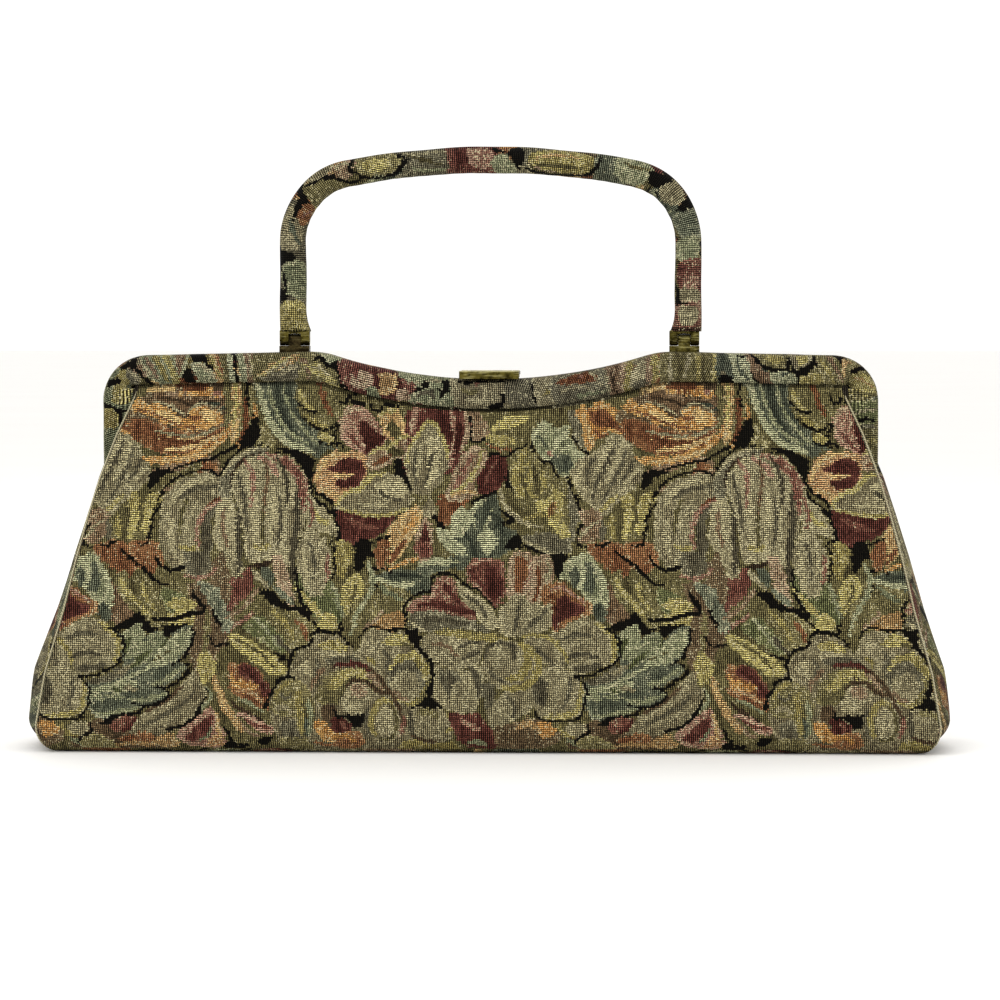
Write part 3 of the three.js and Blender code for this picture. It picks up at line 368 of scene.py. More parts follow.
tulip = [
    ("cream", 1.7, [(-164, 124), (-160, 131), (-155, 136), (-148, 138), (-140, 139), (-134, 137),
                    (-131, 128), (-138, 124), (-143, 119), (-146, 112), (-147, 104), (-142, 98), (-138, 92),
                    (-141, 88), (-147, 86), (-151, 89), (-153, 94), (-158, 92), (-162, 96), (-165, 106)]),
    ("grey", 1.5, [(-152, 101), (-143, 99), (-138, 93), (-141, 89), (-147, 87), (-151, 90)]),
    ("cream", 2.7, 2.6, [(-160, 122), (-156, 129), (-149, 134), (-141, 136)]),
    ("grey", 1.2, 2.0, [(-155, 126), (-150, 130), (-143, 132), (-136, 133)]),
    ("cream", 2.8, 2.6, [(-158, 116), (-159, 106), (-157, 97)]),
    ("olive", 1.2, 1.8, [(-151, 126), (-154, 118), (-155, 108)]),
    ("cream", 2.5, 2.2, [(-146, 125), (-150, 118), (-152, 108)]),
    ("yellow", 2.2, 2.2, [(-155, 103), (-149, 101), (-144, 102)]),
    ("grey", 0.9, [(-143, 119), (-138, 124), (-134, 126), (-138, 119), (-139, 110), (-138, 100), (-142, 98),
                   (-144, 106)]),
    ("rose", 2.3, 2.4, [(-131, 127), (-137, 124.5), (-142, 121), (-145, 115), (-146, 108), (-145, 102)]),
    ("rust", 0.6, 1.3, [(-132, 127.5), (-137, 126), (-141, 123)]),
    ("cream", 2.4, [(-134, 126), (-130, 129), (-127, 122), (-126, 110), (-124, 98), (-122, 90), (-126, 85),
                    (-129, 88), (-132, 95), (-136, 102), (-138, 110), (-137, 119)]),
    ("tan", 1.6, 1.4, [(-133, 122), (-133, 112), (-130, 102)]),
    ("grey", 0.8, 2.6, [(-126, 130), (-125, 118), (-125, 106), (-124, 98), (-125, 90)]),
    ("grey", 1.7, [(-136, 131), (-134, 139), (-129, 146), (-122, 151), (-117, 153), (-110, 151),
                   (-115, 148), (-122, 146), (-127, 141), (-129, 133), (-130, 127), (-134, 127)]),
    ("cream", 2.7, 1.5, [(-134, 138), (-129, 145), (-122, 150), (-115, 152)]),
    ("cream", 2.1, [(-129, 132), (-128, 139), (-125, 144), (-120, 148), (-114, 149), (-107, 149),
                    (-101, 148), (-96, 144), (-92, 138), (-90, 130), (-91, 118), (-94, 106), (-97, 96),
                    (-101, 92), (-106, 97), (-111, 95), (-116, 94), (-120, 94), (-122, 100), (-123, 112),
                    (-125, 122)]),
    ("rose", 1.9, [(-112, 149), (-104, 148), (-97, 144), (-92, 137), (-90, 129), (-91, 118), (-94, 124),
                   (-96, 134), (-101, 141), (-107, 145)]),
    ("rose", 2.2, 2.2, [(-123, 146), (-119, 140), (-118, 130), (-119, 122)]),
    ("rose", 2.6, 2.6, [(-116, 148), (-110, 144), (-106, 138)]),
    ("grey", 0.7, 1.8, [(-107, 148), (-103, 141), (-101, 132), (-101, 122)]),
    ("grey", 1.0, 1.6, [(-126, 140), (-124, 132), (-122, 122), (-121, 110)]),
    ("tan", 1.2, 1.6, [(-113, 147), (-111, 138), (-112, 128), (-113, 116)]),
    ("wine", 1.4, 1.3, [(-98, 143), (-95, 134), (-94, 124)]),
    ("cream", 2.9, 2.4, [(-117, 130), (-117, 116), (-116, 102)]),
    ("cream", 2.9, 2.2, [(-108, 134), (-108, 120), (-109, 104)]),
    ("olive", 1.0, 1.4, [(-113, 124), (-113, 110), (-112, 99)]),
    ("grey", 1.1, 1.5, [(-105, 128), (-104, 114), (-105, 103)]),
    ("yellow", 2.3, 2.0, [(-118, 103), (-113, 101), (-109, 104)]),
    ("cream", 2.6, 1.6, [(-102, 124), (-102, 110), (-103, 99)]),
    ("grey", 0.7, 2.8, [(-96, 130), (-96, 116), (-97, 104), (-98, 94), (-97, 84)]),
    ("rose", 1.0, [(-120, 93), (-117, 86), (-119, 80), (-124, 74), (-130, 71), (-130, 80), (-128, 87),
                   (-124, 86)]),
    ("brown", 1.4, [(-138, 93), (-133, 99), (-130, 92), (-128, 85), (-129, 73), (-135, 80), (-139, 86)]),
    ("brown", 0.0, 2.4, [(-119, 92.5), (-113, 93), (-106, 96)]),
    ("teal", 0.7, [(-114, 91), (-109, 91), (-107, 86), (-109, 82)]),
    ("cream", 2.4, 2.6, [(-118, 91), (-114, 86), (-109, 81)]),
    ("tan", 2.3, [(-108, 97), (-103, 97), (-100, 90), (-98, 82), (-96, 72), (-100, 74), (-104, 82),
                  (-107, 90)]),
    ("teal", 1.9, 2.6, [(-107, 82), (-102, 78), (-97, 73)]),
    ("cream", 2.1, [(-90, 133), (-87, 126), (-81, 121), (-77, 114), (-75, 107), (-80, 109), (-86, 110),
                    (-91, 113)]),
    ("yellow", 2.5, 2.4, [(-88, 121), (-84, 116), (-79, 113)]),
    ("rose", 1.8, 1.6, [(-90, 127), (-88, 119), (-89, 112)]),
    ("cream", 2.0, [(-94, 106), (-90, 111), (-84, 109), (-79, 101), (-78, 92), (-80, 84), (-84, 78),
                    (-90, 79), (-94, 88), (-96, 97)]),
    ("rose", 2.0, 1.8, [(-80, 99), (-80, 91), (-81, 84)]),
    ("grey", 1.1, 1.5, [(-90, 106), (-87, 97), (-87, 86)]),
    ("cream", 2.9, 2.2, [(-93, 101), (-91, 91), (-91, 84)]),
    ("cream", 2.7, 1.6, [(-85, 105), (-83, 96), (-84, 88)]),
    ("rose", 2.3, 2.0, [(-152, 88.5), (-146, 86.5), (-140, 88), (-136, 92)]),
    ("teal", 1.6, [(-145, 84), (-137, 83), (-131, 74), (-127, 62), (-132, 60), (-138, 72)]),
    ("tan", 2.0, 2.0, [(-131, 66), (-122, 72), (-114, 82)]),
    ("ground", 0, 1.4, [(-168, 120), (-163, 131), (-156, 137), (-148, 139.5), (-139, 140.5),
                        (-135.5, 138.5), (-130, 147), (-123, 152.5), (-116, 154), (-109, 151)]),
    ("brown", 0, 1.1, [(-130, 130), (-129, 138), (-126, 143.5), (-121, 148), (-114, 149.5)]),
    ("ground", 0, 1.5, [(-107, 150), (-99, 148.5), (-94, 143), (-90, 136), (-88, 128), (-84, 124),
                        (-79, 120), (-75, 113), (-74, 107), (-79, 107.5)]),
    ("ground", 0, [(-107, 152), (-99, 151), (-92, 149), (-88, 145), (-89, 135), (-93, 142), (-98, 148)]),
    ("ground", 0, 1.3, [(-79, 107), (-77, 99), (-77, 90), (-79, 84)]),
    ("ground", 0, 1.8, [(-96, 92), (-95, 82), (-92, 74), (-87, 68)]),
    ("ground", 0, 2.2, [(-167, 98), (-164, 93), (-158, 90.5), (-151, 93)]),
    ("ground", 0, [(-114, 80), (-108, 80), (-103, 75), (-97, 72), (-92, 72), (-88, 66), (-96, 70),
                   (-106, 72)]),
    ("yellow", 2.2, [(-160, 75), (-154, 77), (-147, 75), (-146, 71), (-154, 70), (-160, 72)]),
    ("ground", 0, 2.4, [(-148, 80), (-145, 76), (-142, 70), (-150, 68), (-160, 66), (-168, 66)]),
    ("ground", 0, 2.2, [(-137, 71), (-136, 67), (-133, 63)]),
]

peony = [
    ("rose", 1.8, [(-39, 69), (-38, 75), (-33, 78), (-28, 78), (-27, 84), (-24, 87.5), (-19, 87), (-16, 82),
                   (-14, 76), (-8, 74), (-5, 70), (-7, 66), (-14, 67), (-22, 69), (-32, 69)]),
    ("wine", 0.6, 2.8, [(-6, 69), (-16, 71.5), (-25, 74), (-35, 73)]),
    ("wine", 0.9, 2.4, [(-13, 74), (-18, 79), (-22, 84)]),
    ("rose", 2.6, 1.6, [(-37, 75), (-32, 77), (-28, 77), (-26, 83), (-22, 86.5)]),
    ("cream", 2.2, [(-16, 86), (-11, 82), (-5, 79), (0, 75), (4, 70), (7, 63), (0, 61), (-4, 66), (-8, 72),
                    (-13, 77)]),
    ("grey", 1.2, 1.6, [(-12, 79), (-5, 74), (0, 67)]),
    ("grey", 1.6, [(-39, 68), (-34, 70), (-24, 70), (-12, 67), (-4, 64), (2, 59), (-10, 61), (-22, 60),
                   (-32, 60), (-38, 60)]),
    ("cream", 2.5, 2.4, [(-38, 65), (-35, 62), (-31, 61)]),
    ("grey", 1.0, 2.2, [(-32, 66), (-22, 66), (-10, 64)]),
    ("rose", 1.6, [(-11, 91), (-7, 96), (0, 97), (6, 95), (9, 88), (8, 78), (5, 72), (0, 77), (-5, 81),
                   (-9, 85)]),
    ("wine", 0.3, [(0, 92), (5, 92), (7, 84), (5, 75), (1, 78), (-2, 84)]),
    ("wine", 0.9, 2.0, [(-8, 90), (-5, 85), (-1, 80)]),
    ("rose", 2.7, 1.6, [(-9, 92), (-4, 95), (2, 95.5)]),
    ("tan", 2.3, [(10, 77), (10, 88), (11, 96), (15, 100.5), (20, 100), (24, 96), (24, 88), (22, 81),
                  (17, 77)]),
    ("rust", 0.9, [(14, 96), (18, 97), (20, 90), (17, 81), (14, 82)]),
    ("rose", 2.4, 1.6, [(21, 97), (21, 89), (18, 81)]),
    ("tan", 2.2, [(24, 97), (29, 99), (33, 94), (33, 87), (29, 81), (26, 74), (21, 73), (19, 79),
                  (23, 86)]),
    ("rust", 0.8, 2.2, [(25, 93), (26, 85), (23, 75)]),
    ("cream", 2.2, 1.5, [(29, 97), (31, 91), (29, 84)]),
    ("rust", 1.7, [(26, 77), (29, 83), (35, 85.5), (40, 83), (44, 79), (49, 77), (53, 73), (50, 68),
                   (45, 66), (40, 64), (35, 60), (31, 62), (31, 70)]),
    ("wine", 0.7, [(33, 74), (38, 78), (44, 74), (49, 72), (45, 68), (38, 66), (34, 61), (32, 66)]),
    ("rose", 2.3, 1.8, [(31, 80), (36, 82.5), (42, 79), (49, 75)]),
    ("rust", 0.6, 1.6, [(30, 78), (34, 77), (33, 68)]),
    ("cream", 1.9, [(6, 68), (11, 77), (17, 78.5), (22, 75), (27, 74), (32, 74), (32, 67), (28, 60),
                    (18, 58), (8, 59)]),
    ("grey", 1.0, 1.8, [(17, 76), (15, 68), (13, 60)]),
    ("grey", 1.2, 1.8, [(30, 72), (25, 66), (19, 61)]),
    ("cream", 2.2, 2.0, [(12, 74), (11, 66), (9, 60)]),
    ("cream", 2.2, 2.0, [(22, 72), (20, 66), (17, 60)]),
    ("cream", 1.8, [(31, 59), (38, 62), (44, 66), (50, 67.5), (56, 65), (60, 61), (65, 56), (65, 49),
                    (61, 44), (55, 41), (47, 39), (42, 41), (37, 48), (33, 54)]),
    ("cream", 2.2, 2.2, [(36, 59), (44, 63), (51, 64)]),
    ("grey", 1.2, 1.6, [(36, 56), (45, 59), (53, 58)]),
    ("cream", 2.2, 2.0, [(40, 53), (48, 56), (56, 54)]),
    ("grey", 1.0, 1.8, [(40, 47), (47, 49), (55, 48)]),
    ("grey", 1.1, 3.0, [(43, 42), (50, 42), (57, 44)]),
    ("yellow", 2.2, 2.6, [(54, 65), (60, 60), (64, 54), (62, 46)]),
    ("cream", 1.9, [(-34, 54), (-31, 59), (-22, 60.5), (-12, 58), (-4, 57), (2, 57), (-2, 50), (-5, 44),
                    (-11, 42), (-19, 42), (-26, 45), (-31, 49)]),
    ("yellow", 2.0, 3.0, [(-26, 60), (-20, 60), (-8, 58), (3, 57), (10, 57)]),
    ("grey", 1.2, 1.6, [(-14, 52), (-9, 55), (-2, 55)]),
    ("grey", 1.1, 2.0, [(-13, 46), (-8, 49), (-3, 50)]),
    ("tan", 1.5, 1.5, [(-28, 54), (-20, 53), (-14, 48)]),
    ("cream", 2.2, 2.2, [(-29, 52), (-22, 49), (-16, 45)]),
    ("cream", 1.8, [(24, 40), (33, 43), (40, 42), (45, 38), (48, 32), (48, 24), (45, 19), (38, 17),
                    (30, 17), (25, 20), (23, 27)]),
    ("grey", 0.8, [(24, 39), (29, 37), (31, 31), (29, 24), (25, 24), (23, 30)]),
    ("cream", 2.2, 2.6, [(36, 39), (36, 30), (33, 21)]),
    ("grey", 1.4, 1.5, [(41, 38), (41, 30), (38, 21)]),
    ("yellow", 2.2, 2.4, [(46, 35), (47, 28), (44, 20.5), (36, 18.5), (29, 18.5)]),
    ("cream", 1.6, [(20, 58), (28, 58), (34, 54), (39, 46), (38, 42), (30, 43), (24, 48), (18, 54)]),
    ("yellow", 2.0, 2.0, [(17, 58), (26, 58.5), (33, 56), (38, 51), (41, 44)]),
    ("grey", 1.0, 1.6, [(24, 52), (30, 47), (34, 43)]),
    ("cream", 1.9, [(-27, 44), (-20, 43), (-11, 41), (-4, 43), (-2, 36), (-4, 28), (-6, 21), (-11, 19),
                    (-18, 21), (-24, 25), (-27, 32)]),
    ("grey", 1.2, [(-24, 40), (-16, 40), (-13, 34), (-19, 29), (-23, 33)]),
    ("cream", 2.0, [(-18, 32), (-12, 36), (-8, 32), (-5, 26), (-8, 20), (-16, 21)]),
    ("grey", 1.0, 3.0, [(-9, 43), (-5, 37), (-4, 29)]),
    ("cream", 1.8, [(-2, 35), (4, 27), (10, 31), (20, 33), (24, 28), (22, 21), (16, 18), (9, 14), (4, 12),
                    (0, 17), (-1, 25)]),
    ("grey", 0.9, [(-3, 35), (3, 34), (4, 27), (0, 22)]),
    ("cream", 2.2, 2.4, [(4, 25), (8, 20), (8, 15)]),
    ("grey", 1.3, 1.6, [(10, 29), (14, 23), (13, 17)]),
    ("cream", 1.8, [(-3, 44), (0, 51), (5, 55.5), (12, 56), (20, 54), (26, 48), (27, 40), (22, 33),
                    (14, 31), (6, 32), (0, 37)]),
    ("grey", 0.9, 1.8, [(-2, 46), (1, 52), (7, 55), (13, 52), (14, 46)]),
    ("cream", 2.1, [(1, 49), (7, 52), (11, 48), (9, 43), (3, 42)]),
    ("yellow", 2.0, 3.4, [(15, 54.5), (22, 50.5), (25.5, 43), (22, 35), (14, 32), (7, 33)]),
    ("yellow", 1.8, 3.6, [(18, 52), (20, 45), (17, 38), (10, 37)]),
    ("grey", 1.2, 1.6, [(1, 41), (5, 37), (11, 35)]),
    ("wine", 0.8, [(-19, 20), (-11, 19), (-5, 20), (1, 14), (7, 8), (5, 1), (-8, 1), (-15, 8)]),
    ("rose", 2.3, 2.6, [(-13, 17), (-8, 14), (-3, 11)]),
    ("brown", 1.5, [(3, 12), (12, 15), (22, 18), (30, 16), (36, 11), (36, 5), (26, 1), (8, 1)]),
    ("orange", 1.8, [(25, 15), (32, 15), (34, 10), (27, 8)]),
    ("gold", 2.0, 3.0, [(15, 13), (21, 15), (26, 12)]),
    ("sage", 1.6, 2.8, [(-10, 5), (-4, 5), (0, 3)]),
    ("ground", 0, 1.5, [(-41, 62), (-41, 72), (-38, 77), (-33, 79.5), (-29, 80), (-28, 86), (-24, 89),
                        (-19, 89), (-15, 87), (-11, 83.5), (-5, 80.5), (0, 76.5), (5, 70.5)]),
    ("ground", 0, 1.5, [(58, 62), (62, 60), (66, 55), (66, 48), (61, 43), (56, 40.5), (52, 38.5), (44, 38),
                        (49, 33), (49, 24), (45, 17.5), (36, 16.5), (27, 17.5), (23, 23)]),
    ("ground", 0, 1.8, [(-35, 62), (-35, 54), (-30, 48), (-27, 43), (-28, 34), (-28, 27), (-22, 22)]),
    ("ground", 0, [(-41, 60), (-35, 60), (-33, 57), (-35, 50), (-37, 55)]),
    ("ground", 0, [(-29, 34), (-27, 28), (-22, 23), (-30, 22), (-34, 24), (-31, 28)]),
    ("ground", 0, [(33, 97), (37, 99), (38, 92), (35, 86), (33, 90)]),
]

creamRoses = [
    ("cream", 1.4, [(-108, 26), (-103, 35), (-98, 42), (-92, 51), (-84, 58), (-74, 57), (-66, 50),
                    (-60, 58), (-48, 60), (-37, 57), (-30, 45), (-28, 33), (-20, 20), (-18, 8), (-40, -1),
                    (-92, -1), (-106, 12)]),
    ("cream", 1.6, [(-98, 41), (-95, 49), (-90, 51.5), (-84, 49), (-81, 43), (-84, 37), (-92, 35)]),
    ("cream", 2.3, [(-94, 42), (-91, 46), (-87, 44), (-89, 39)]),
    ("grey", 1.3, 1.6, [(-86, 47), (-84, 42), (-87, 37)]),
    ("cream", 1.5, [(-89, 51), (-87, 57), (-81, 59.5), (-74, 57.5), (-69, 53), (-66, 47), (-74, 46),
                    (-84, 46)]),
    ("yellow", 2.0, [(-84, 53), (-80, 55.5), (-75, 56), (-70, 52), (-74, 50), (-80, 51)]),
    ("cream", 2.4, 2.6, [(-84, 49.5), (-77, 49.5), (-71, 48.5)]),
    ("grey", 1.4, [(-81, 45), (-76, 48), (-68, 48.5), (-63, 46.5), (-63, 43), (-72, 43)]),
    ("tan", 1.5, 1.8, [(-80, 42), (-86, 37), (-88, 31)]),
    ("cream", 1.7, [(-65, 50), (-61, 58), (-55, 61), (-49, 59.5), (-43, 60.5), (-37, 58), (-34, 51),
                    (-38, 46), (-46, 48), (-51, 42), (-57, 40), (-62, 46)]),
    ("yellow", 2.1, [(-52, 54), (-49, 58.5), (-42, 59), (-37, 56), (-40, 53), (-46, 53)]),
    ("olive", 1.0, 1.8, [(-43, 55), (-39, 53.5), (-36, 50)]),
    ("cream", 2.2, 3.0, [(-61, 55), (-57, 51), (-54, 46), (-54, 42)]),
    ("grey", 1.4, 2.0, [(-51, 51), (-49, 46), (-51, 41)]),
    ("yellow", 1.8, 2.0, [(-60, 48), (-57, 45), (-56, 42)]),
    ("yellow", 1.9, [(-48, 45), (-44, 49), (-37, 50), (-31, 47), (-27.5, 40), (-28, 32), (-33, 25),
                     (-40, 23.5), (-45, 26), (-48, 31), (-49, 38)]),
    ("olive", 1.6, 3.0, [(-29, 37), (-30, 30), (-36, 25)]),
    ("grey", 1.5, [(-49, 39), (-46, 44), (-41, 46), (-35, 44.5), (-31.5, 39), (-32, 32), (-37, 27),
                   (-44, 27), (-49, 32)]),
    ("cream", 1.9, [(-47.5, 35), (-44, 40), (-38.5, 41), (-34, 37), (-33.5, 30), (-37, 25.5), (-43, 26),
                    (-47, 30)]),
    ("tan", 1.9, 1.8, [(-46, 31), (-43, 27.5), (-39, 26.5)]),
    ("olive", 1.5, [(-85, 28), (-82, 36), (-76, 41), (-68, 42.5), (-60, 40), (-54, 35), (-50, 29),
                    (-58, 31), (-66, 34), (-72, 26), (-80, 24)]),
    ("yellow", 2.0, [(-79, 33), (-76, 38), (-70, 41.5), (-63, 41), (-57, 37), (-61, 36.5), (-67, 38),
                     (-73, 33), (-77, 30)]),
    ("yellow", 2.3, 2.2, [(-75, 38), (-69, 40.3), (-62, 39)]),
    ("wine", 0.7, 2.2, [(-77, 42.8), (-70, 44.2), (-63, 43.3), (-57, 40)]),
    ("brown", 0.9, 2.0, [(-60, 42.5), (-54, 37.5), (-48, 30), (-44, 22), (-42, 13)]),
    ("tan", 2.1, 1.6, [(-60, 40), (-55, 35.5), (-50, 29.5)]),
    ("cream", 1.8, [(-71, 30), (-67, 35), (-61, 35), (-56, 30), (-58, 24), (-62, 19.5), (-69, 20),
                    (-73, 25)]),
    ("tan", 1.9, [(-68, 32), (-64, 34.5), (-59, 32), (-60, 28), (-66, 28)]),
    ("cream", 2.3, 2.4, [(-70, 25), (-66, 22.5), (-61, 23)]),
    ("brown", 0.7, 1.8, [(-69.5, 33), (-66, 36.3), (-60, 35.5), (-54, 31), (-48, 29)]),
    ("olive", 1.6, [(-107, 28), (-104, 35), (-98, 37), (-91, 34), (-86, 27), (-86, 16), (-90, 8), (-95, 10),
                    (-96, 17), (-106, 20)]),
    ("yellow", 1.8, 1.8, [(-106, 27), (-103, 33), (-98, 35.5)]),
    ("cream", 2.0, 3.0, [(-105, 21), (-101, 23), (-97, 20)]),
    ("grey", 1.3, 1.6, [(-103, 29), (-99, 27), (-97, 30)]),
    ("yellow", 1.9, 3.4, [(-94, 31), (-93, 22), (-92, 10)]),
    ("olive", 0.9, 1.4, [(-91, 28), (-90.5, 18), (-91, 10)]),
    ("sage", 1.9, 2.4, [(-89, 27), (-88, 18), (-89, 8)]),
    ("teal", 0.9, 1.6, [(-90, 18), (-89.5, 12), (-90, 8)]),
    ("grey", 1.4, [(-103, 14), (-97, 17), (-94, 12), (-92, 3), (-98, 2)]),
    ("cream", 1.5, [(-62, 24), (-57, 28.5), (-50, 27.5), (-44, 20), (-43, 12), (-47, 5), (-54, 4), (-59, 9),
                    (-62, 18)]),
    ("yellow", 1.9, 2.6, [(-55, 8), (-57.5, 14), (-56.5, 21), (-53, 26), (-48, 25)]),
    ("cream", 2.0, [(-55, 16), (-53, 22), (-49, 22.5), (-46, 17), (-47, 9), (-52, 7)]),
    ("olive", 1.0, 1.4, [(-49, 25), (-45.5, 19), (-45, 11), (-50, 6.5), (-55, 8)]),
    ("grey", 1.4, 2.0, [(-60, 22), (-60.5, 15), (-58, 8)]),
    ("cream", 1.7, [(-39, 20), (-34, 24), (-26, 23.5), (-20, 20), (-16.5, 15), (-20, 9), (-28, 6), (-36, 8),
                    (-39, 14)]),
    ("olive", 1.9, 2.6, [(-34, 20), (-29, 21), (-24, 18)]),
    ("grey", 1.1, 2.6, [(-38, 21), (-37.5, 14), (-36.5, 8)]),
    ("yellow", 2.0, 1.8, [(-20, 19.5), (-17, 15), (-20, 10)]),
    ("brown", 0.9, 1.6, [(-37, 8.5), (-31, 6), (-24, 5)]),
    ("rose", 1.7, 2.2, [(-41, 19), (-41.5, 14), (-43, 9)]),
    ("yellow", 1.5, [(-42, 6), (-34, 6), (-28, 4), (-18, 6), (-14, 0), (-26, -2), (-42, -1)]),
    ("brown", 0.7, [(-84, 20), (-81, 24), (-77, 24), (-75, 19), (-77, 15), (-82, 16)]),
    ("ground", 0, [(-76.5, 22), (-73, 19.5), (-62, 19.5), (-62, 13), (-66, 12.5), (-70, 17), (-75, 17.5)]),
    ("wine", 0.4, [(-78, 17), (-71, 17), (-67, 13), (-69, 7.5), (-75, 8)]),
    ("rose", 1.5, 2.0, [(-73, 16), (-71, 14), (-70, 11)]),
    ("orange", 1.9, [(-86, 16), (-81, 16), (-77, 11), (-73, 6), (-80, 6), (-85, 11)]),
    ("rust", 1.3, [(-75, 8), (-67, 11), (-62, 9), (-62, 2), (-74, 1)]),
    ("orange", 1.9, 2.4, [(-77, 8), (-70, 8.5), (-66, 5)]),
    ("rust", 1.6, 2.0, [(-86, 5), (-78, 3), (-68, 3)]),
    ("olive", 1.4, [(-107, 6), (-98, 8), (-89, 6), (-88, -1), (-106, -2)]),
    ("ground", 0, 1.5, [(-98, 38), (-99, 45), (-95, 51), (-89, 53), (-87, 58), (-82, 60.5), (-75, 59),
                        (-69, 54), (-66, 50)]),
    ("ground", 0, 1.4, [(-64, 57), (-60, 61.5), (-55, 62.5), (-49, 61), (-43, 61.5), (-37, 59.5), (-34, 53),
                        (-33, 50), (-29, 47.5), (-26.5, 40), (-27, 32), (-32, 25), (-39, 22)]),
    ("ground", 0, 1.6, [(-111, 22), (-108, 29), (-104, 36), (-98, 38), (-96, 36)]),
]

acanthus = [
    ("cream", 1.5, [(70, 10), (76, 19), (86, 25), (95, 33), (101, 41), (105, 36), (108, 28), (103, 19),
                    (96, 13), (86, 9)]),
    ("cream", 2.1, 1.8, [(76, 16), (86, 22), (95, 28), (102, 37)]),
    ("grey", 1.2, 1.6, [(75, 13), (86, 18), (96, 24), (103, 31)]),
    ("cream", 2.0, 1.8, [(80, 13), (90, 17), (98, 21), (104, 26)]),
    ("brown", 1.0, 1.4, [(78, 20), (88, 26), (97, 34)]),
    ("ground", 0, 1.8, [(107, 27), (104, 20), (97, 14), (88, 11)]),
    ("teal", 1.3, [(48, 33), (56, 36), (64, 41), (66, 47), (63, 57), (68, 61), (74, 64), (77, 58), (80, 59),
                   (84, 60), (87, 56), (92, 60), (101, 62), (100, 53), (95, 46), (98, 43), (94, 37),
                   (86, 33), (89, 29), (84, 24), (74, 22), (66, 18), (56, 17), (50, 21)]),
    ("grey", 1.2, [(47, 36), (56, 38), (64, 43), (69, 42), (66, 38), (58, 35), (50, 34)]),
    ("sage", 2.0, [(64, 57), (68, 61), (74, 64), (77, 57), (76, 50), (70, 46), (66, 48)]),
    ("green", 0.9, 2.6, [(69.5, 57), (67.5, 53), (66.5, 49)]),
    ("sage", 1.9, [(77, 55), (80, 59), (85, 59.5), (87, 56), (84, 50), (79, 46), (73, 43), (72, 46),
                   (76, 51)]),
    ("green", 0.9, 2.4, [(80, 50), (75, 47), (70, 42)]),
    ("sage", 2.0, [(88, 55), (93, 59), (100, 61.5), (99, 53), (95, 48), (89, 44.5), (82, 43), (76, 40),
                   (68, 36), (78, 43)]),
    ("olive", 1.1, 1.4, [(89, 49.5), (85, 47), (81, 46)]),
    ("green", 0.8, 1.6, [(87.5, 57), (87, 54), (85, 52)]),
    ("teal", 0.9, [(77, 39), (86, 42), (92, 42), (88, 37), (82, 34), (74, 33), (73, 37)]),
    ("teal", 1.0, [(64, 30), (74, 32), (82, 32), (83, 29), (76, 27), (68, 27)]),
    ("teal", 1.1, [(50, 26), (58, 28), (68, 27), (70, 23), (62, 20.5), (52, 21)]),
    ("sage", 1.9, [(49, 30), (52, 33), (58, 34), (66, 35), (73, 36), (70, 31), (63, 29), (56, 29.5),
                   (52, 27)]),
    ("cream", 2.0, 2.2, [(66, 33), (70, 32), (74, 31)]),
    ("sage", 2.3, 2.0, [(87, 47.5), (78, 42), (70, 38), (62, 34), (54, 33)]),
    ("cream", 2.0, 1.5, [(61, 39.5), (66, 41), (71, 45)]),
    ("sage", 1.9, 2.4, [(97, 43), (92, 40), (87, 36), (80, 34)]),
    ("sage", 1.9, 2.4, [(88, 29), (83, 28), (77, 26), (69, 26.5)]),
    ("green", 0.8, 1.6, [(61, 32.5), (63, 31), (66, 30)]),
    ("sage", 2.0, 2.6, [(51, 29), (54, 27.5), (57, 26)]),
    ("sage", 1.8, 1.6, [(57, 28.5), (62, 27.5), (67, 27.5)]),
    ("sage", 1.8, 2.2, [(54, 19), (62, 19.8), (70, 21), (75, 23)]),
    ("ground", 0, 1.7, [(101, 63), (100.5, 54), (96, 47), (90, 43.5)]),
    ("ground", 0, 1.7, [(95, 45.5), (99.5, 42), (95, 36.5), (88, 32.5), (82, 33)]),
    ("ground", 0, 1.7, [(86, 32), (89.5, 29.5), (86, 26), (78, 23), (70, 25)]),
    ("ground", 0, 1.8, [(78, 22.5), (74, 20), (66, 18.5), (58, 18)]),
    ("ground", 0, [(55.5, 15), (60, 18.5), (68, 19), (62, 16), (59, 13.5)]),
    ("ground", 0, [(62, 61), (70, 65), (75, 67), (80, 62), (88, 63), (100, 64), (92, 61), (87, 57),
                   (85, 61), (79, 60), (77, 59), (74, 65), (66, 61)]),
    ("rose", 1.4, [(59, 13), (65, 17.5), (72, 18), (71, 13), (65, 10)]),
    ("wine", 0.6, 1.4, [(66, 10.5), (70, 12.5), (73, 18)]),
    ("cream", 2.0, [(39, 14), (46, 16), (50, 12), (46, 8), (40, 9)]),
    ("yellow", 1.9, 2.0, [(36, 15), (38, 10), (44, 8)]),
    ("sage", 1.6, 2.4, [(40, 7), (44, 5), (46, 2)]),
    ("olive", 1.9, [(46, 7), (54, 9), (62, 5), (64, -1), (47, -1)]),
    ("rust", 1.3, [(64, 6), (74, 10), (82, 9), (80, 4), (70, 3)]),
    ("gold", 1.9, 2.6, [(62, 2), (72, 4), (80, 3), (86, 8)]),
    ("ground", 0, 1.7, [(50, 15), (51, 11), (46, 7.5), (44, 4)]),
    ("gold", 2.0, [(88, 9), (92, 9), (94, 2), (82, 2)]),
]

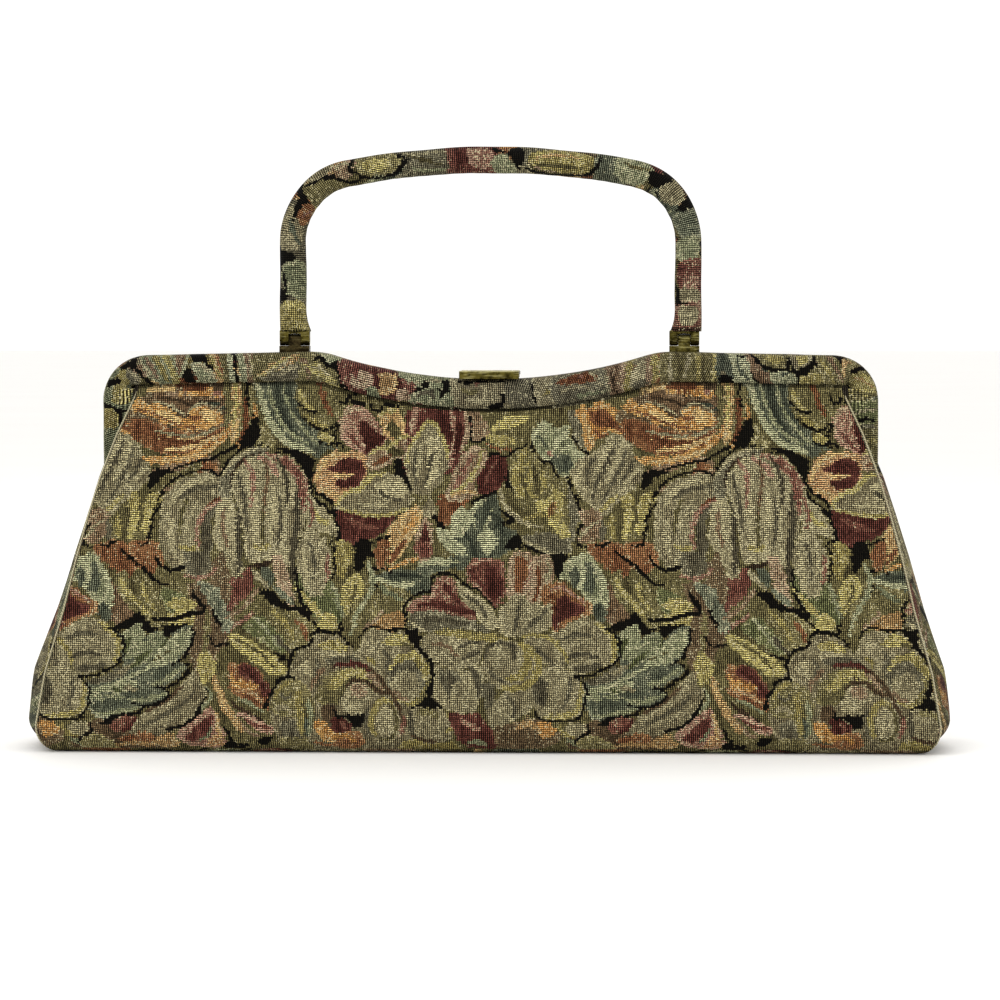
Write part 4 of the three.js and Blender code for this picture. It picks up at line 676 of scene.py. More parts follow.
flameFlower = [
    ("rust", 1.5, [(-129, 44), (-124, 44), (-117, 44), (-111, 38), (-107, 30), (-108, 22), (-116, 23),
                   (-124, 27), (-128, 32)]),
    ("wine", 0.8, [(-123, 44), (-117, 43), (-112, 38), (-108, 32), (-107, 26), (-112, 29), (-117, 36),
                   (-123, 39)]),
    ("orange", 1.9, [(-128, 41), (-126, 37), (-120, 36), (-114, 33), (-119, 31), (-126, 30)]),
    ("wine", 0.5, 2.0, [(-121, 41), (-115, 37), (-110, 30)]),
    ("rust", 2.4, 2.2, [(-126, 31), (-118, 30), (-110, 24)]),
    ("sage", 2.0, 1.8, [(-124, 27), (-118, 25), (-111, 20)]),
    ("brown", 0.4, 2.2, [(-127, 25), (-120, 20), (-112, 16)]),
    ("rose", 2.5, [(-126, 21), (-118, 19), (-110, 15), (-102, 13), (-103, 10), (-110, 10), (-117, 13),
                   (-122, 17)]),
    ("rose", 1.2, 1.4, [(-121, 17), (-114, 13.5), (-106, 12)]),
    ("tan", 2.0, 1.8, [(-125, 17), (-119, 11), (-113, 8)]),
    ("gold", 2.2, 3.4, [(-137, 39), (-134, 32), (-132, 26), (-129, 21), (-125, 15), (-121, 10)]),
    ("gold", 2.9, 1.4, [(-136, 36), (-133, 29), (-130, 22)]),
    ("sage", 2.0, 2.2, [(-139, 32), (-138, 27), (-142, 22), (-148, 18)]),
    ("rose", 2.2, [(-154, 8), (-151, 14), (-145, 18), (-138, 22.5), (-134, 18), (-131, 10), (-130, 2),
                   (-140, 1), (-149, 3)]),
    ("wine", 0.7, [(-151, 8), (-145, 13), (-137, 19), (-137, 12), (-142, 7), (-148, 5)]),
    ("rust", 2.5, [(-139, 6), (-134, 9), (-131, 3), (-139, 2)]),
    ("gold", 2.3, 2.0, [(-135, 20), (-134, 13), (-132, 6)]),
    ("sage", 1.5, 1.5, [(-137, 13), (-139, 9), (-143, 5)]),
    ("yellow", 2.2, [(-145, 45), (-142, 50), (-138, 49), (-135, 43), (-137, 38), (-140, 34), (-144, 38)]),
    ("olive", 1.7, 3.0, [(-140, 70), (-140, 60), (-141, 50)]),
    ("yellow", 2.3, [(-130, 59), (-124, 58.5), (-118, 55), (-112, 51), (-107, 48), (-102, 44), (-98, 40),
                     (-106, 39), (-114, 44), (-122, 49), (-127, 53)]),
    ("olive", 0.9, 1.4, [(-126, 56), (-116, 51), (-106, 43)]),
    ("rose", 2.2, 2.0, [(-131, 60), (-124, 64), (-117, 69)]),
    ("green", 1.5, [(-122, 62), (-114, 68), (-107, 62), (-99, 52), (-104, 49), (-112, 54)]),
    ("sage", 2.1, 1.8, [(-116, 67), (-110, 60), (-104, 52)]),
    ("olive", 1.6, [(-112, 76), (-102, 73), (-90, 66), (-86, 58), (-90, 52), (-98, 50), (-104, 60)]),
    ("yellow", 2.0, 2.4, [(-108, 71), (-101, 64), (-96, 55)]),
    ("rust", 1.5, 2.4, [(-96, 66), (-91, 60), (-89, 54)]),
    ("grey", 1.2, 2.0, [(-106, 58), (-101, 52), (-96, 49)]),
    ("ground", 0, 1.6, [(-139, 58), (-137, 53.5), (-131, 53), (-128, 54)]),
    ("ground", 0, 1.5, [(-139, 33), (-141, 28), (-144, 22), (-148, 18)]),
    ("ground", 0, 1.7, [(-131, 13), (-128, 8), (-126, 4), (-120, 3)]),
    ("ground", 0, [(-130, 5), (-124, 3), (-119, 4), (-122, -1), (-130, -1)]),
    ("ground", 0, [(-114, 5), (-111, 8), (-107, 7), (-110, 3)]),
    ("ground", 0, 1.5, [(-107, 49), (-102, 47), (-99, 46), (-98, 41)]),
    ("ground", 0, 1.5, [(-110, 22), (-107, 26), (-106, 32)]),
]

lowerLeaves = [
    ("sage", 2.2, [(36, 87), (38, 94), (43, 98), (50, 99.5), (55, 94), (59, 86), (61, 77), (58, 71),
                   (53, 73), (48, 79), (43, 84)]),
    ("teal", 0.6, [(43, 93), (46, 88), (44, 82), (42, 87)]),
    ("teal", 0.8, [(50, 95), (54, 88), (53, 80), (48, 81), (49, 88)]),
    ("sage", 2.9, 2.0, [(46, 97), (48, 89), (46, 82)]),
    ("sage", 2.8, 2.0, [(55, 92), (58, 84), (56, 75)]),
    ("teal", 0.7, [(53, 73), (57, 74), (60, 68), (58, 64), (54, 67)]),
    ("olive", 1.5, [(61, 86), (66, 91), (70, 86), (74, 86), (79, 84), (84, 73), (85, 65), (80, 61),
                    (74, 67), (66, 76)]),
    ("yellow", 2.3, 2.6, [(64, 87), (67, 80), (73, 74), (80, 66)]),
    ("olive", 0.5, 2.2, [(69, 87), (71, 79)]),
    ("yellow", 2.3, 2.2, [(75, 84), (77, 77), (82, 70)]),
    ("yellow", 2.1, [(88, 68), (95, 71), (102, 68), (100, 63), (91, 62)]),
    ("green", 1.4, [(84, 82), (92, 80), (98, 76), (96, 71), (88, 70)]),
    ("ground", 0, 1.9, [(63, 101), (68, 97), (74, 93), (79, 88), (84, 84), (90, 83)]),
    ("ground", 0, [(60, 61), (68, 66), (74, 69), (78, 64), (84, 60), (92, 62), (99, 61), (90, 58), (80, 58),
                   (70, 61)]),
]

topPetals = [
    ("olive", 1.4, [(-72, 176), (-60, 184), (-44, 188), (-30, 184), (-26, 176), (-44, 173)]),
    ("yellow", 2.2, 2.6, [(-66, 178), (-52, 183), (-36, 183)]),
    ("sage", 1.9, [(-26, 176), (-20, 186), (-8, 192), (2, 188), (2, 178), (-10, 173)]),
    ("teal", 0.6, 2.4, [(-20, 178), (-12, 183), (-3, 187)]),
    ("sage", 2.7, 2.0, [(-22, 181), (-14, 188), (-5, 191)]),
    ("wine", 0.8, [(2, 180), (8, 190), (20, 193), (28, 186), (24, 177), (10, 173)]),
    ("rose", 2.3, 2.2, [(6, 184), (14, 190), (24, 188)]),
    ("cream", 2.0, [(26, 178), (32, 190), (46, 194), (62, 190), (64, 180), (48, 176), (36, 174)]),
    ("grey", 1.0, 1.8, [(32, 180), (44, 184), (58, 184)]),
    ("cream", 2.8, 2.0, [(34, 186), (46, 189), (58, 188)]),
    ("rust", 1.3, [(-80, 190), (-68, 186), (-54, 190), (-60, 196), (-76, 196)]),
    ("tan", 1.8, [(62, 190), (76, 186), (88, 190), (80, 196), (66, 196)]),
    ("ground", 0, 1.6, [(-74, 176), (-58, 186), (-42, 190), (-28, 186), (-20, 190), (-8, 194)]),
    ("ground", 0, 1.6, [(4, 182), (3, 190), (14, 194), (28, 190), (30, 182), (36, 192)]),
]

chartMotifs = [groundPatches, topPetals, upperLeaves, orangeRose, lowerLeaves, tealSprays, flameFlower,
               creamRoses, acanthus, peony, lily, tulip]
# The front of the frame is another cut of the cloth. x and y are the front panel's stitches.
frameFlowers = [
    ("sage", 1.6, [(-198, 138), (-183, 138), (-181, 180), (-186, 190), (-198, 188)]),
    ("yellow", 1.9, [(-192, 181), (-190, 187), (-186, 191), (-182, 189), (-181, 184), (-184, 180),
                     (-186, 172), (-191, 172)]),
    ("grey", 1.6, [(-184, 189), (-181, 190), (-176, 184), (-177, 180), (-180, 181), (-183, 184)]),
    ("cream", 2.3, 1.5, [(-183, 189), (-178, 185.5), (-176, 182)]),
    ("ground", 0, [(-196, 185), (-188, 184.5), (-190, 182), (-196, 180)]),
    ("ground", 0, [(-190, 191), (-182, 196), (-177, 199), (-178, 192), (-174, 186), (-170, 181.5),
                   (-166, 178), (-168, 175), (-172, 180), (-177, 187), (-181, 190.5)]),
    ("ground", 0, [(-197, 172), (-190, 170), (-187, 168), (-188, 166.5), (-196, 168.5)]),
    ("yellow", 1.6, [(-197, 168), (-189, 167), (-188, 160), (-197, 159)]),
    ("ground", 0, 1.5, [(-188, 168), (-187.5, 164), (-187, 160)]),
    ("sage", 1.7, [(-177, 204), (-164, 204), (-160, 190), (-157, 182), (-166, 181), (-171, 185),
                   (-175, 190)]),
    ("cream", 2.2, 1.6, [(-176, 194), (-173, 189), (-169, 184)]),
    ("tan", 2.0, 2.2, [(-174, 196), (-170, 190), (-167, 184)]),
    ("yellow", 1.8, 2.4, [(-170, 199), (-166, 191), (-162, 183)]),
    ("yellow", 2.1, [(-167, 204), (-163, 204), (-158, 188), (-157, 182), (-160, 182), (-162, 190)]),
    ("sage", 2.0, [(-163, 204), (-158, 204), (-155, 190), (-153, 185), (-157, 187)]),
    ("tan", 1.2, [(-158, 204), (-152, 204), (-154, 190), (-156, 185), (-158, 190)]),
    ("sage", 2.3, 1.8, [(-152, 200), (-153, 192), (-156, 185)]),
    ("ground", 0, [(-150, 204), (-144, 204), (-142, 194), (-137, 189), (-141, 189.5), (-145, 193),
                   (-150, 194)]),
    ("ground", 0, [(-153, 190), (-150.5, 190), (-149, 186), (-147, 182), (-152, 182), (-155, 185)]),
    ("sage", 2.2, [(-151, 192), (-146, 193), (-141, 189.5), (-137, 185), (-139, 181), (-147, 182),
                   (-149, 188)]),
    ("cream", 2.4, 1.4, [(-150, 192.5), (-145, 191), (-140, 187), (-137, 184)]),
    ("gold", 1.9, [(-143, 204), (-139, 204), (-135, 190), (-133, 182), (-137, 182), (-139, 190)]),
    ("yellow", 2.1, 1.6, [(-141, 199), (-138, 191), (-134, 184)]),
    ("olive", 1.2, [(-139, 204), (-133, 204), (-131, 190), (-131, 182), (-134, 182), (-135, 190)]),
    ("rust", 1.4, 1.3, [(-138, 200), (-136, 192), (-134, 186)]),
    ("sage", 2.2, [(-133, 204), (-130, 204), (-128, 190), (-127, 182), (-131, 182), (-131, 190)]),
    ("ground", 0, [(-130, 204), (-127.5, 204), (-126.5, 190), (-125.5, 182), (-128, 182), (-129, 190)]),
    ("sage", 1.9, [(-127, 204), (-124, 204), (-122, 190), (-122, 182), (-125.5, 182), (-126, 190)]),
    ("tan", 1.5, [(-124, 204), (-116, 204), (-117, 190), (-119, 182), (-122, 182), (-122, 190)]),
    ("cream", 2.2, 1.2, [(-121, 199), (-120, 190), (-121, 184)]),
    ("olive", 1.4, [(-117, 204), (-96, 204), (-92, 190), (-100, 181), (-118, 182)]),
    ("gold", 2.0, [(-118, 185), (-112, 190), (-104, 195), (-97, 199), (-92, 196), (-100, 192),
                   (-108, 188)]),
    ("yellow", 2.5, 1.4, [(-117, 185), (-110, 189.5), (-103, 194), (-95, 197)]),
    ("grey", 1.5, [(-116, 184), (-108, 187.5), (-100, 191.5), (-94, 193), (-96, 182), (-104, 182)]),
    ("cream", 2.3, 1.6, [(-112, 187.5), (-106, 190.5), (-100, 194)]),
    ("cream", 2.2, 2.0, [(-106, 185.5), (-101, 189), (-96, 191.5)]),
    ("olive", 1.5, [(-98, 204), (-88, 204), (-84, 194), (-82, 188), (-86, 180), (-98, 181), (-95, 190)]),
    ("tan", 1.6, 1.6, [(-95, 195), (-91, 190), (-91, 184)]),
    ("yellow", 2.2, [(-92, 191), (-87, 192), (-82, 188), (-77, 183), (-75, 179), (-80, 180), (-85, 185),
                     (-90, 189)]),
    ("cream", 2.6, 1.2, [(-90, 191), (-84, 189.5), (-79, 184.5)]),
    ("sage", 2.2, [(-88, 203), (-74, 201), (-71, 194), (-76, 192), (-82, 193)]),
    ("ground", 0, 2.2, [(-89, 193), (-85, 196), (-82, 192), (-78, 191), (-74, 194), (-70, 196)]),
    ("ground", 0, [(-80, 191), (-75, 193), (-74, 187), (-72, 182), (-69, 177), (-73, 177), (-76, 183),
                   (-77, 188)]),
    ("wine", 1.3, [(-75, 193), (-70, 202), (-52, 198), (-38, 194), (-37, 182), (-42, 173), (-60, 174),
                   (-71, 178), (-75, 186)]),
    ("tan", 2.0, [(-71, 186), (-68, 187), (-66, 183), (-66, 180), (-69, 180)]),
    ("tan", 2.1, [(-66, 188), (-62, 189), (-59, 186), (-59, 180), (-64, 178), (-66, 183)]),
    ("gold", 2.0, [(-56, 186), (-51, 188), (-47, 187), (-46, 180), (-50, 176), (-56, 177)]),
    ("tan", 2.2, [(-46, 180), (-42, 180), (-40, 174), (-46, 173)]),
    ("wine", 0.4, 2.0, [(-58, 189), (-56, 183), (-57, 178)]),
    ("wine", 0.5, 1.6, [(-46, 188), (-45, 182), (-47, 177)]),
    ("sage", 1.6, [(-62, 180), (-58, 180), (-55, 174), (-61, 174)]),
    ("sage", 1.9, [(-46, 196), (-38, 194), (-37, 184), (-41, 184), (-45, 186)]),
    ("sage", 1.9, [(-38, 194), (-16, 192), (-16, 170), (-40, 172), (-37, 180)]),
    ("cream", 2.3, 1.4, [(-37, 184), (-34, 182), (-30, 184), (-24, 184)]),
    ("grey", 1.2, 2.0, [(-36, 176), (-30, 178), (-27, 174)]),
    ("ground", 0, 2.0, [(-38, 179), (-34, 179.5), (-32, 183), (-30, 180)]),
    ("ground", 0, [(-24, 183), (-21, 184.5), (-19.5, 180), (-19, 177.5), (-22, 177), (-24, 175), (-25, 178),
                   (-27, 179.5), (-23.5, 179.5)]),
    ("cream", 1.7, [(-18, 192), (9, 192), (9, 168), (-12, 168), (-18, 172)]),
    ("olive", 1.5, 2.2, [(-15, 181), (-10, 177), (-5, 179)]),
    ("cream", 2.5, 1.6, [(-12, 175), (-5, 173), (2, 175)]),
    ("rose", 1.5, 1.8, [(-9, 183), (-5, 182)]),
    # painted shadow under the clasp
    ("ground", 0, 1.8, [(-16, 183.5), (-10, 183), (-5, 184), (0, 183.5), (5, 184), (12, 183.5), (17, 184)]),
    ("ground", 0, [(6, 177), (9, 178), (8, 174), (6, 169), (0, 168.5), (0, 170.5), (5, 172.5), (6, 175)]),
    ("grey", 1.5, [(9, 192), (21, 192), (24, 169), (10, 168)]),
    ("cream", 1.7, [(22, 192), (34, 194), (34, 170), (25, 169)]),
    ("ground", 0, 1.3, [(21, 184), (22, 178), (24, 172)]),
    ("yellow", 1.6, 1.8, [(28, 177), (33, 179), (38, 176)]),
    ("grey", 1.6, [(34, 194), (60, 198), (63, 172), (34, 170)]),
    ("rust", 0.9, [(31, 183), (40, 186), (47, 189), (52, 188), (55, 183), (48, 182.5), (40, 181.5),
                   (34, 182)]),
    ("rose", 2.0, 1.4, [(44, 185), (47, 186.5)]),
    ("cream", 2.3, 1.6, [(50, 189), (53, 185.5), (57, 180)]),
    ("cream", 2.1, 1.5, [(36, 178), (44, 180.5), (52, 180)]),
    ("sage", 1.5, 2.0, [(44, 175), (52, 177), (58, 178)]),
    ("tan", 1.5, [(58, 198), (66, 199), (67, 178), (62, 174), (60, 184)]),
    ("brown", 0.3, 1.4, [(61, 190), (62, 184), (64, 176)]),
    ("cream", 2.3, 1.3, [(58, 191), (59, 184), (61, 176)]),
    ("tan", 1.6, [(66, 200), (70, 200), (70, 177), (67, 177)]),
    ("yellow", 1.9, [(69, 200), (73, 200), (71, 178), (68, 178)]),
    ("cream", 2.0, [(71, 186), (75, 192), (79, 194), (79, 186), (75, 182), (71, 180)]),
    ("cream", 2.7, 1.1, [(71, 183), (75, 187), (79, 190)]),
    ("cream", 2.6, 1.1, [(72, 187), (75, 190), (78, 193)]),
    ("grey", 1.3, [(73, 182), (79, 185), (80, 179), (74, 178)]),
    ("tan", 1.5, [(79, 202), (82, 203), (82, 180), (79, 179)]),
    ("yellow", 1.8, [(82, 203), (85, 203), (84, 180), (82, 180)]),
    ("rust", 1.3, [(85, 203), (89, 203), (88, 180), (85, 180)]),
    ("olive", 1.7, [(89, 203), (114, 203), (114, 180), (88, 180)]),
    ("cream", 2.3, 2.0, [(92, 200), (91, 190), (91, 182)]),
    ("cream", 2.2, 1.6, [(101, 199), (99, 191), (98, 185)]),
    ("olive", 0.8, 2.4, [(95, 200), (96, 190), (95, 182)]),
    ("yellow", 1.9, 2.2, [(104, 200), (105, 190), (105, 182)]),
    ("olive", 0.9, 2.0, [(108, 200), (107, 190), (108, 182)]),
    ("yellow", 2.3, 2.2, [(113, 200), (113, 190), (112, 182)]),
    ("teal", 0.8, [(114, 203), (120, 203), (122, 190), (123, 180), (115, 180)]),
    ("ground", 0, [(116, 186), (119, 187), (123, 184), (122, 180), (116, 180)]),
    ("cream", 2.0, 1.6, [(116, 189), (119, 187)]),
    ("sage", 2.3, [(119, 203), (127, 203), (131, 190), (136, 180), (124, 180), (122, 189)]),
    ("teal", 1.1, 1.4, [(124, 196), (126, 189), (131, 183)]),
    ("tan", 1.5, [(127, 203), (132, 203), (137, 190), (144, 188), (145, 180), (136, 180), (131, 190)]),
    ("ground", 0, 1.8, [(123, 197), (130, 196)]),
    ("ground", 0, 1.3, [(131, 189), (133, 185), (136, 181)]),
    ("olive", 1.8, [(132, 203), (150, 203), (150, 192), (146, 189), (138, 190)]),
    ("yellow", 2.1, [(137, 198), (146, 198), (147, 193), (141, 192)]),
    ("ground", 0, 2.2, [(130, 199), (135, 193), (140, 190), (146, 189), (150, 190), (150, 197)]),
    ("cream", 1.9, [(151, 203), (163, 203), (161, 192), (157, 189.5), (152, 191)]),
    ("yellow", 2.1, [(154, 197), (160, 197), (159, 192), (155, 192)]),
    ("sage", 2.0, [(141, 187), (149, 189), (154, 185), (155, 180), (144, 180)]),
    ("teal", 0.9, 1.6, [(146, 186), (150, 187.5)]),
    ("yellow", 1.9, [(156, 184), (160, 188), (167, 188), (171, 185), (165, 180), (157, 180)]),
    ("olive", 1.7, [(163, 203), (178, 201), (180, 190), (180, 178), (170, 180), (166, 190)]),
    ("ground", 0, [(150, 198), (151, 191), (155, 188.5), (158, 186), (163, 189.5), (165, 190), (163, 197),
                   (161, 192), (157, 189.5), (153, 190)]),
    ("ground", 0, 1.7, [(150, 189), (155, 187), (155.5, 180)]),
    ("tan", 1.6, 2.0, [(170, 198), (174, 190), (178, 182)]),
    ("yellow", 2.1, 1.6, [(166, 195), (170, 189), (174, 181)]),
    ("ground", 0, [(173, 199), (180, 197), (180, 191.5), (177, 192)]),
    ("gold", 1.7, [(178, 196), (184, 194), (184, 189), (180, 186), (177, 190)]),
    ("olive", 1.5, [(179, 190), (188, 196), (198, 192), (198, 172), (187, 171), (180, 175)]),
    ("yellow", 2.1, [(182, 186), (187, 189), (196, 185), (196, 178), (188, 175), (182, 178)]),
    ("gold", 2.2, 1.8, [(184, 186), (189, 184), (195, 180)]),
    ("ground", 0, [(182, 188), (185, 191), (191, 194), (192, 191), (187, 189.5), (184, 187.5)]),
    ("yellow", 2.5, 1.5, [(181, 184), (187, 180), (195, 179)]),
    ("olive", 1.2, 1.3, [(180, 180), (186, 177), (194, 176)]),
    ("teal", 1.5, [(180, 174), (186, 172), (198, 176), (198, 170), (184, 168)]),
    ("olive", 1.5, [(182, 168), (198, 171), (198, 138), (186, 138)]),
    ("green", 1.6, [(181, 171), (198, 173), (198, 164), (183, 160)]),
    ("grey", 1.9, 1.6, [(184, 157), (190, 160), (197, 159)]),
    ("yellow", 1.9, 1.4, [(186, 150), (191, 153), (197, 152)]),
    ("cream", 2.4, 1.3, [(184, 166), (190, 168), (196, 168.5)]),
    ("ground", 0, 1.5, [(186, 162), (190, 164), (195, 162)]),
]

# The handle's cover: x runs from its left end over the top to its right end,
# y from its front up to its outer side
handleFlowers = [
    ("grey", 1.5, [(16, -14), (60, -14), (60, 14), (14, 14)]),
    ("yellow", 2.3, [(-3, -14), (9, -14), (14, -8), (16, 0), (13, 8), (9, 14), (-3, 14)]),
    ("ground", 0, [(12, 11), (20, 12), (22, 5), (20, 1), (17, 2), (15, 7)]),
    ("sage", 1.7, [(22, 4), (30, 7), (34, 3), (36, -3), (30, -12), (18, -12), (17, -2)]),
    ("ground", 0, 1.8, [(20, 3), (24, 3), (29, 4.5), (33, 8)]),
    ("ground", 0, [(33, 10), (43, 10), (41, 3), (38, -2), (36, -1), (34, 4)]),
    ("cream", 1.8, [(42, 8), (56, 8), (62, 3), (58, -4), (46, -6), (41, 0)]),
    ("teal", 1.2, 2.0, [(44, -4), (50, -1), (57, 2)]),
    ("rust", 1.3, [(57, -1), (62, 1), (67, -3), (67, -9), (60, -11), (56, -6)]),
    ("rose", 2.1, 1.6, [(59, -3), (62, -5), (64, -8)]),
    ("olive", 1.6, [(72, 6), (84, 2), (90, -4), (86, -12), (70, -12), (69, -3)]),
    ("cream", 1.9, [(72, 10), (86, 10), (88, 5), (84, 2), (77, 3)]),
    ("ground", 0, [(56, 0), (62, 2), (67, 4), (69, 11), (73, 10), (70, 1), (67, -4), (66, -1)]),
    ("tan", 2.0, [(86, 4), (92, 7), (97, 5), (97, 0), (92, -3), (87, -1)]),
    ("cream", 2.4, 1.4, [(88, 3), (92, 5), (96, 3)]),
    ("ground", 0, 1.8, [(71, 6), (77, 2), (84, 1), (89, -3), (95, -6)]),
    ("olive", 1.8, [(98, 11), (112, 11), (120, 5), (122, 0), (116, -4), (106, -4), (100, -1)]),
    ("yellow", 2.3, [(102, 4), (110, 5), (116, 2), (112, -1), (104, -1)]),
    ("ground", 0, 2.0, [(98, 12), (97, 5), (95, 1), (100, -2)]),
    ("grey", 1.5, [(120, 12), (146, 12), (146, -12), (118, -12), (123, 0)]),
    ("ground", 0, 2.2, [(99, -2), (104, -5), (112, -5.5), (119, -4), (122, 0), (126, 2)]),
    ("cream", 2.2, 1.6, [(122, 6), (130, 4), (140, 5), (146, 4)]),
    ("olive", 0.6, 1.4, [(124, 4), (132, 1), (142, -2)]),
    ("sage", 2.1, 1.8, [(126, -3), (134, -5), (144, -5)]),
    ("wine", 1.2, [(146, 12), (169, 12), (170, 0), (167, -12), (147, -12), (145, 0)]),
    ("rose", 2.2, [(156, 6), (166, 5), (167, -3), (160, -5), (156, 0)]),
    ("wine", 0.4, 1.6, [(150, 9), (151, 0), (150, -8)]),
    ("sage", 2.0, [(168, 1), (173, 2), (178, -2), (180, -10), (170, -10), (167, -4)]),
    ("grey", 1.5, [(182, 12), (200, 12), (196, 5), (188, 3), (183, -4)]),
    ("ground", 0, [(168, 7), (174, 4), (181, 9), (184, 2), (181, -5), (177, 0), (172, 3), (169, 3)]),
    ("yellow", 1.9, [(188, 4), (198, 7), (210, 7), (219, 2), (216, -4), (204, -6), (192, -4), (186, 0)]),
    ("gold", 2.5, 1.6, [(190, 1), (200, 3), (212, 2)]),
    ("olive", 0.9, 1.6, [(190, -2), (202, -2), (214, -2)]),
    ("teal", 1.3, [(222, 12), (236, 12), (236, -12), (220, -12)]),
    ("ground", 0, 2.2, [(184, -4), (192, -7), (204, -8), (215, -6), (221, 0), (222, 7)]),
    ("sage", 2.1, [(232, 8), (244, 9), (247, 0), (242, -8), (234, -6), (230, 0)]),
    ("olive", 1.3, 1.6, [(234, 4), (240, 2), (246, 3)]),
    ("cream", 1.8, [(257, 8), (265, 6), (267, -1), (262, -6), (256, -3)]),
    ("ground", 0, [(246, 3), (252, 5), (253, 12), (258, 12), (257, 4), (255, -2), (250, -3), (247, -1)]),
    ("ground", 0, 1.8, [(254, -4), (258, -8)]),
    ("teal", 1.7, [(272, 8), (285, 9), (286, -4), (274, -8), (271, -2)]),
    ("ground", 0, [(266, 12), (273, 11), (272, 3), (270, -3), (267, 2)]),
    ("sage", 2.0, [(286, 5), (296, 4), (297, -5), (289, -8), (285, -2)]),
    ("ground", 0, [(285, 11), (292, 11), (289, 6)]),
    ("ground", 0, 1.6, [(284, -10), (287, -6)]),
    ("wine", 1.4, [(296, 11), (312, 10), (313, -2), (306, -7), (297, -5)]),
    ("rose", 2.2, [(304, 5), (311, 4), (311, -2), (305, -3)]),
    ("cream", 1.8, [(312, 6), (318, 6), (318, -4), (311, -4)]),
    ("rose", 1.8, [(319, 12), (334, 12), (334, -12), (319, -12)]),
    ("cream", 2.4, [(320, 4), (326, 5), (330, 0), (325, -6), (320, -4)]),
    ("ground", 0, 2.2, [(309, -8), (313, -6), (318, -8), (318.5, 0)]),
]

# Weaving the chart


def softNoise(rng, x, y, period):
    side = 64
    table = rng.random((side, side))
    u, v = x / period, y / period
    iu, iv = np.floor(u).astype(int), np.floor(v).astype(int)
    fu, fv = u - iu, v - iv
    fu, fv = fu * fu * (3 - 2 * fu), fv * fv * (3 - 2 * fv)
    low = table[iv % side, iu % side] * (1 - fu) + table[iv % side, (iu + 1) % side] * fu
    high = table[(iv + 1) % side, iu % side] * (1 - fu) + table[(iv + 1) % side, (iu + 1) % side] * fu
    return low * (1 - fv) + high * fv


# Smooth curve through given points; an open one keeps its ends
def roundedLine(points, steps, closed):
    here = np.array(points, float)
    if closed:
        before, after, beyond = np.roll(here, 1, 0), np.roll(here, -1, 0), np.roll(here, -2, 0)
    else:
        padded = np.vstack([2 * here[0] - here[1], here, 2 * here[-1] - here[-2]])
        before, here, after, beyond = padded[:-3], padded[1:-2], padded[2:-1], padded[3:]
    stretches = []
    for k in range(steps):
        t = k / steps
        bend = 2 * before - 5 * here + 4 * after - beyond
        twist = 3 * here - before - 3 * after + beyond
        stretches.append(0.5 * (2 * here + (after - before) * t + bend * t * t + twist * t ** 3))
    curve = np.stack(stretches, 1).reshape(-1, 2)
    return curve if closed else np.vstack([curve, after[-1]])


# The stitches around a curve, each with its distance from it and its place along it
def stitchesNear(cloth, curve, closed, margin):
    low = np.floor(curve.min(0) - margin).astype(int)
    high = np.ceil(curve.max(0) + margin).astype(int)
    low[1], high[1] = max(low[1], 0), min(high[1], cloth["code"].shape[0] - 1)
    if high[1] <= low[1]:
        return None
    columns, rows = np.arange(low[0], high[0] + 1), np.arange(low[1], high[1] + 1)
    x, y = np.meshgrid(columns + 0.5, rows + 0.5)
    inside = np.zeros(x.shape, bool)
    depth = np.full(x.shape, np.inf)
    share = np.zeros(x.shape)
    ends = np.roll(curve, -1, 0) if closed else curve[1:]
    for k, ((ax, ay), (bx, by)) in enumerate(zip(curve, ends)):
        if closed and by != ay:
            inside ^= ((ay > y) != (by > y)) & (x < (bx - ax) * (y - ay) / (by - ay) + ax)
        length = max((bx - ax) ** 2 + (by - ay) ** 2, 1e-9)
        t = np.clip(((x - ax) * (bx - ax) + (y - ay) * (by - ay)) / length, 0, 1)
        away = np.hypot(x - ax - t * (bx - ax), y - ay - t * (by - ay))
        share = np.where(away < depth, (k + t) / len(ends), share)
        depth = np.minimum(depth, away)
    return {"columns": columns, "rows": rows, "x": x, "y": y,
            "inside": inside, "depth": depth, "share": share}


def layYarn(cloth, rng, stitches, mask, yarn, tone):
    column = rng.random(len(stitches["columns"])) - 0.5
    grain = rng.standard_normal(stitches["x"].shape)
    tones = np.array(yarnTones[yarn], float)
    tone = tone + clothRepeat["warpTone"] * column[None, :] + clothRepeat["grain"] * grain
    tone = np.clip(tone, 0, len(tones) - 1.001)
    level = tone.astype(int)
    colour = tones[level] + (tone - level)[..., None] * (tones[level + 1] - tones[level])
    # the brightest stitches float as weft dashes, the next are speckled, and the darkest lie in stripes
    code = np.zeros(tone.shape)
    for lowTone, value in clothRepeat["codes"]:
        code = np.where(tone > lowTone, value, code)
    r, c = np.nonzero(mask)
    rows, columns = stitches["rows"][r], stitches["columns"][c] % cloth["code"].shape[1]
    cloth["colour"][rows, columns] = colour[r, c]
    cloth["code"][rows, columns] = code[r, c]


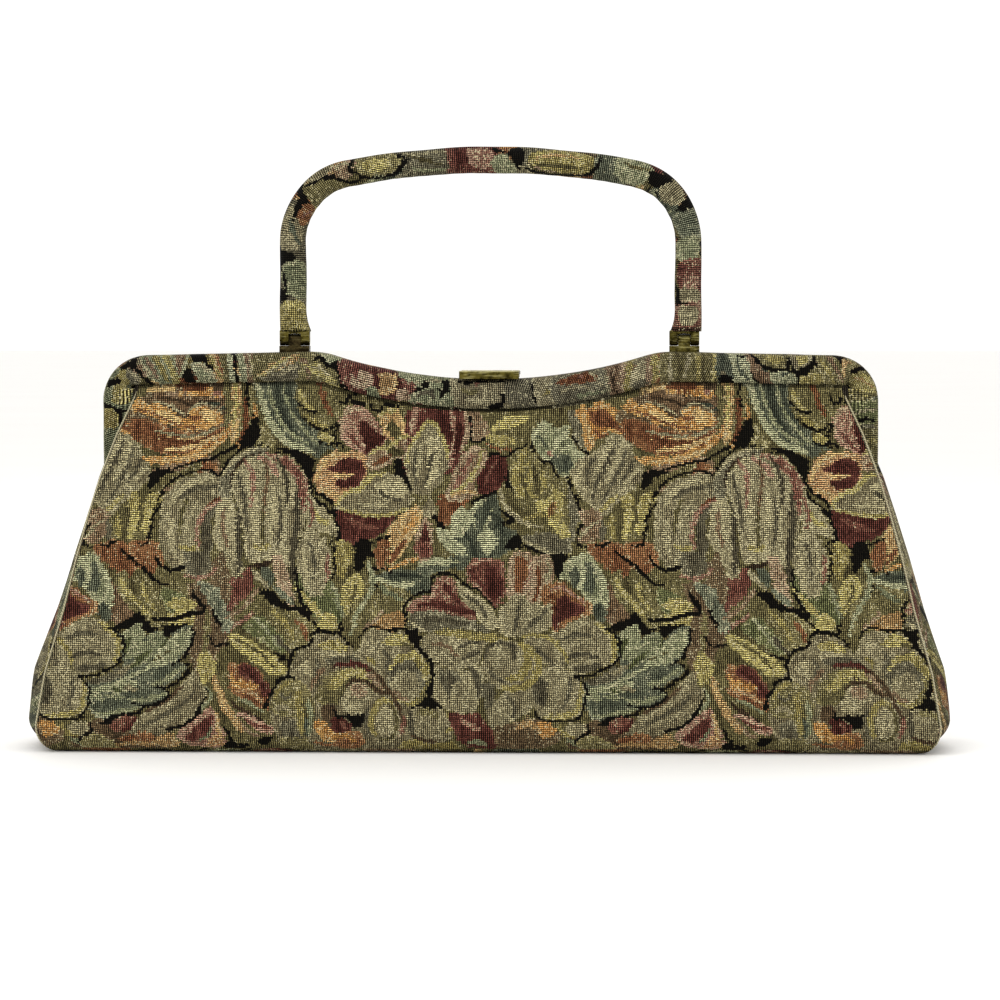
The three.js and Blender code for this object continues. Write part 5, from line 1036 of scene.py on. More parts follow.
def weaveArea(cloth, rng, yarn, tone, points):
    curve = roundedLine(points, clothRepeat["curveSteps"], True) - cloth["low"]
    stitches = stitchesNear(cloth, curve, True, clothRepeat["areaMargin"])
    if stitches is None:
        return
    x, y, depth = stitches["x"], stitches["y"], stitches["depth"]
    signed = np.where(stitches["inside"], depth, -depth)
    ragged = rng.random(x.shape) - 0.5 + softNoise(rng, x, y, clothRepeat["raggedSize"]) - 0.5
    # petals are paler at the rim, and long soft streaks run down them
    tone = tone + clothRepeat["rim"] * np.exp(-depth / clothRepeat["rimDepth"])
    across = x / clothRepeat["streakWidth"] + clothRepeat["streakShift"]
    streak = softNoise(rng, across, y / clothRepeat["streakLength"], 1.0) - 0.5
    cloudy = softNoise(rng, x, y, clothRepeat["cloudSize"]) - 0.5
    tone = tone + clothRepeat["streak"] * streak + clothRepeat["cloud"] * cloudy
    if yarn == "ground":
        tone = 0 * tone
    layYarn(cloth, rng, stitches, signed > clothRepeat["ragged"] * ragged, yarn, tone)


def weaveLine(cloth, rng, yarn, tone, width, points):
    curve = roundedLine(points, clothRepeat["curveSteps"], False) - cloth["low"]
    stitches = stitchesNear(cloth, curve, False, width + clothRepeat["lineMargin"])
    if stitches is None:
        return
    x, share = stitches["x"], stitches["share"]
    # lines swell in the middle and thin out to their ends
    thin = clothRepeat["lineEnd"]
    swell = thin + (1 - thin) * np.sqrt(np.clip(4 * share * (1 - share), 0, 1))
    ragged = clothRepeat["ragged"] * clothRepeat["lineRagged"] * (rng.random(x.shape) - 0.5)
    weight = clothRepeat["lineWeight"] * (clothRepeat["groundWeight"] if yarn == "ground" else 1)
    mask = stitches["depth"] + ragged < 0.5 * width * swell * weight
    layYarn(cloth, rng, stitches, mask, yarn, tone + 0 * x)


def drawMotif(cloth, rng, motif):
    for row in motif:
        if len(row) == 3:
            weaveArea(cloth, rng, *row)
        else:
            weaveLine(cloth, rng, *row)


def weaveCloth():
    rng = np.random.default_rng(clothRepeat["seed"])
    size = (clothRepeat["stitchesUp"], clothRepeat["stitchesAcross"])
    cloth = {"colour": np.zeros(size + (3,)), "code": np.zeros(size), "low": (0, 0)}
    edge = [(-1, -1), (size[1] + 1, -1), (size[1] + 1, size[0] + 1), (-1, size[0] + 1)]
    weaveArea(cloth, rng, *clothRepeat["background"], edge)
    for motif in chartMotifs:
        drawMotif(cloth, rng, motif)
    return cloth


# Colours and codes of the stitches at given places, with a half drop from one repeat to the next
def readCloth(cloth, across, up):
    rows, repeat = cloth["code"].shape
    row = np.floor(up - cloth["low"][1]).astype(int)
    column = np.floor(across - cloth["low"][0]).astype(int) + (row // rows) * (repeat // 2)
    return cloth["colour"][row % rows, column % repeat], cloth["code"][row % rows, column % repeat]


# A strip for one piece: a cut of the main cloth, with the flowers that show on that piece
def weaveStrip(main, low, high, motif):
    across, up = np.meshgrid(np.arange(low[0], high[0]) + 0.5, np.arange(low[1], high[1]) + 0.5)
    colour, code = readCloth(main, across, up)
    strip = {"colour": colour.copy(), "code": code.copy(), "low": low}
    drawMotif(strip, np.random.default_rng(clothRepeat["seed"]), motif)
    return strip


# From screen colours to linear light, as the yarn is dyed
def dyeCloth(cloth, tint):
    screen = cloth["colour"] / 255
    linear = np.where(screen <= 0.04045, screen / 12.92, ((screen + 0.055) / 1.055) ** 2.4)
    cloth["colour"] = clothRepeat["dye"] * linear * np.array(tint)


mainCloth = weaveCloth()
frameCloth = weaveStrip(mainCloth, *clothRepeat["frameCut"], frameFlowers)
handleCloth = weaveStrip(mainCloth, *clothRepeat["handleCut"], handleFlowers)
dyeCloth(mainCloth, clothRepeat["panelTint"])
dyeCloth(frameCloth, clothRepeat["frameTint"])
dyeCloth(handleCloth, clothRepeat["handleTint"])
print("cloth woven:", mainCloth["code"].shape)

# Sizes that the pieces share, in mm, as the part's source has them
bag = {
    "halfDepth": 35, "foldRadius": 9, "panelTopY": 8, "belly": 2.5, "topGap": 0.7, "baseHalfWidth": 165,
    "seamShare": [0, 0.153, 0.334, 0.493, 0.62, 0.732, 0.864, 0.975, 1],
    "seamHalfWidth": [171, 168, 161.6, 157, 152.8, 148.6, 142.4, 135.8, 134.6],
    "bandHeight": 11.8, "bandThickness": 9, "legThickness": 5.4, "legBottomZ": 109,
    "frameHalfWidth": 149.5, "frameCorner": 12.8,
    "shoulderZ": 152.2, "shoulderX": 70, "cornerDrop": 1.4, "dipDepth": 10.6, "shoulderRadius": 34,
    "pivotY": 4.8, "pivotZ": 156.7,
}
dipAngle = 2 * math.atan(bag["dipDepth"] / bag["shoulderX"])
dipRadius = bag["shoulderX"] / math.sin(dipAngle) - bag["shoulderRadius"]
dipEndX = dipRadius * math.sin(dipAngle)
frameCornerX = bag["frameHalfWidth"] - bag["frameCorner"]
frameCornerZ = bag["shoulderZ"] - bag["cornerDrop"] - bag["frameCorner"]


def frameTopZ(x):
    reach = np.minimum(np.abs(x), frameCornerX)
    fall = (reach - bag["shoulderX"]) / (frameCornerX - bag["shoulderX"])
    slanted = bag["shoulderZ"] - bag["cornerDrop"] * fall
    back = np.clip(bag["shoulderX"] - reach, 0, bag["shoulderRadius"])
    rounded = bag["shoulderZ"] - bag["shoulderRadius"] + np.sqrt(bag["shoulderRadius"] ** 2 - back ** 2)
    dipped = bag["shoulderZ"] - bag["dipDepth"] + dipRadius - np.sqrt(dipRadius ** 2 - reach ** 2)
    return np.where(reach >= bag["shoulderX"], slanted, np.where(reach >= dipEndX, rounded, dipped))


def frameSlope(x):
    near = 0.01
    x = np.clip(x, -frameCornerX + 1, frameCornerX - 1)
    return (frameTopZ(x + near) - frameTopZ(x - near)) / (2 * near)


def panelTopZ(x):
    return frameTopZ(x) - bag["bandHeight"] * np.hypot(1, frameSlope(x)) - bag["topGap"]


sideTopZ = float(panelTopZ(frameCornerX))
foldCentreY = bag["halfDepth"] - bag["foldRadius"]
panelLean = math.atan2(bag["halfDepth"] - bag["panelTopY"], sideTopZ - bag["foldRadius"])
panelLowY = foldCentreY + bag["foldRadius"] * math.cos(panelLean)
panelLowZ = bag["foldRadius"] * (1 + math.sin(panelLean))


# Depth, height and half width along the fold under the panel, some way inside the cloth
def foldLine(share, inward):
    angle = -math.pi / 2 + (panelLean + math.pi / 2) * share
    radius = bag["foldRadius"] - inward
    widening = (bag["seamHalfWidth"][0] - bag["baseHalfWidth"]) * np.sin(share * math.pi / 2)
    return (foldCentreY + radius * np.cos(angle), bag["foldRadius"] + radius * np.sin(angle),
            bag["baseHalfWidth"] + widening)


# The same along the seam up the panel's side
def seamLine(share, inward):
    y = panelLowY + (bag["panelTopY"] - panelLowY) * share - inward * math.cos(panelLean)
    z = panelLowZ + (sideTopZ - panelLowZ) * share - inward * math.sin(panelLean)
    return y, z, np.interp(share, bag["seamShare"], bag["seamHalfWidth"])


def lengthAlong(points):
    return np.concatenate([[0], np.cumsum(np.linalg.norm(np.diff(points, axis=0), axis=1))])


def inStitches(across, up):
    across, up = np.broadcast_arrays(across / clothRepeat["stitchWidth"], up / clothRepeat["stitchHeight"])
    return np.stack([across, up], 2)


# Making a cloth piece from a grid of points


def deselectAll():
    if bpy.context.mode != "OBJECT":
        bpy.ops.object.mode_set(mode="OBJECT")
    bpy.ops.object.select_all(action="DESELECT")


def startEdit(piece):
    deselectAll()
    piece.select_set(True)
    bpy.context.view_layer.objects.active = piece
    bpy.ops.object.mode_set(mode="EDIT")
    bpy.ops.mesh.select_all(action="SELECT")


def newPiece(name, points, faces):
    mesh = bpy.data.meshes.new(name)
    mesh.from_pydata((points * mm).tolist(), [], faces)
    piece = bpy.data.objects.new(name, mesh)
    bpy.context.scene.collection.objects.link(piece)
    return piece


def printCloth(piece, faceColours, faceCodes, threads):
    mesh = piece.data
    chart = mesh.attributes.new("chart", "FLOAT_COLOR", "FACE")
    chart.data.foreach_set("color", np.concatenate([faceColours, faceCodes[:, None]], 1).ravel())
    corners = np.zeros(len(mesh.loops), np.int32)
    mesh.loops.foreach_get("vertex_index", corners)
    uv = mesh.uv_layers.new(name="threads")
    uv.data.foreach_set("uv", threads[corners].ravel())
    mesh.polygons.foreach_set("use_smooth", np.ones(len(mesh.polygons), bool))
    mesh.update()


def gridNormals(grid):
    along, across = np.gradient(grid, axis=0), np.gradient(grid, axis=1)
    normal = np.cross(across, along)
    return normal / (np.linalg.norm(normal, axis=2, keepdims=True) + 1e-12)


def gridQuads(rows, columns):
    at = np.arange(rows * columns).reshape(rows, columns)
    return np.stack([at[:-1, :-1], at[:-1, 1:], at[1:, 1:], at[1:, :-1]], 2)


def faceMiddles(values):
    return (values[:-1, :-1] + values[:-1, 1:] + values[1:, 1:] + values[1:, :-1]) / 4


# Square metres of each quad of a grid
def quadAreas(grid):
    across, along = np.diff(grid, axis=1)[:-1], np.diff(grid, axis=0)[:, :-1]
    return np.linalg.norm(np.cross(across, along), axis=2) * mm * mm


lining = {"colour": (0.020, 0.016, 0.011), "step": 8}


# A sheet whose outer face has a stitch to each quad, and whose lining is a coarser net joined to its edges
def linedSheet(name, grid, stitchAt, threadAt, thickness, flip, shade=1.0):
    rows, columns = grid.shape[:2]
    step = lining["step"]
    normal = gridNormals(grid) * (-1 if flip else 1)
    inner = (grid - normal * thickness)[::step, ::step]
    fineAt = np.arange(rows * columns).reshape(rows, columns)
    coarseAt = rows * columns + np.arange(inner.shape[0] * inner.shape[1]).reshape(inner.shape[:2])
    faces = gridQuads(rows, columns).reshape(-1, 4).tolist()
    clothFaces = len(faces)
    for a, b, c, d in (gridQuads(*inner.shape[:2]) + rows * columns).reshape(-1, 4).tolist():
        faces.append([d, c, b, a])
    for k in range(coarseAt.shape[1] - 1):
        run = slice(k * step, (k + 1) * step + 1)
        faces.append(fineAt[0, run][::-1].tolist() + [int(coarseAt[0, k]), int(coarseAt[0, k + 1])])
        faces.append(fineAt[-1, run].tolist() + [int(coarseAt[-1, k + 1]), int(coarseAt[-1, k])])
    for k in range(coarseAt.shape[0] - 1):
        run = slice(k * step, (k + 1) * step + 1)
        faces.append(fineAt[run, 0].tolist() + [int(coarseAt[k + 1, 0]), int(coarseAt[k, 0])])
        faces.append(fineAt[run, -1][::-1].tolist() + [int(coarseAt[k, -1]), int(coarseAt[k + 1, -1])])
    if flip:
        faces = [face[::-1] for face in faces]
    piece = newPiece(name, np.concatenate([grid.reshape(-1, 3), inner.reshape(-1, 3)]), faces)
    colour, code = readCloth(mainCloth, faceMiddles(stitchAt[..., 0]), faceMiddles(stitchAt[..., 1]))
    colour = colour * shade
    rest = len(faces) - clothFaces
    colours = np.concatenate([colour.reshape(-1, 3), np.tile(lining["colour"], (rest, 1))])
    codes = np.concatenate([code.ravel(), np.zeros(rest)])
    threads = np.concatenate([threadAt.reshape(-1, 2), threadAt[::step, ::step].reshape(-1, 2)])
    printCloth(piece, colours, codes, threads)
    return piece


# A closed bar of cloth: rings of points, one after the other, with its ends shut
def clothBar(name, rings, cloth, stitchAt, threadAt, shade=1.0):
    count, around = rings.shape[:2]
    at = np.arange(count * around).reshape(count, around)
    nextAt = np.roll(at, -1, 1)
    quads = np.stack([at[:-1], nextAt[:-1], nextAt[1:], at[1:]], 2).reshape(-1, 4).tolist()
    faces = quads + [at[0][::-1].tolist(), at[-1].tolist()]
    piece = newPiece(name, rings.reshape(-1, 3), faces)
    middle = (stitchAt[:-1] + stitchAt[1:]) / 2
    colour, code = readCloth(cloth, middle[..., 0], middle[..., 1])
    colour = colour * shade
    colours = np.concatenate([colour.reshape(-1, 3), np.tile(lining["colour"], (2, 1))])
    printCloth(piece, colours, np.concatenate([code.ravel(), np.zeros(2)]), threadAt.reshape(-1, 2))
    startEdit(piece)
    bpy.ops.mesh.normals_make_consistent(inside=False)
    bpy.ops.object.mode_set(mode="OBJECT")
    return piece


# Front and back panels
panel = {
    "rows": 200, "columns": 448, "lipRows": 8, "foldRows": 21, "lipY": 20,
    "thickness": 1.6,
    "foldStitch": 14,        # stitch row at the top of the lower fold
    "ripple": 0.35,          # mm, soft waves of the filled panel
    "waveAcross": (31, 57, 17), "waveUp": (1.7, 7.3, -5), "fineWave": 0.6,
    "fadeUp": 6, "fadeAcross": 8,           # the waves die out towards the seams
    "backShift": 97,         # the back is another cut of the cloth
    # the top edge turns in and up into the frame, and its corners widen inside the frame's bends
    "tuckDepth": 5.5, "tuckRise": 3.2, "tuckShare": 0.03,
    "cornerFlare": 4, "flareFrom": 0.985, "flareShare": 0.013,
    "shadowLow": -0.75, "shadowFade": 0.5,  # mm, below the panel's top edge
    "shadowDark": 0.12,
}


def panelGrid(side):
    straightRows = panel["rows"] - panel["lipRows"] - panel["foldRows"]
    lipShare = np.arange(panel["lipRows"]) / panel["lipRows"]
    foldShare = np.arange(panel["foldRows"]) / panel["foldRows"]
    share = np.arange(straightRows + 1) / straightRows
    fold, seam = foldLine(foldShare, 0), seamLine(share, 0)
    y = np.concatenate([panel["lipY"] + (foldCentreY - panel["lipY"]) * lipShare, fold[0], seam[0]])
    z = np.concatenate([0 * lipShare, fold[1], panelLowZ + 0 * share])
    halfWidth = np.concatenate([bag["baseHalfWidth"] + 0 * lipShare, fold[2], seam[2]])
    upShare = np.concatenate([0 * lipShare, 0 * foldShare, share])
    across = np.linspace(-1, 1, panel["columns"] + 1)
    flare = np.clip((upShare - panel["flareFrom"]) / panel["flareShare"], 0, 1)
    halfWidth = halfWidth + panel["cornerFlare"] * flare * flare * (3 - 2 * flare)
    x = halfWidth[:, None] * across[None, :]
    rise = upShare[:, None]
    zGrid = z[:, None] + rise * (panelTopZ(x) - panelLowZ)
    swell = bag["belly"] * 4 * rise * (1 - rise) * (1 - across[None, :] ** 2)
    broad, slow, fine = (x / wide + up * rise for wide, up in zip(panel["waveAcross"], panel["waveUp"]))
    wave = np.sin(broad + side) * np.sin(slow) + panel["fineWave"] * np.sin(fine)
    held = np.clip(rise * panel["fadeUp"], 0, 1) * np.clip((1 - rise) * panel["fadeUp"], 0, 1)
    held = held * np.clip((1 - np.abs(across)) * panel["fadeAcross"], 0, 1)[None, :]
    yGrid = y[:, None] + swell + panel["ripple"] * wave * held
    tuck = np.clip((rise - 1) / panel["tuckShare"] + 1, 0, 1) * (upShare > 0)[:, None]
    yGrid = yGrid - panel["tuckDepth"] * tuck ** 2
    zGrid = zGrid + panel["tuckRise"] * tuck * (2 - tuck)
    grid = np.stack([x, side * yGrid, zGrid], 2)
    step = np.hypot(np.diff(yGrid, axis=0), np.diff(zGrid, axis=0))
    run = np.concatenate([np.zeros((1, x.shape[1])), np.cumsum(step, 0)])
    return grid, run


def makePanel(name, side):
    grid, run = panelGrid(side)
    foldEnd = run[panel["lipRows"] + panel["foldRows"]][None, :]
    shift = 0 if side < 0 else panel["backShift"]
    turned = grid[..., 0] * (1 if side < 0 else -1)
    stitchAt = inStitches(turned, run - foldEnd) + [shift, panel["foldStitch"]]
    threadAt = inStitches(grid[..., 0], run)
    # the shadow line under the frame
    under = faceMiddles(panelTopZ(grid[..., 0]) - grid[..., 2])
    shade = np.clip((under - panel["shadowLow"]) / panel["shadowFade"], panel["shadowDark"], 1)[..., None]
    piece = linedSheet(name, grid, stitchAt, threadAt, panel["thickness"], side > 0, shade)
    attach(piece, "bag")
    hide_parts("body_wrap")
    return piece, float(quadAreas(grid).sum()), float(run.max()) * mm


# Base, between the panels' lower lips
base = {"rows": 48, "columns": 448, "shift": 40}


def makeBase():
    y = np.linspace(-panel["lipY"], panel["lipY"], base["rows"] + 1)
    x = np.linspace(-bag["baseHalfWidth"], bag["baseHalfWidth"], base["columns"] + 1)
    xGrid, yGrid = np.meshgrid(x, y)
    grid = np.stack([xGrid, yGrid, 0 * xGrid], 2)
    threadAt = inStitches(xGrid, yGrid)
    piece = linedSheet("basePanel", grid, threadAt + base["shift"], threadAt, panel["thickness"], True)
    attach(piece, "bag")
    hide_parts("body_wrap")
    return piece, float(quadAreas(grid).sum())


# Side gussets: swelling walls with two horns beside each leg of the frame
gusset = {
    "foldRows": 20, "rows": 156, "columns": 96, "topShare": 0.92,
    "inset": 0.2, "seamIn": 1.45, "thickness": 1.4,
    "notchHalfDepth": 6.2, "notchFromZ": 60, "notchBottomZ": 109.3, "notchColumns": 0.36,
    "swellZ": [2.3, 2.8, 4, 6, 14, 28, 42, 64, 90, 108, 140],
    "swell": {-1: [0.6, 3.4, 6.2, 7.6, 8.2, 9.2, 7.6, 5.0, 3.1, 2.8, 2.2],
              1: [0.6, 2.2, 4.4, 6.2, 7.2, 7.7, 6.5, 5.2, 3.7, 3.0, 2.2]},
    "softRows": 9, "softPasses": 3,      # rows that even out the swell
    "pleat": 0.5, "pleatWidth": 5.5, "pleatStart": 0.6, "pleatFromZ": 12, "pleatFade": 40,
    "shift": {-1: 31, 1: 150},
    "bias": 0.7,             # radians, the gussets are cut on the bias
    "thread": 1.1,           # mm, and their threads lie open
    "shade": 0.75,           # they turn away from the light and lie in the panels' shelter
}


def makeGusset(name, side):
    foldShare = np.arange(gusset["foldRows"]) / gusset["foldRows"]
    share = np.linspace(0, gusset["topShare"], gusset["rows"] + 1)
    lines = zip(foldLine(foldShare, gusset["seamIn"]), seamLine(share, gusset["seamIn"]))
    y, z, halfWidth = (np.concatenate(line) for line in lines)
    swell = np.interp(z, gusset["swellZ"], gusset["swell"][side])
    softRows = gusset["softRows"]
    for k in range(gusset["softPasses"]):
        padded = np.pad(swell, softRows // 2, mode="edge")
        swell = np.convolve(padded, np.full(softRows, 1 / softRows), mode="valid")
    across = np.linspace(-1, 1, gusset["columns"] + 1)
    edge = gusset["notchColumns"]
    evenY = edge * y
    closing = np.clip((z - gusset["notchFromZ"]) / (gusset["notchBottomZ"] - gusset["notchFromZ"]), 0, 1)
    innerY = evenY + (gusset["notchHalfDepth"] - evenY) * closing
    within = np.abs(across) <= edge + 1e-9
    outerShare = np.clip((np.abs(across) - edge) / (1 - edge), 0, 1)
    outerY = innerY[:, None] + (y - innerY)[:, None] * outerShare[None, :]
    yGrid = np.where(within[None, :], across[None, :] / edge * innerY[:, None],
                     np.sign(across)[None, :] * outerY)
    bow = 1 - (yGrid / y[:, None]) ** 2
    pleat = gusset["pleat"] * np.sin(yGrid / gusset["pleatWidth"] + gusset["pleatStart"])
    pleat = pleat * np.clip((z - gusset["pleatFromZ"]) / gusset["pleatFade"], 0, 1)[:, None] * bow
    xGrid = halfWidth[:, None] - gusset["inset"] + swell[:, None] * bow + pleat
    grid = np.stack([side * xGrid, yGrid, np.broadcast_to(z[:, None], xGrid.shape)], 2)
    run = lengthAlong(np.stack([halfWidth + swell, z], 1))
    runGrid = np.broadcast_to(run[:, None], xGrid.shape)
    stitchAt = inStitches(side * yGrid, runGrid) + [gusset["shift"][side], 0]
    cos, sin = math.cos(gusset["bias"]), math.sin(gusset["bias"])
    threadAt = np.stack([yGrid * cos - runGrid * sin, yGrid * sin + runGrid * cos], 2) / gusset["thread"]
    middleAcross = np.abs(across[:-1] + across[1:]) / 2
    notch = ((z[:-1] + z[1:]) / 2 > gusset["notchBottomZ"])[:, None] & (middleAcross < edge)[None, :]
    keep = ~notch
    faces = gridQuads(*grid.shape[:2])[keep].tolist()
    if side < 0:
        faces = [face[::-1] for face in faces]
    piece = newPiece(name, grid.reshape(-1, 3), faces)
    colour, code = readCloth(mainCloth, faceMiddles(stitchAt[..., 0]), faceMiddles(stitchAt[..., 1]))
    printCloth(piece, gusset["shade"] * colour[keep], code[keep], threadAt.reshape(-1, 2))
    startEdit(piece)
    bpy.ops.mesh.delete_loose()
    bpy.ops.object.mode_set(mode="OBJECT")
    wall = piece.modifiers.new("wall", "SOLIDIFY")
    wall.thickness = gusset["thickness"] * mm
    wall.offset = -1
    bpy.ops.object.modifier_apply(modifier="wall")
    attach(piece, "bag")
    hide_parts("gusset_left" if side < 0 else "gusset_right")
    return piece, float(quadAreas(grid)[keep].sum()), float(run[-1]) * mm


# The two covered halves of the frame
frameCover = {
    "topStep": 0.76, "cornerSteps": 28, "legSteps": 38,
    "closing": 0.04,         # mm from the middle, so the two halves shut
    "corner": 17.5, "cornerFrom": 0.45,     # mm, the padded corners are rounder on the outside
    "around": 56, "softPasses": 3, "softFrom": 0.4,
    "section": [(-0.86, 0), (0.86, 0), (1, 0.14), (1, 0.58), (0.88, 0.85), (0.52, 1), (-0.52, 1),
                (-0.88, 0.85), (-1, 0.58), (-1, 0.14)],
    "frontFrom": 0.95,       # share of the section's depth from which it is the front face
    "gather": 0.32, "gathers": 9, "gatherRim": 1.1, "gatherRange": (0.15, 2),
    "crease": 0.14, "creaseLengths": (5.1, 23, 13.7),
    "liftFrom": 0.15, "liftRate": 3, "liftAcross": 0.6,     # the folds die out towards the closing face
    "row": 197.75,           # the drawn row at the shoulders' height, as the front is seen
    "backShift": 180,
    "legReach": 5.0, "legReachEnd": 112, "legReachFade": 10,      # mm, cloth gathered inside each corner
    "leanX": [-150, -110, -60, 5, 20, 80, 110, 150], "lean": [0.35, 0.35, 0.1, 0.0, -0.55, -0.45, 0.1, 0.0],
    "shadowFrom": 6.0, "shadowFade": 1.0,      # mm, down from the middle of the front face
    "shadowDark": 0.15,
}


def frameStations():
    half = bag["bandHeight"] / 2
    steps = round(frameCornerX / frameCover["topStep"])
    stations = []
    for k in range(steps + 1):
        x = frameCornerX * k / steps
        slope = float(frameSlope(x))
        nx, nz = -slope / math.hypot(1, slope), 1 / math.hypot(1, slope)
        stations.append((x - nx * half, float(frameTopZ(x)) - nz * half, nx, nz, 0.0))
    middleRadius = bag["frameCorner"] - half
    for k in range(1, frameCover["cornerSteps"] + 1):
        share = k / frameCover["cornerSteps"]
        angle = math.pi / 2 * (1 - share)
        nx, nz = math.cos(angle), math.sin(angle)
        stations.append((frameCornerX + middleRadius * nx, frameCornerZ + middleRadius * nz, nx, nz, share))
    legX = bag["frameHalfWidth"] - half
    for k in range(1, frameCover["legSteps"] + 1):
        z = frameCornerZ + (bag["legBottomZ"] - frameCornerZ) * k / frameCover["legSteps"]
        stations.append((legX, z, 1.0, 0.0, 1.0))
    left = [(-x, z, -nx, nz, thin) for x, z, nx, nz, thin in stations[:0:-1]]
    return np.array(left + stations)


def roundSection(points, count):
    size = [bag["bandHeight"] / 2, bag["bandThickness"]]
    corners = np.array(points + points[:1], float) * size
    run = lengthAlong(corners)
    at = np.arange(count) / count * run[-1]
    ring = np.stack([np.interp(at, run, corners[:, 0]), np.interp(at, run, corners[:, 1])], 1)
    for k in range(frameCover["softPasses"]):
        softer = (np.roll(ring, 1, 0) + 2 * ring + np.roll(ring, -1, 0)) / 4
        ring = np.where((ring[:, 1] > frameCover["softFrom"])[:, None], softer, ring)
    return ring / size, at


# Draws the outside of each corner in to a wider bend
def roundCorners(x, z):
    radius, tight = frameCover["corner"], bag["frameCorner"]
    step = radius - tight
    dx, dz = np.abs(x) - (bag["frameHalfWidth"] - radius), z - (frameCornerZ - step)
    away = np.maximum(np.hypot(dx, dz), 1e-6)
    cos, sin = np.clip(dx / away, 1e-3, 1), np.clip(dz / away, 1e-3, 1)
    arc = step * (cos + sin) + np.sqrt(np.maximum(tight ** 2 + 2 * step ** 2 * (cos * sin - 0.5), 0))
    outline = np.where(radius * cos <= step * sin, radius / sin,
                       np.where(radius * sin <= step * cos, radius / cos, arc))
    share = np.clip((away / outline - frameCover["cornerFrom"]) / (1 - frameCover["cornerFrom"]), 0, 1)
    pull = np.where((dx > 0) & (dz > 0), (1 - radius / outline) * share, 0)
    return x - np.sign(x) * dx * pull, z - dz * pull


def makeFrameCover(name, side):
    stations = frameStations()
    section, aroundRun = roundSection(frameCover["section"], frameCover["around"])
    half = bag["bandHeight"] / 2
    x, z, nx, nz, thin = (stations[:, k][:, None] for k in range(5))
    thickness = bag["bandThickness"] + (bag["legThickness"] - bag["bandThickness"]) * thin
    across, out = section[:, 0][None, :], section[:, 1][None, :]
    run = lengthAlong(stations[:, :2] + stations[:, 2:4] * half)[:, None]
    atCorner = (thin > 0) & (thin < 1)
    fold = np.cos(2 * math.pi * frameCover["gathers"] * thin) * np.sin(math.pi * thin)
    fold = fold * np.clip(frameCover["gatherRim"] - across, *frameCover["gatherRange"])
    near, bend, far = (run / length for length in frameCover["creaseLengths"])
    creases = np.sin(near + 2 * np.sin(bend) + across) * np.sin(far + side)
    lift = np.where(atCorner, frameCover["gather"] * fold, frameCover["crease"] * creases)
    lift = lift * np.clip((out - frameCover["liftFrom"]) * frameCover["liftRate"], 0, 1)
    wide = across * half + lift * across * frameCover["liftAcross"]
    reach = np.clip((z - frameCover["legReachEnd"]) / frameCover["legReachFade"], 0, 1) * (thin == 1)
    wide = wide - frameCover["legReach"] * reach * np.clip(-across, 0, 1)
    deep = frameCover["closing"] + out * thickness + lift * np.clip(out, 0, 1)
    ringX, ringZ = roundCorners(x + nx * wide, z + nz * wide)
    rings = np.stack([ringX, side * deep, ringZ], 2)
    # the cloth lies as the front is seen, and goes on over the edges
    onFront = section[:, 1] > frameCover["frontFrom"]
    up = (aroundRun[onFront].mean() - aroundRun)[None, :]
    seenX, seenZ = x + nx * up, z + nz * up
    cloth = frameCloth
    if side > 0:
        cloth, seenX = mainCloth, frameCover["backShift"] - seenX
    stitchAt = np.stack([seenX, seenZ - bag["shoulderZ"]], 2) / clothRepeat["stitchWidth"]
    stitchAt = stitchAt + [0, frameCover["row"]]
    # cut on the bias, so the threads lean one way or the other
    lean = np.interp(x, frameCover["leanX"], frameCover["lean"])
    threadAt = inStitches(run + lean * up, up)
    downMiddle = -(up + np.roll(up, -1)) / 2
    light = 1 - (downMiddle - frameCover["shadowFrom"]) / frameCover["shadowFade"]
    shade = np.clip(light, frameCover["shadowDark"], 1)[..., None]
    piece = clothBar(name, rings, cloth, stitchAt, threadAt, shade)
    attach(piece, "bag")
    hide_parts("frame_front" if side < 0 else "frame_back")
    return piece


# Carrying handle
handle = {
    "radius": 5.25, "flare": 1.9, "flareLength": 9, "topZ": 226.2, "cornerRadius": 26.5,
    "cornerX": 49.9, "cornerZ": 195.1, "lowZ": 160.0, "around": 44, "step": 0.74,
    "seamDepth": 0.45, "seamWidth": 0.1,    # mm, radians
    "pucker": 0.05, "puckerLength": 0.95, "puckerWander": 1.5, "puckerWanderLength": 7, "puckerLeast": 0.35,
    "drift": [(0.1, 4.3, 3), (0.08, 9.1, -2)],      # mm high, mm long, times around
    "drawnTight": 0.1,       # mm
    "jointShadeFrom": 0.6, "jointShadeFade": 0.9, "jointShadeDark": 0.25,      # mm, painted shade in the joint above each ferrule
    "endTaper": 0.28, "endLength": 5,       # the grip is drawn in to each ferrule's depth
}


def handleLine():
    corner, cornerX, cornerZ = handle["cornerRadius"], handle["cornerX"], handle["cornerZ"]
    rise = handle["topZ"] - cornerZ
    topRadius = (cornerX ** 2 + rise ** 2 - corner ** 2) / (2 * (rise - corner))
    topCentreZ = handle["topZ"] - topRadius
    meet = math.atan2(cornerZ - topCentreZ, cornerX)
    line = []
    steps = round(topRadius * (math.pi / 2 - meet) / handle["step"])
    for k in range(steps):
        angle = math.pi / 2 + (meet - math.pi / 2) * k / steps
        line.append((topRadius * math.cos(angle), topCentreZ + topRadius * math.sin(angle), angle))
    steps = round(corner * meet / handle["step"])
    for k in range(steps):
        angle = meet * (1 - k / steps)
        line.append((cornerX + corner * math.cos(angle), cornerZ + corner * math.sin(angle), angle))
    steps = round((cornerZ - handle["lowZ"]) / handle["step"])
    for k in range(steps + 1):
        line.append((cornerX + corner, cornerZ + (handle["lowZ"] - cornerZ) * k / steps, 0.0))
    left = [(-x, z, math.pi - angle) for x, z, angle in line[:0:-1]]
    return np.array(left + line)


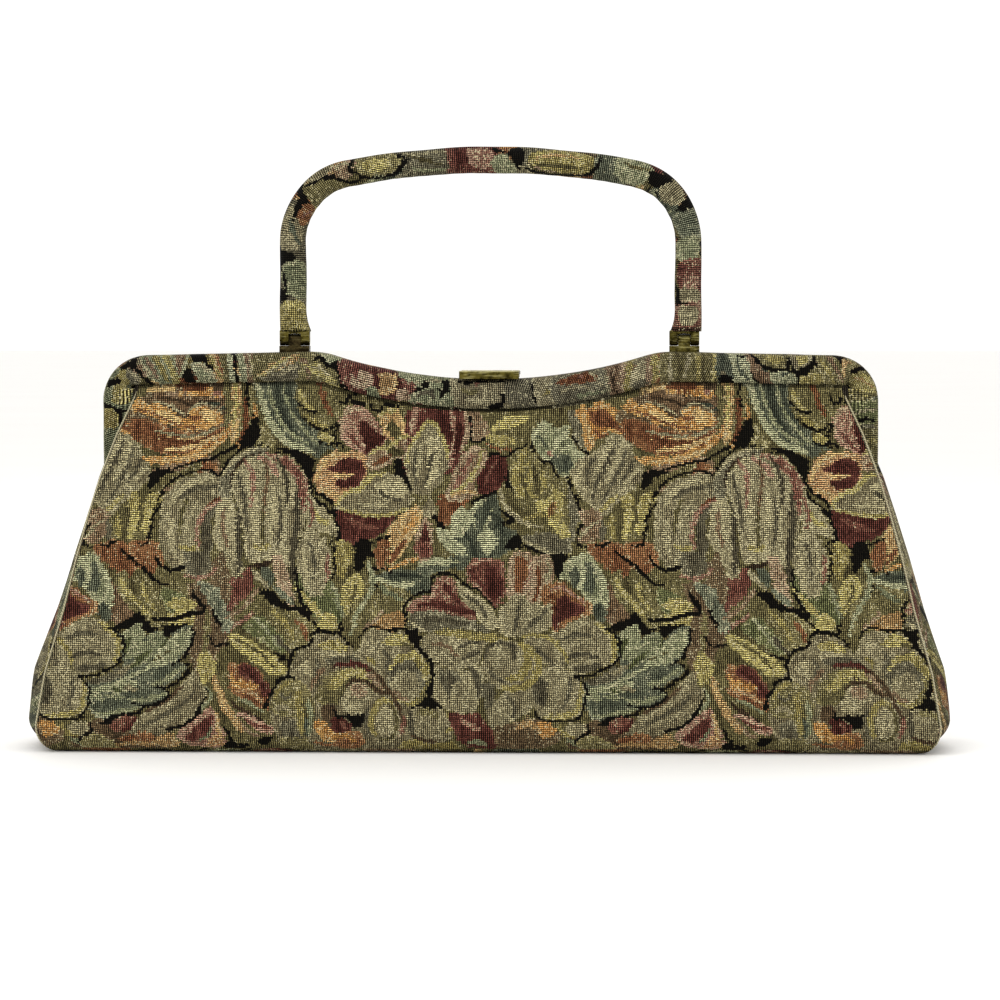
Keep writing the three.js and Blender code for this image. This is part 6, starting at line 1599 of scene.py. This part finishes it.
def makeHandle():
    line = handleLine()
    x, z, angle = (line[:, k][:, None] for k in range(3))
    run = lengthAlong(line[:, :2])[:, None]
    turn = 2 * math.pi * np.arange(handle["around"])[None, :] / handle["around"]
    low = np.clip((z - handle["lowZ"]) / handle["flareLength"], 0, 1)
    wide = handle["radius"] + handle["flare"] * (1 - low) ** 2 * (0.5 - 0.5 * np.cos(turn))
    inner = np.clip(-np.cos(turn), 0, 1)
    seam = handle["seamDepth"] * np.exp(-((turn - math.pi) / handle["seamWidth"]) ** 2)
    bend = np.clip(np.abs(np.sin(angle)) * np.abs(np.cos(angle)) * 2, 0, 1)
    wander = handle["puckerWander"] * np.sin(run / handle["puckerWanderLength"])
    pucker = handle["pucker"] * np.sin(run / handle["puckerLength"] + wander)
    pucker = pucker * inner ** 2 * (handle["puckerLeast"] + bend)
    drift = sum(high * np.sin(run / length + times * turn) for high, length, times in handle["drift"])
    scale = 1 + (pucker + drift - seam - handle["drawnTight"]) / handle["radius"]
    out = wide * np.cos(turn) * scale
    drawnIn = handle["endTaper"] * (1 - np.clip((z - handle["lowZ"]) / handle["endLength"], 0, 1)) ** 2
    deep = handle["radius"] * np.sin(turn) * scale * (1 - drawnIn)
    rings = np.stack([x + np.cos(angle) * out, bag["pivotY"] + deep, z + np.sin(angle) * out], 2)
    fromFront = (turn - 1.5 * math.pi) * handle["radius"]
    threadAt = inStitches(run, fromFront)
    # painted shade where the grip goes into each ferrule
    above = z[1:] - handle["lowZ"] - handle["jointShadeFrom"]
    jointShade = np.clip(above / handle["jointShadeFade"], handle["jointShadeDark"], 1)[..., None]
    piece = clothBar("handleCover", rings, handleCloth, threadAt, threadAt, jointShade)
    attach(piece, "handle")
    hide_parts("handle_grip")
    return piece


# Gold piping in the seams
piping = {
    "radius": 0.42, "sides": 10, "gap": 0.3, "inward": 1, "topShare": 0.99,
    "lipSteps": 30, "foldSteps": 30, "seamSteps": 180,
    "twist": 1.1, "strands": 2,      # mm along the cord for each twist
}


def makePiping(name, side):
    lip = np.linspace(0, foldCentreY, piping["lipSteps"], endpoint=False)
    foldShare = np.linspace(0, 1, piping["foldSteps"], endpoint=False)
    share = np.linspace(0, piping["topShare"], piping["seamSteps"])
    lipLine = (lip, piping["inward"] + 0 * lip, bag["baseHalfWidth"] + 0 * lip)
    lines = zip(lipLine, foldLine(foldShare, piping["inward"]), seamLine(share, piping["inward"]))
    y, z, halfWidth = (np.concatenate(line) for line in lines)
    half = np.stack([side * (halfWidth + piping["radius"] + piping["gap"]), y, z], 1)
    route = np.concatenate([half[:0:-1] * [1, -1, 1], half])
    tangent = np.gradient(route, axis=0)
    tangent = tangent / np.linalg.norm(tangent, axis=1, keepdims=True)
    outward = np.array([1.0, 0, 0])[None, :] - tangent * tangent[:, :1]
    outward = outward / np.linalg.norm(outward, axis=1, keepdims=True)
    sideways = np.cross(tangent, outward)
    turn = 2 * math.pi * np.arange(piping["sides"]) / piping["sides"]
    offset = np.cos(turn)[None, :, None] * outward[:, None] + np.sin(turn)[None, :, None] * sideways[:, None]
    rings = route[:, None] + piping["radius"] * offset
    twists = lengthAlong(route)[:, None] / piping["twist"]
    threadAt = np.stack(np.broadcast_arrays(twists, piping["strands"] * turn[None, :] / (2 * math.pi)), 2)
    piece = clothBar(name, rings, mainCloth, threadAt, threadAt)
    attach(piece, "bag")
    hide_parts("piping_left" if side < 0 else "piping_right")
    return piece


# Brass fittings, rounded off from the frame's own solids: the body that each rides on and its bevel in mm
fittings = {
    "handle_ferrule_left": ("handle", 0.6), "handle_ferrule_right": ("handle", 0.6),
    "handle_pin_left": ("handle", 0.1), "handle_pin_right": ("handle", 0.1),
    "handle_post_left": ("bag", 0.25), "handle_post_right": ("bag", 0.25),
    "clasp_lever": ("clasp", 0.6), "clasp_plate": ("bag", 0.2),
}
brassEdge = {"weld": 0.01, "flat": 1, "sharp": 40, "smooth": 35, "segments": 3}      # mm, degrees
# mm: where a fitting is reshaped to close up with its neighbours
seating = {
    "near": 0.1,
    "inward": {-1: 0.6, 1: 1.4},         # the grip's hinges stand a little inside its ends
    "plateTopZ": 154.0, "plateRaise": 0.45, "plateUnder": 1, "plateSink": 1.1, "plateWidth": 0.95,
    "tongueFrom": 0.05, "tongueBelow": 0.8, "tongueReach": 2.1,
    "tongueDepth": 0.5, "tongueHead": 1.14, "tongueWidth": 1.13,
    "ferruleTopZ": 159.7, "ferruleRaise": 0.7,
    "lipBottomZ": 141.0, "lipRaise": 0.8, "lipWidth": 0.975,
    "knuckleY": 7.6, "knuckleZ": 144.0, "knuckleReach": 1.6, "knuckleSize": 0.75,
}


def raiseLevel(z, level, rise):
    return np.where(np.abs(z - level) < seating["near"], z + rise, z)


# Posts sink into the cloth, ferrules reach into the grip, and the clasp's lip is a slim bar
def seatFitting(node, points):
    x, y, z = (points[:, k] / mm for k in range(3))
    if "clasp" not in node:
        side = 1 if x.mean() > 0 else -1
        x = x - side * seating["inward"][side]
    if "post" in node:
        above = z - seating["plateTopZ"]
        slim = np.abs(y - bag["pivotY"]) < seating["tongueReach"]
        tongue = (above > seating["tongueFrom"]) | ((above > -seating["tongueBelow"]) & slim)
        z = z + (seating["tongueHead"] - 1) * np.clip(z - bag["pivotZ"], 0, None)
        z = np.where(z < seating["plateTopZ"] - seating["plateUnder"], z - seating["plateSink"], z)
        z = raiseLevel(z, seating["plateTopZ"], seating["plateRaise"])
        y = np.where(tongue, bag["pivotY"] + (y - bag["pivotY"]) * seating["tongueDepth"], y)
        middle = (x.min() + x.max()) / 2
        x = np.where(tongue, middle + (x - middle) * seating["tongueWidth"], x)
    if "ferrule" in node:
        z = raiseLevel(z, seating["ferruleTopZ"], seating["ferruleRaise"])
    if node == "clasp_lever":
        z = raiseLevel(z, seating["lipBottomZ"], seating["lipRaise"])
        x = x * seating["lipWidth"]
    if node == "clasp_plate":
        x = x * seating["plateWidth"]
    if "clasp" in node:
        knuckle = np.hypot(y - seating["knuckleY"], z - seating["knuckleZ"]) < seating["knuckleReach"]
        size = np.where(knuckle, seating["knuckleSize"], 1)
        y = seating["knuckleY"] + size * (y - seating["knuckleY"])
        z = seating["knuckleZ"] + size * (z - seating["knuckleZ"])
    return np.stack([x, y, z], 1) * mm


def makeFitting(node, body, bevel):
    piece = bpy.data.objects.new(node.replace("_", "") + "Brass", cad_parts[node].data.copy())
    bpy.context.scene.collection.objects.link(piece)
    startEdit(piece)
    bpy.ops.mesh.remove_doubles(threshold=brassEdge["weld"] * mm)
    bpy.ops.mesh.dissolve_limited(angle_limit=math.radians(brassEdge["flat"]))
    bpy.ops.object.mode_set(mode="OBJECT")
    points = np.zeros(3 * len(piece.data.vertices))
    piece.data.vertices.foreach_get("co", points)
    piece.data.vertices.foreach_set("co", seatFitting(node, points.reshape(-1, 3)).ravel())
    piece.data.update()
    worn = piece.modifiers.new("worn", "BEVEL")
    worn.width = bevel * mm
    worn.segments = brassEdge["segments"]
    worn.limit_method = "ANGLE"
    worn.angle_limit = math.radians(brassEdge["sharp"])
    bpy.ops.object.modifier_apply(modifier="worn")
    bpy.ops.object.shade_smooth_by_angle(angle=math.radians(brassEdge["smooth"]))
    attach(piece, body)
    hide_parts(node)
    return piece


frontPanel, frontArea, panelLength = makePanel("frontPanel", -1)
backPanel, backArea, panelLength = makePanel("backPanel", 1)
basePanel, baseArea = makeBase()
gussets = [makeGusset("gussetLeft", -1), makeGusset("gussetRight", 1)]
print("bag cloth made:", round(frontArea, 4), "square metres a panel")
frameCovers = [makeFrameCover("frameCoverFront", -1), makeFrameCover("frameCoverBack", 1)]
handleCover = makeHandle()
pipings = [makePiping("pipingLeft", -1), makePiping("pipingRight", 1)]
brassPieces = [makeFitting(node, body, bevel) for node, (body, bevel) in fittings.items()]
print("frame, handle, piping and brass made")


# Materials


def addNode(tree, kind, **sockets):
    node = tree.nodes.new(kind)
    for key, value in sockets.items():
        node.inputs[key].default_value = value
    return node


def plug(tree, value, socket):
    if isinstance(value, (int, float, tuple)):
        socket.default_value = value
    else:
        tree.links.new(value, socket)


def calc(tree, operation, *values, clamp=False):
    node = tree.nodes.new("ShaderNodeMath")
    node.operation = operation
    node.use_clamp = clamp
    for socket, value in zip(node.inputs, values):
        plug(tree, value, socket)
    return node.outputs[0]


# A value times a factor, plus an offset
def scaled(tree, value, factor, offset, clamp=False):
    return calc(tree, "MULTIPLY_ADD", value, factor, offset, clamp=clamp)


def mixColours(tree, blend, factor, first, second):
    node = tree.nodes.new("ShaderNodeMix")
    node.data_type = "RGBA"
    node.blend_type = blend
    for name, value in (("Factor_Float", factor), ("A_Color", first), ("B_Color", second)):
        plug(tree, value, next(s for s in node.inputs if s.identifier == name))
    return next(s for s in node.outputs if s.identifier == "Result_Color")


def newGroup(name, inputs):
    tree = bpy.data.node_groups.new(name, "ShaderNodeTree")
    for socketName, kind in inputs.items():
        tree.interface.new_socket(socketName, in_out="INPUT", socket_type="NodeSocket" + kind)
    for socketName, kind in (("Color", "Color"), ("Height", "Float"), ("Roughness", "Float")):
        tree.interface.new_socket(socketName, in_out="OUTPUT", socket_type="NodeSocket" + kind)
    return tree, tree.nodes.new("NodeGroupInput"), tree.nodes.new("NodeGroupOutput")


# Factors and offsets are in pairs
threadLook = {
    "wander": {"Scale": 0.11, "Detail": 2.0}, "stray": (1.6, -0.8),    # how far threads wander, in stitches
    "speckledFrom": 0.5, "dashedFrom": 0.8, "glintFrom": 0.2,          # codes
    "stripes": (-0.7, 1.0), "dashes": (0.6, 0.5),                      # by the code
    "warpEdge": (2.0, -0.1), "warpTone": (2.5, -1.0),
    "weftEdge": (1.8, -0.1), "weftTone": (2.6, -1.0),
    "luck": (1.3, 0.35),                 # tone of each half stitch
    "glintLimit": (-0.1, 0.96), "glintShare": 0.8, "glintColour": (0.54, 0.49, 0.30, 1),
    "weftHeight": 0.5, "roughness": (-0.35, 0.86),
}


# Threads of the jacquard: dark warp stripes, bright weft dashes and glints of metal thread
def buildTapestryWeave():
    tree, given, result = newGroup("tapestryWeave", {
        "Chart": "Color", "Code": "Float", "Threads": "Vector", "Warp": "Float", "Weft": "Float",
        "Glint": "Float"})
    code = given.outputs["Code"]
    split = tree.nodes.new("ShaderNodeSeparateXYZ")
    tree.links.new(given.outputs["Threads"], split.inputs[0])
    u, v = split.outputs[0], split.outputs[1]
    wander = addNode(tree, "ShaderNodeTexNoise", **threadLook["wander"])
    tree.links.new(given.outputs["Threads"], wander.inputs["Vector"])
    drift = scaled(tree, wander.outputs["Fac"], *threadLook["stray"])
    warp, weft = (calc(tree, "COSINE", calc(tree, "MULTIPLY", calc(tree, "ADD", place, drift), 2 * math.pi))
                  for place in (u, v))
    dashed = calc(tree, "GREATER_THAN", code, threadLook["dashedFrom"])
    speckled = calc(tree, "SUBTRACT", calc(tree, "GREATER_THAN", code, threadLook["speckledFrom"]), dashed)
    stripes = scaled(tree, code, *threadLook["stripes"])
    # one random number for each half stitch
    cell = tree.nodes.new("ShaderNodeCombineXYZ")
    for place, socket in zip((u, v), cell.inputs):
        tree.links.new(calc(tree, "FLOOR", calc(tree, "MULTIPLY", place, 2.0)), socket)
    chance = tree.nodes.new("ShaderNodeTexWhiteNoise")
    chance.noise_dimensions = "2D"
    tree.links.new(cell.outputs[0], chance.inputs["Vector"])
    luck = chance.outputs["Value"]
    # rounded square waves: a wide dark thread, then a thin coloured one
    ridge = scaled(tree, warp, *threadLook["warpEdge"], clamp=True)
    floats = scaled(tree, weft, *threadLook["weftEdge"], clamp=True)
    ribs = calc(tree, "MULTIPLY", scaled(tree, ridge, *threadLook["warpTone"]), stripes)
    bars = calc(tree, "MULTIPLY", scaled(tree, floats, *threadLook["weftTone"]),
                scaled(tree, code, *threadLook["dashes"]))
    tone = calc(tree, "MULTIPLY", scaled(tree, ribs, given.outputs["Warp"], 1.0),
                scaled(tree, bars, given.outputs["Weft"], 1.0))
    tone = calc(tree, "MULTIPLY", tone, scaled(tree, luck, *threadLook["luck"]))
    glint = calc(tree, "GREATER_THAN", luck, scaled(tree, speckled, *threadLook["glintLimit"]))
    glint = calc(tree, "MULTIPLY", glint, given.outputs["Glint"])
    glint = calc(tree, "MULTIPLY", glint, calc(tree, "GREATER_THAN", code, threadLook["glintFrom"]))
    grey = tree.nodes.new("ShaderNodeCombineXYZ")
    for socket in grey.inputs:
        tree.links.new(tone, socket)
    yarn = mixColours(tree, "MULTIPLY", 1.0, given.outputs["Chart"], grey.outputs[0])
    shining = calc(tree, "MULTIPLY", glint, threadLook["glintShare"])
    tree.links.new(mixColours(tree, "MIX", shining, yarn, threadLook["glintColour"]), result.inputs["Color"])
    height = scaled(tree, weft, threadLook["weftHeight"], calc(tree, "MULTIPLY", warp, stripes))
    tree.links.new(calc(tree, "ADD", height, glint), result.inputs["Height"])
    tree.links.new(scaled(tree, glint, *threadLook["roughness"]), result.inputs["Roughness"])
    return tree


# Factors and offsets are in pairs
patinaLook = {
    "blotch": {"Scale": 480.0, "Detail": 6.0, "Roughness": 0.7}, "dull": (6.0, -2.52),
    "scratch": {"Scale": 1.0, "Detail": 3.0}, "scratchStretch": (180, 2400, 2400), "streak": (10.0, -5.6),
    "streakShare": 0.8,
    # painted highlight on faces that look up, laid together with the scratches
    "highlightAndWear": (2.0, -0.4), "highlightWhereDull": (-0.5, 1.1), "highlightAndWearColour": (0.40, 0.36, 0.15, 1),
    # painted shade on faces that look down
    "underShade": (-2.0, -0.3), "underShadeShare": 0.7, "underShadeColour": (0.012, 0.009, 0.004, 1),
    "roughness": (0.3, 0.26), "scratchRoughness": 0.12,
}


# Tarnish, a painted highlight on faces that look up, painted shade on faces that look down, and fine
# scratches
def buildBrassPatina():
    tree, given, result = newGroup("brassPatina", {
        "Place": "Vector", "Facing": "Vector", "Bright": "Color", "Tarnish": "Color", "Amount": "Float",
        "HighlightAndWearAmount": "Float"})
    blotch = addNode(tree, "ShaderNodeTexNoise", **patinaLook["blotch"])
    tree.links.new(given.outputs["Place"], blotch.inputs["Vector"])
    stretch = addNode(tree, "ShaderNodeMapping", Scale=patinaLook["scratchStretch"])
    tree.links.new(given.outputs["Place"], stretch.inputs["Vector"])
    scratch = addNode(tree, "ShaderNodeTexNoise", **patinaLook["scratch"])
    tree.links.new(stretch.outputs[0], scratch.inputs["Vector"])
    dull = scaled(tree, blotch.outputs["Fac"], *patinaLook["dull"], clamp=True)
    dull = calc(tree, "MULTIPLY", dull, given.outputs["Amount"])
    # faces that look up get a painted highlight, and faces that look down get painted shade
    split = tree.nodes.new("ShaderNodeSeparateXYZ")
    tree.links.new(given.outputs["Facing"], split.inputs[0])
    highlightAndWear = scaled(tree, split.outputs[2], *patinaLook["highlightAndWear"], clamp=True)
    highlightAndWear = calc(tree, "MULTIPLY", highlightAndWear, scaled(tree, dull, *patinaLook["highlightWhereDull"], clamp=True))
    underShade = scaled(tree, split.outputs[2], *patinaLook["underShade"], clamp=True)
    metal = mixColours(tree, "MIX", dull, given.outputs["Bright"], given.outputs["Tarnish"])
    metal = mixColours(tree, "MIX", calc(tree, "MULTIPLY", underShade, patinaLook["underShadeShare"]), metal,
                       patinaLook["underShadeColour"])
    streak = scaled(tree, scratch.outputs["Fac"], *patinaLook["streak"], clamp=True)
    # the scratches are real wear, joined to the painted highlight
    highlightAndWear = calc(tree, "MAXIMUM", highlightAndWear, calc(tree, "MULTIPLY", streak, patinaLook["streakShare"]))
    metal = mixColours(tree, "MIX", calc(tree, "MULTIPLY", highlightAndWear, given.outputs["HighlightAndWearAmount"]), metal,
                       patinaLook["highlightAndWearColour"])
    tree.links.new(metal, result.inputs["Color"])
    tree.links.new(calc(tree, "ADD", scratch.outputs["Fac"], blotch.outputs["Fac"]), result.inputs["Height"])
    rough = scaled(tree, dull, *patinaLook["roughness"])
    rough = scaled(tree, scratch.outputs["Fac"], patinaLook["scratchRoughness"], rough)
    tree.links.new(rough, result.inputs["Roughness"])
    return tree


def newMaterial(name):
    material = bpy.data.materials.new(name)
    material.use_nodes = True
    tree = material.node_tree
    return material, tree, tree.nodes["Principled BSDF"]


def useGroup(tree, group, values):
    node = tree.nodes.new("ShaderNodeGroup")
    node.node_tree = group
    for key, value in values.items():
        node.inputs[key].default_value = value
    return node


def addBump(tree, shader, height, strength, distance):
    bump = addNode(tree, "ShaderNodeBump", Strength=strength, Distance=distance)
    tree.links.new(height, bump.inputs["Height"])
    tree.links.new(bump.outputs[0], shader.inputs["Normal"])


def useFinish(tree, shader, finish, bump, relief):
    tree.links.new(finish.outputs["Color"], shader.inputs["Base Color"])
    tree.links.new(finish.outputs["Roughness"], shader.inputs["Roughness"])
    addBump(tree, shader, finish.outputs["Height"], bump, relief)


def threadPlaces(tree):
    threads = tree.nodes.new("ShaderNodeUVMap")
    threads.uv_map = "threads"
    return threads.outputs[0]


tapestryLook = {
    "weave": {"Warp": 0.95, "Weft": 0.85, "Glint": 1.0},
    "bump": 0.5, "relief": 0.00018, "specular": 0.06,
}


def makeTapestry(group):
    material, tree, shader = newMaterial("tapestryCloth")
    chart = tree.nodes.new("ShaderNodeAttribute")
    chart.attribute_name = "chart"
    weave = useGroup(tree, group, tapestryLook["weave"])
    tree.links.new(chart.outputs["Color"], weave.inputs["Chart"])
    tree.links.new(chart.outputs["Alpha"], weave.inputs["Code"])
    tree.links.new(threadPlaces(tree), weave.inputs["Threads"])
    useFinish(tree, shader, weave, tapestryLook["bump"], tapestryLook["relief"])
    shader.inputs["Specular IOR Level"].default_value = tapestryLook["specular"]
    return material


cordLook = {
    # painted shade in the twist's hollows and a painted highlight on its crowns
    "hollowShade": (0.20, 0.17, 0.08, 1), "crownHighlight": (0.50, 0.45, 0.29, 1),
    "bump": 0.6, "relief": 0.0002, "roughness": 0.45, "metallic": 0.35,
}


def makeCordGold():
    material, tree, shader = newMaterial("goldCord")
    split = tree.nodes.new("ShaderNodeSeparateXYZ")
    tree.links.new(threadPlaces(tree), split.inputs[0])
    lay = calc(tree, "ADD", split.outputs[0], split.outputs[1])
    wave = calc(tree, "COSINE", calc(tree, "MULTIPLY", lay, 2 * math.pi))
    strand = scaled(tree, wave, 0.5, 0.5)
    colour = mixColours(tree, "MIX", strand, cordLook["hollowShade"], cordLook["crownHighlight"])
    tree.links.new(colour, shader.inputs["Base Color"])
    addBump(tree, shader, strand, cordLook["bump"], cordLook["relief"])
    shader.inputs["Roughness"].default_value = cordLook["roughness"]
    shader.inputs["Metallic"].default_value = cordLook["metallic"]
    return material


brassLook = {
    # the amount scales the painted highlight on faces that look up, and the scratches
    "wornBrass": {"Amount": 0.9, "HighlightAndWearAmount": 0.7, "Bright": (0.10, 0.082, 0.017, 1),
                  "Tarnish": (0.013, 0.010, 0.002, 1)},
    # aged brass, darkened further as painted shade in the post's slot
    "shadedDarkBrass": {"Amount": 1.0, "HighlightAndWearAmount": 0.15, "Bright": (0.05, 0.037, 0.014, 1),
                  "Tarnish": (0.016, 0.011, 0.005, 1)},
    "bump": 0.15, "relief": 0.0001,
}


def makeBrass(name, group):
    material, tree, shader = newMaterial(name)
    place = tree.nodes.new("ShaderNodeTexCoord")
    patina = useGroup(tree, group, brassLook[name])
    tree.links.new(place.outputs["Object"], patina.inputs["Place"])
    tree.links.new(place.outputs["Normal"], patina.inputs["Facing"])
    useFinish(tree, shader, patina, brassLook["bump"], brassLook["relief"])
    shader.inputs["Metallic"].default_value = 1.0
    return material


def dress(piece, material):
    piece.data.materials.clear()
    piece.data.materials.append(material)


tapestryCloth = makeTapestry(buildTapestryWeave())
goldCord = makeCordGold()
brassPatina = buildBrassPatina()
wornBrass = makeBrass("wornBrass", brassPatina)
shadedDarkBrass = makeBrass("shadedDarkBrass", brassPatina)
clothPieces = [frontPanel, backPanel, basePanel, handleCover] + frameCovers + [made[0] for made in gussets]
for piece in clothPieces:
    dress(piece, tapestryCloth)
for piece in pipings:
    dress(piece, goldCord)
# the left post is darker than the other fittings: aged brass, darkened further as painted shade in its slot
for piece in brassPieces:
    dress(piece, shadedDarkBrass if "post" in piece.name and "left" in piece.name else wornBrass)
for node in ("frame_hinge_left", "frame_hinge_right", "clasp_pin", "clasp_catch"):
    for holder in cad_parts[node].material_slots:
        holder.material = wornBrass
print("materials assigned")

# Floor, light and camera
studio = {
    "floorSize": 40, "floorCuts": 4, "floorZ": -0.0002,
    "floorColours": ((0.86, 0.855, 0.84, 1), (0.9, 0.895, 0.885, 1)), "floorRoughness": 0.7,
    "floorCloud": {"Scale": 3.0, "Detail": 3.0},
    "world": 1.12, "worldColour": (1, 0.99, 0.97, 1),
    "key": {"place": (-0.9, -1.5, 1.7), "size": 1.4, "power": 16},
    "fill": {"place": (1.4, -1.6, 1.0), "size": 1.8, "power": 7},
    "back": {"place": (0.2, 1.4, 1.6), "size": 1.6, "power": 8},
    "lightAim": (0, 0, 0.1),
}
camera = {
    "distance": 1.6, "sensor": 36, "lens": 149,
    "azimuth": 2.0, "elevation": 2.5,      # degrees, from the bag's right and above
    "aim": (0.0039, 0, 0.0949),
}


def makeFloor():
    deselectAll()
    bpy.ops.mesh.primitive_plane_add(size=studio["floorSize"], location=(0, 0, 0))
    floor = bpy.context.object
    floor.name = "floor"
    bpy.ops.object.mode_set(mode="EDIT")
    bpy.ops.mesh.subdivide(number_cuts=studio["floorCuts"])
    bpy.ops.object.mode_set(mode="OBJECT")
    floor.data.transform(Matrix.Translation((0, 0, studio["floorZ"])))
    material, tree, shader = newMaterial("paleFloor")
    place = tree.nodes.new("ShaderNodeTexCoord")
    cloudy = addNode(tree, "ShaderNodeTexNoise", **studio["floorCloud"])
    tree.links.new(place.outputs["Object"], cloudy.inputs["Vector"])
    shade = mixColours(tree, "MIX", cloudy.outputs["Fac"], *studio["floorColours"])
    tree.links.new(shade, shader.inputs["Base Color"])
    shader.inputs["Roughness"].default_value = studio["floorRoughness"]
    dress(floor, material)


def makeLight(name, settings):
    data = bpy.data.lights.new(name, "AREA")
    data.shape = "DISK"
    data.size = settings["size"]
    data.energy = settings["power"]
    lamp = bpy.data.objects.new(name, data)
    bpy.context.scene.collection.objects.link(lamp)
    lamp.location = settings["place"]
    lamp.rotation_euler = (Vector(studio["lightAim"]) - lamp.location).to_track_quat("-Z", "Y").to_euler()


def makeWorld():
    world = bpy.data.worlds.new("studioWorld")
    bpy.context.scene.world = world
    world.use_nodes = True
    background = world.node_tree.nodes["Background"]
    background.inputs["Color"].default_value = studio["worldColour"]
    background.inputs["Strength"].default_value = studio["world"]


def makeCamera():
    data = bpy.data.cameras.new("camera")
    data.sensor_width = camera["sensor"]
    data.lens = camera["lens"]
    eye = bpy.data.objects.new("camera", data)
    bpy.context.scene.collection.objects.link(eye)
    turn, rise = math.radians(camera["azimuth"]), math.radians(camera["elevation"])
    back = Vector((math.sin(turn) * math.cos(rise), -math.cos(turn) * math.cos(rise), math.sin(rise)))
    eye.location = Vector(camera["aim"]) + back * camera["distance"]
    eye.rotation_euler = (-back).to_track_quat("-Z", "Y").to_euler()
    bpy.context.scene.camera = eye


makeFloor()
makeWorld()
for name in ("key", "fill", "back"):
    makeLight(name, studio[name])
makeCamera()
bpy.context.scene.view_settings.view_transform = "Standard"
print("studio ready")
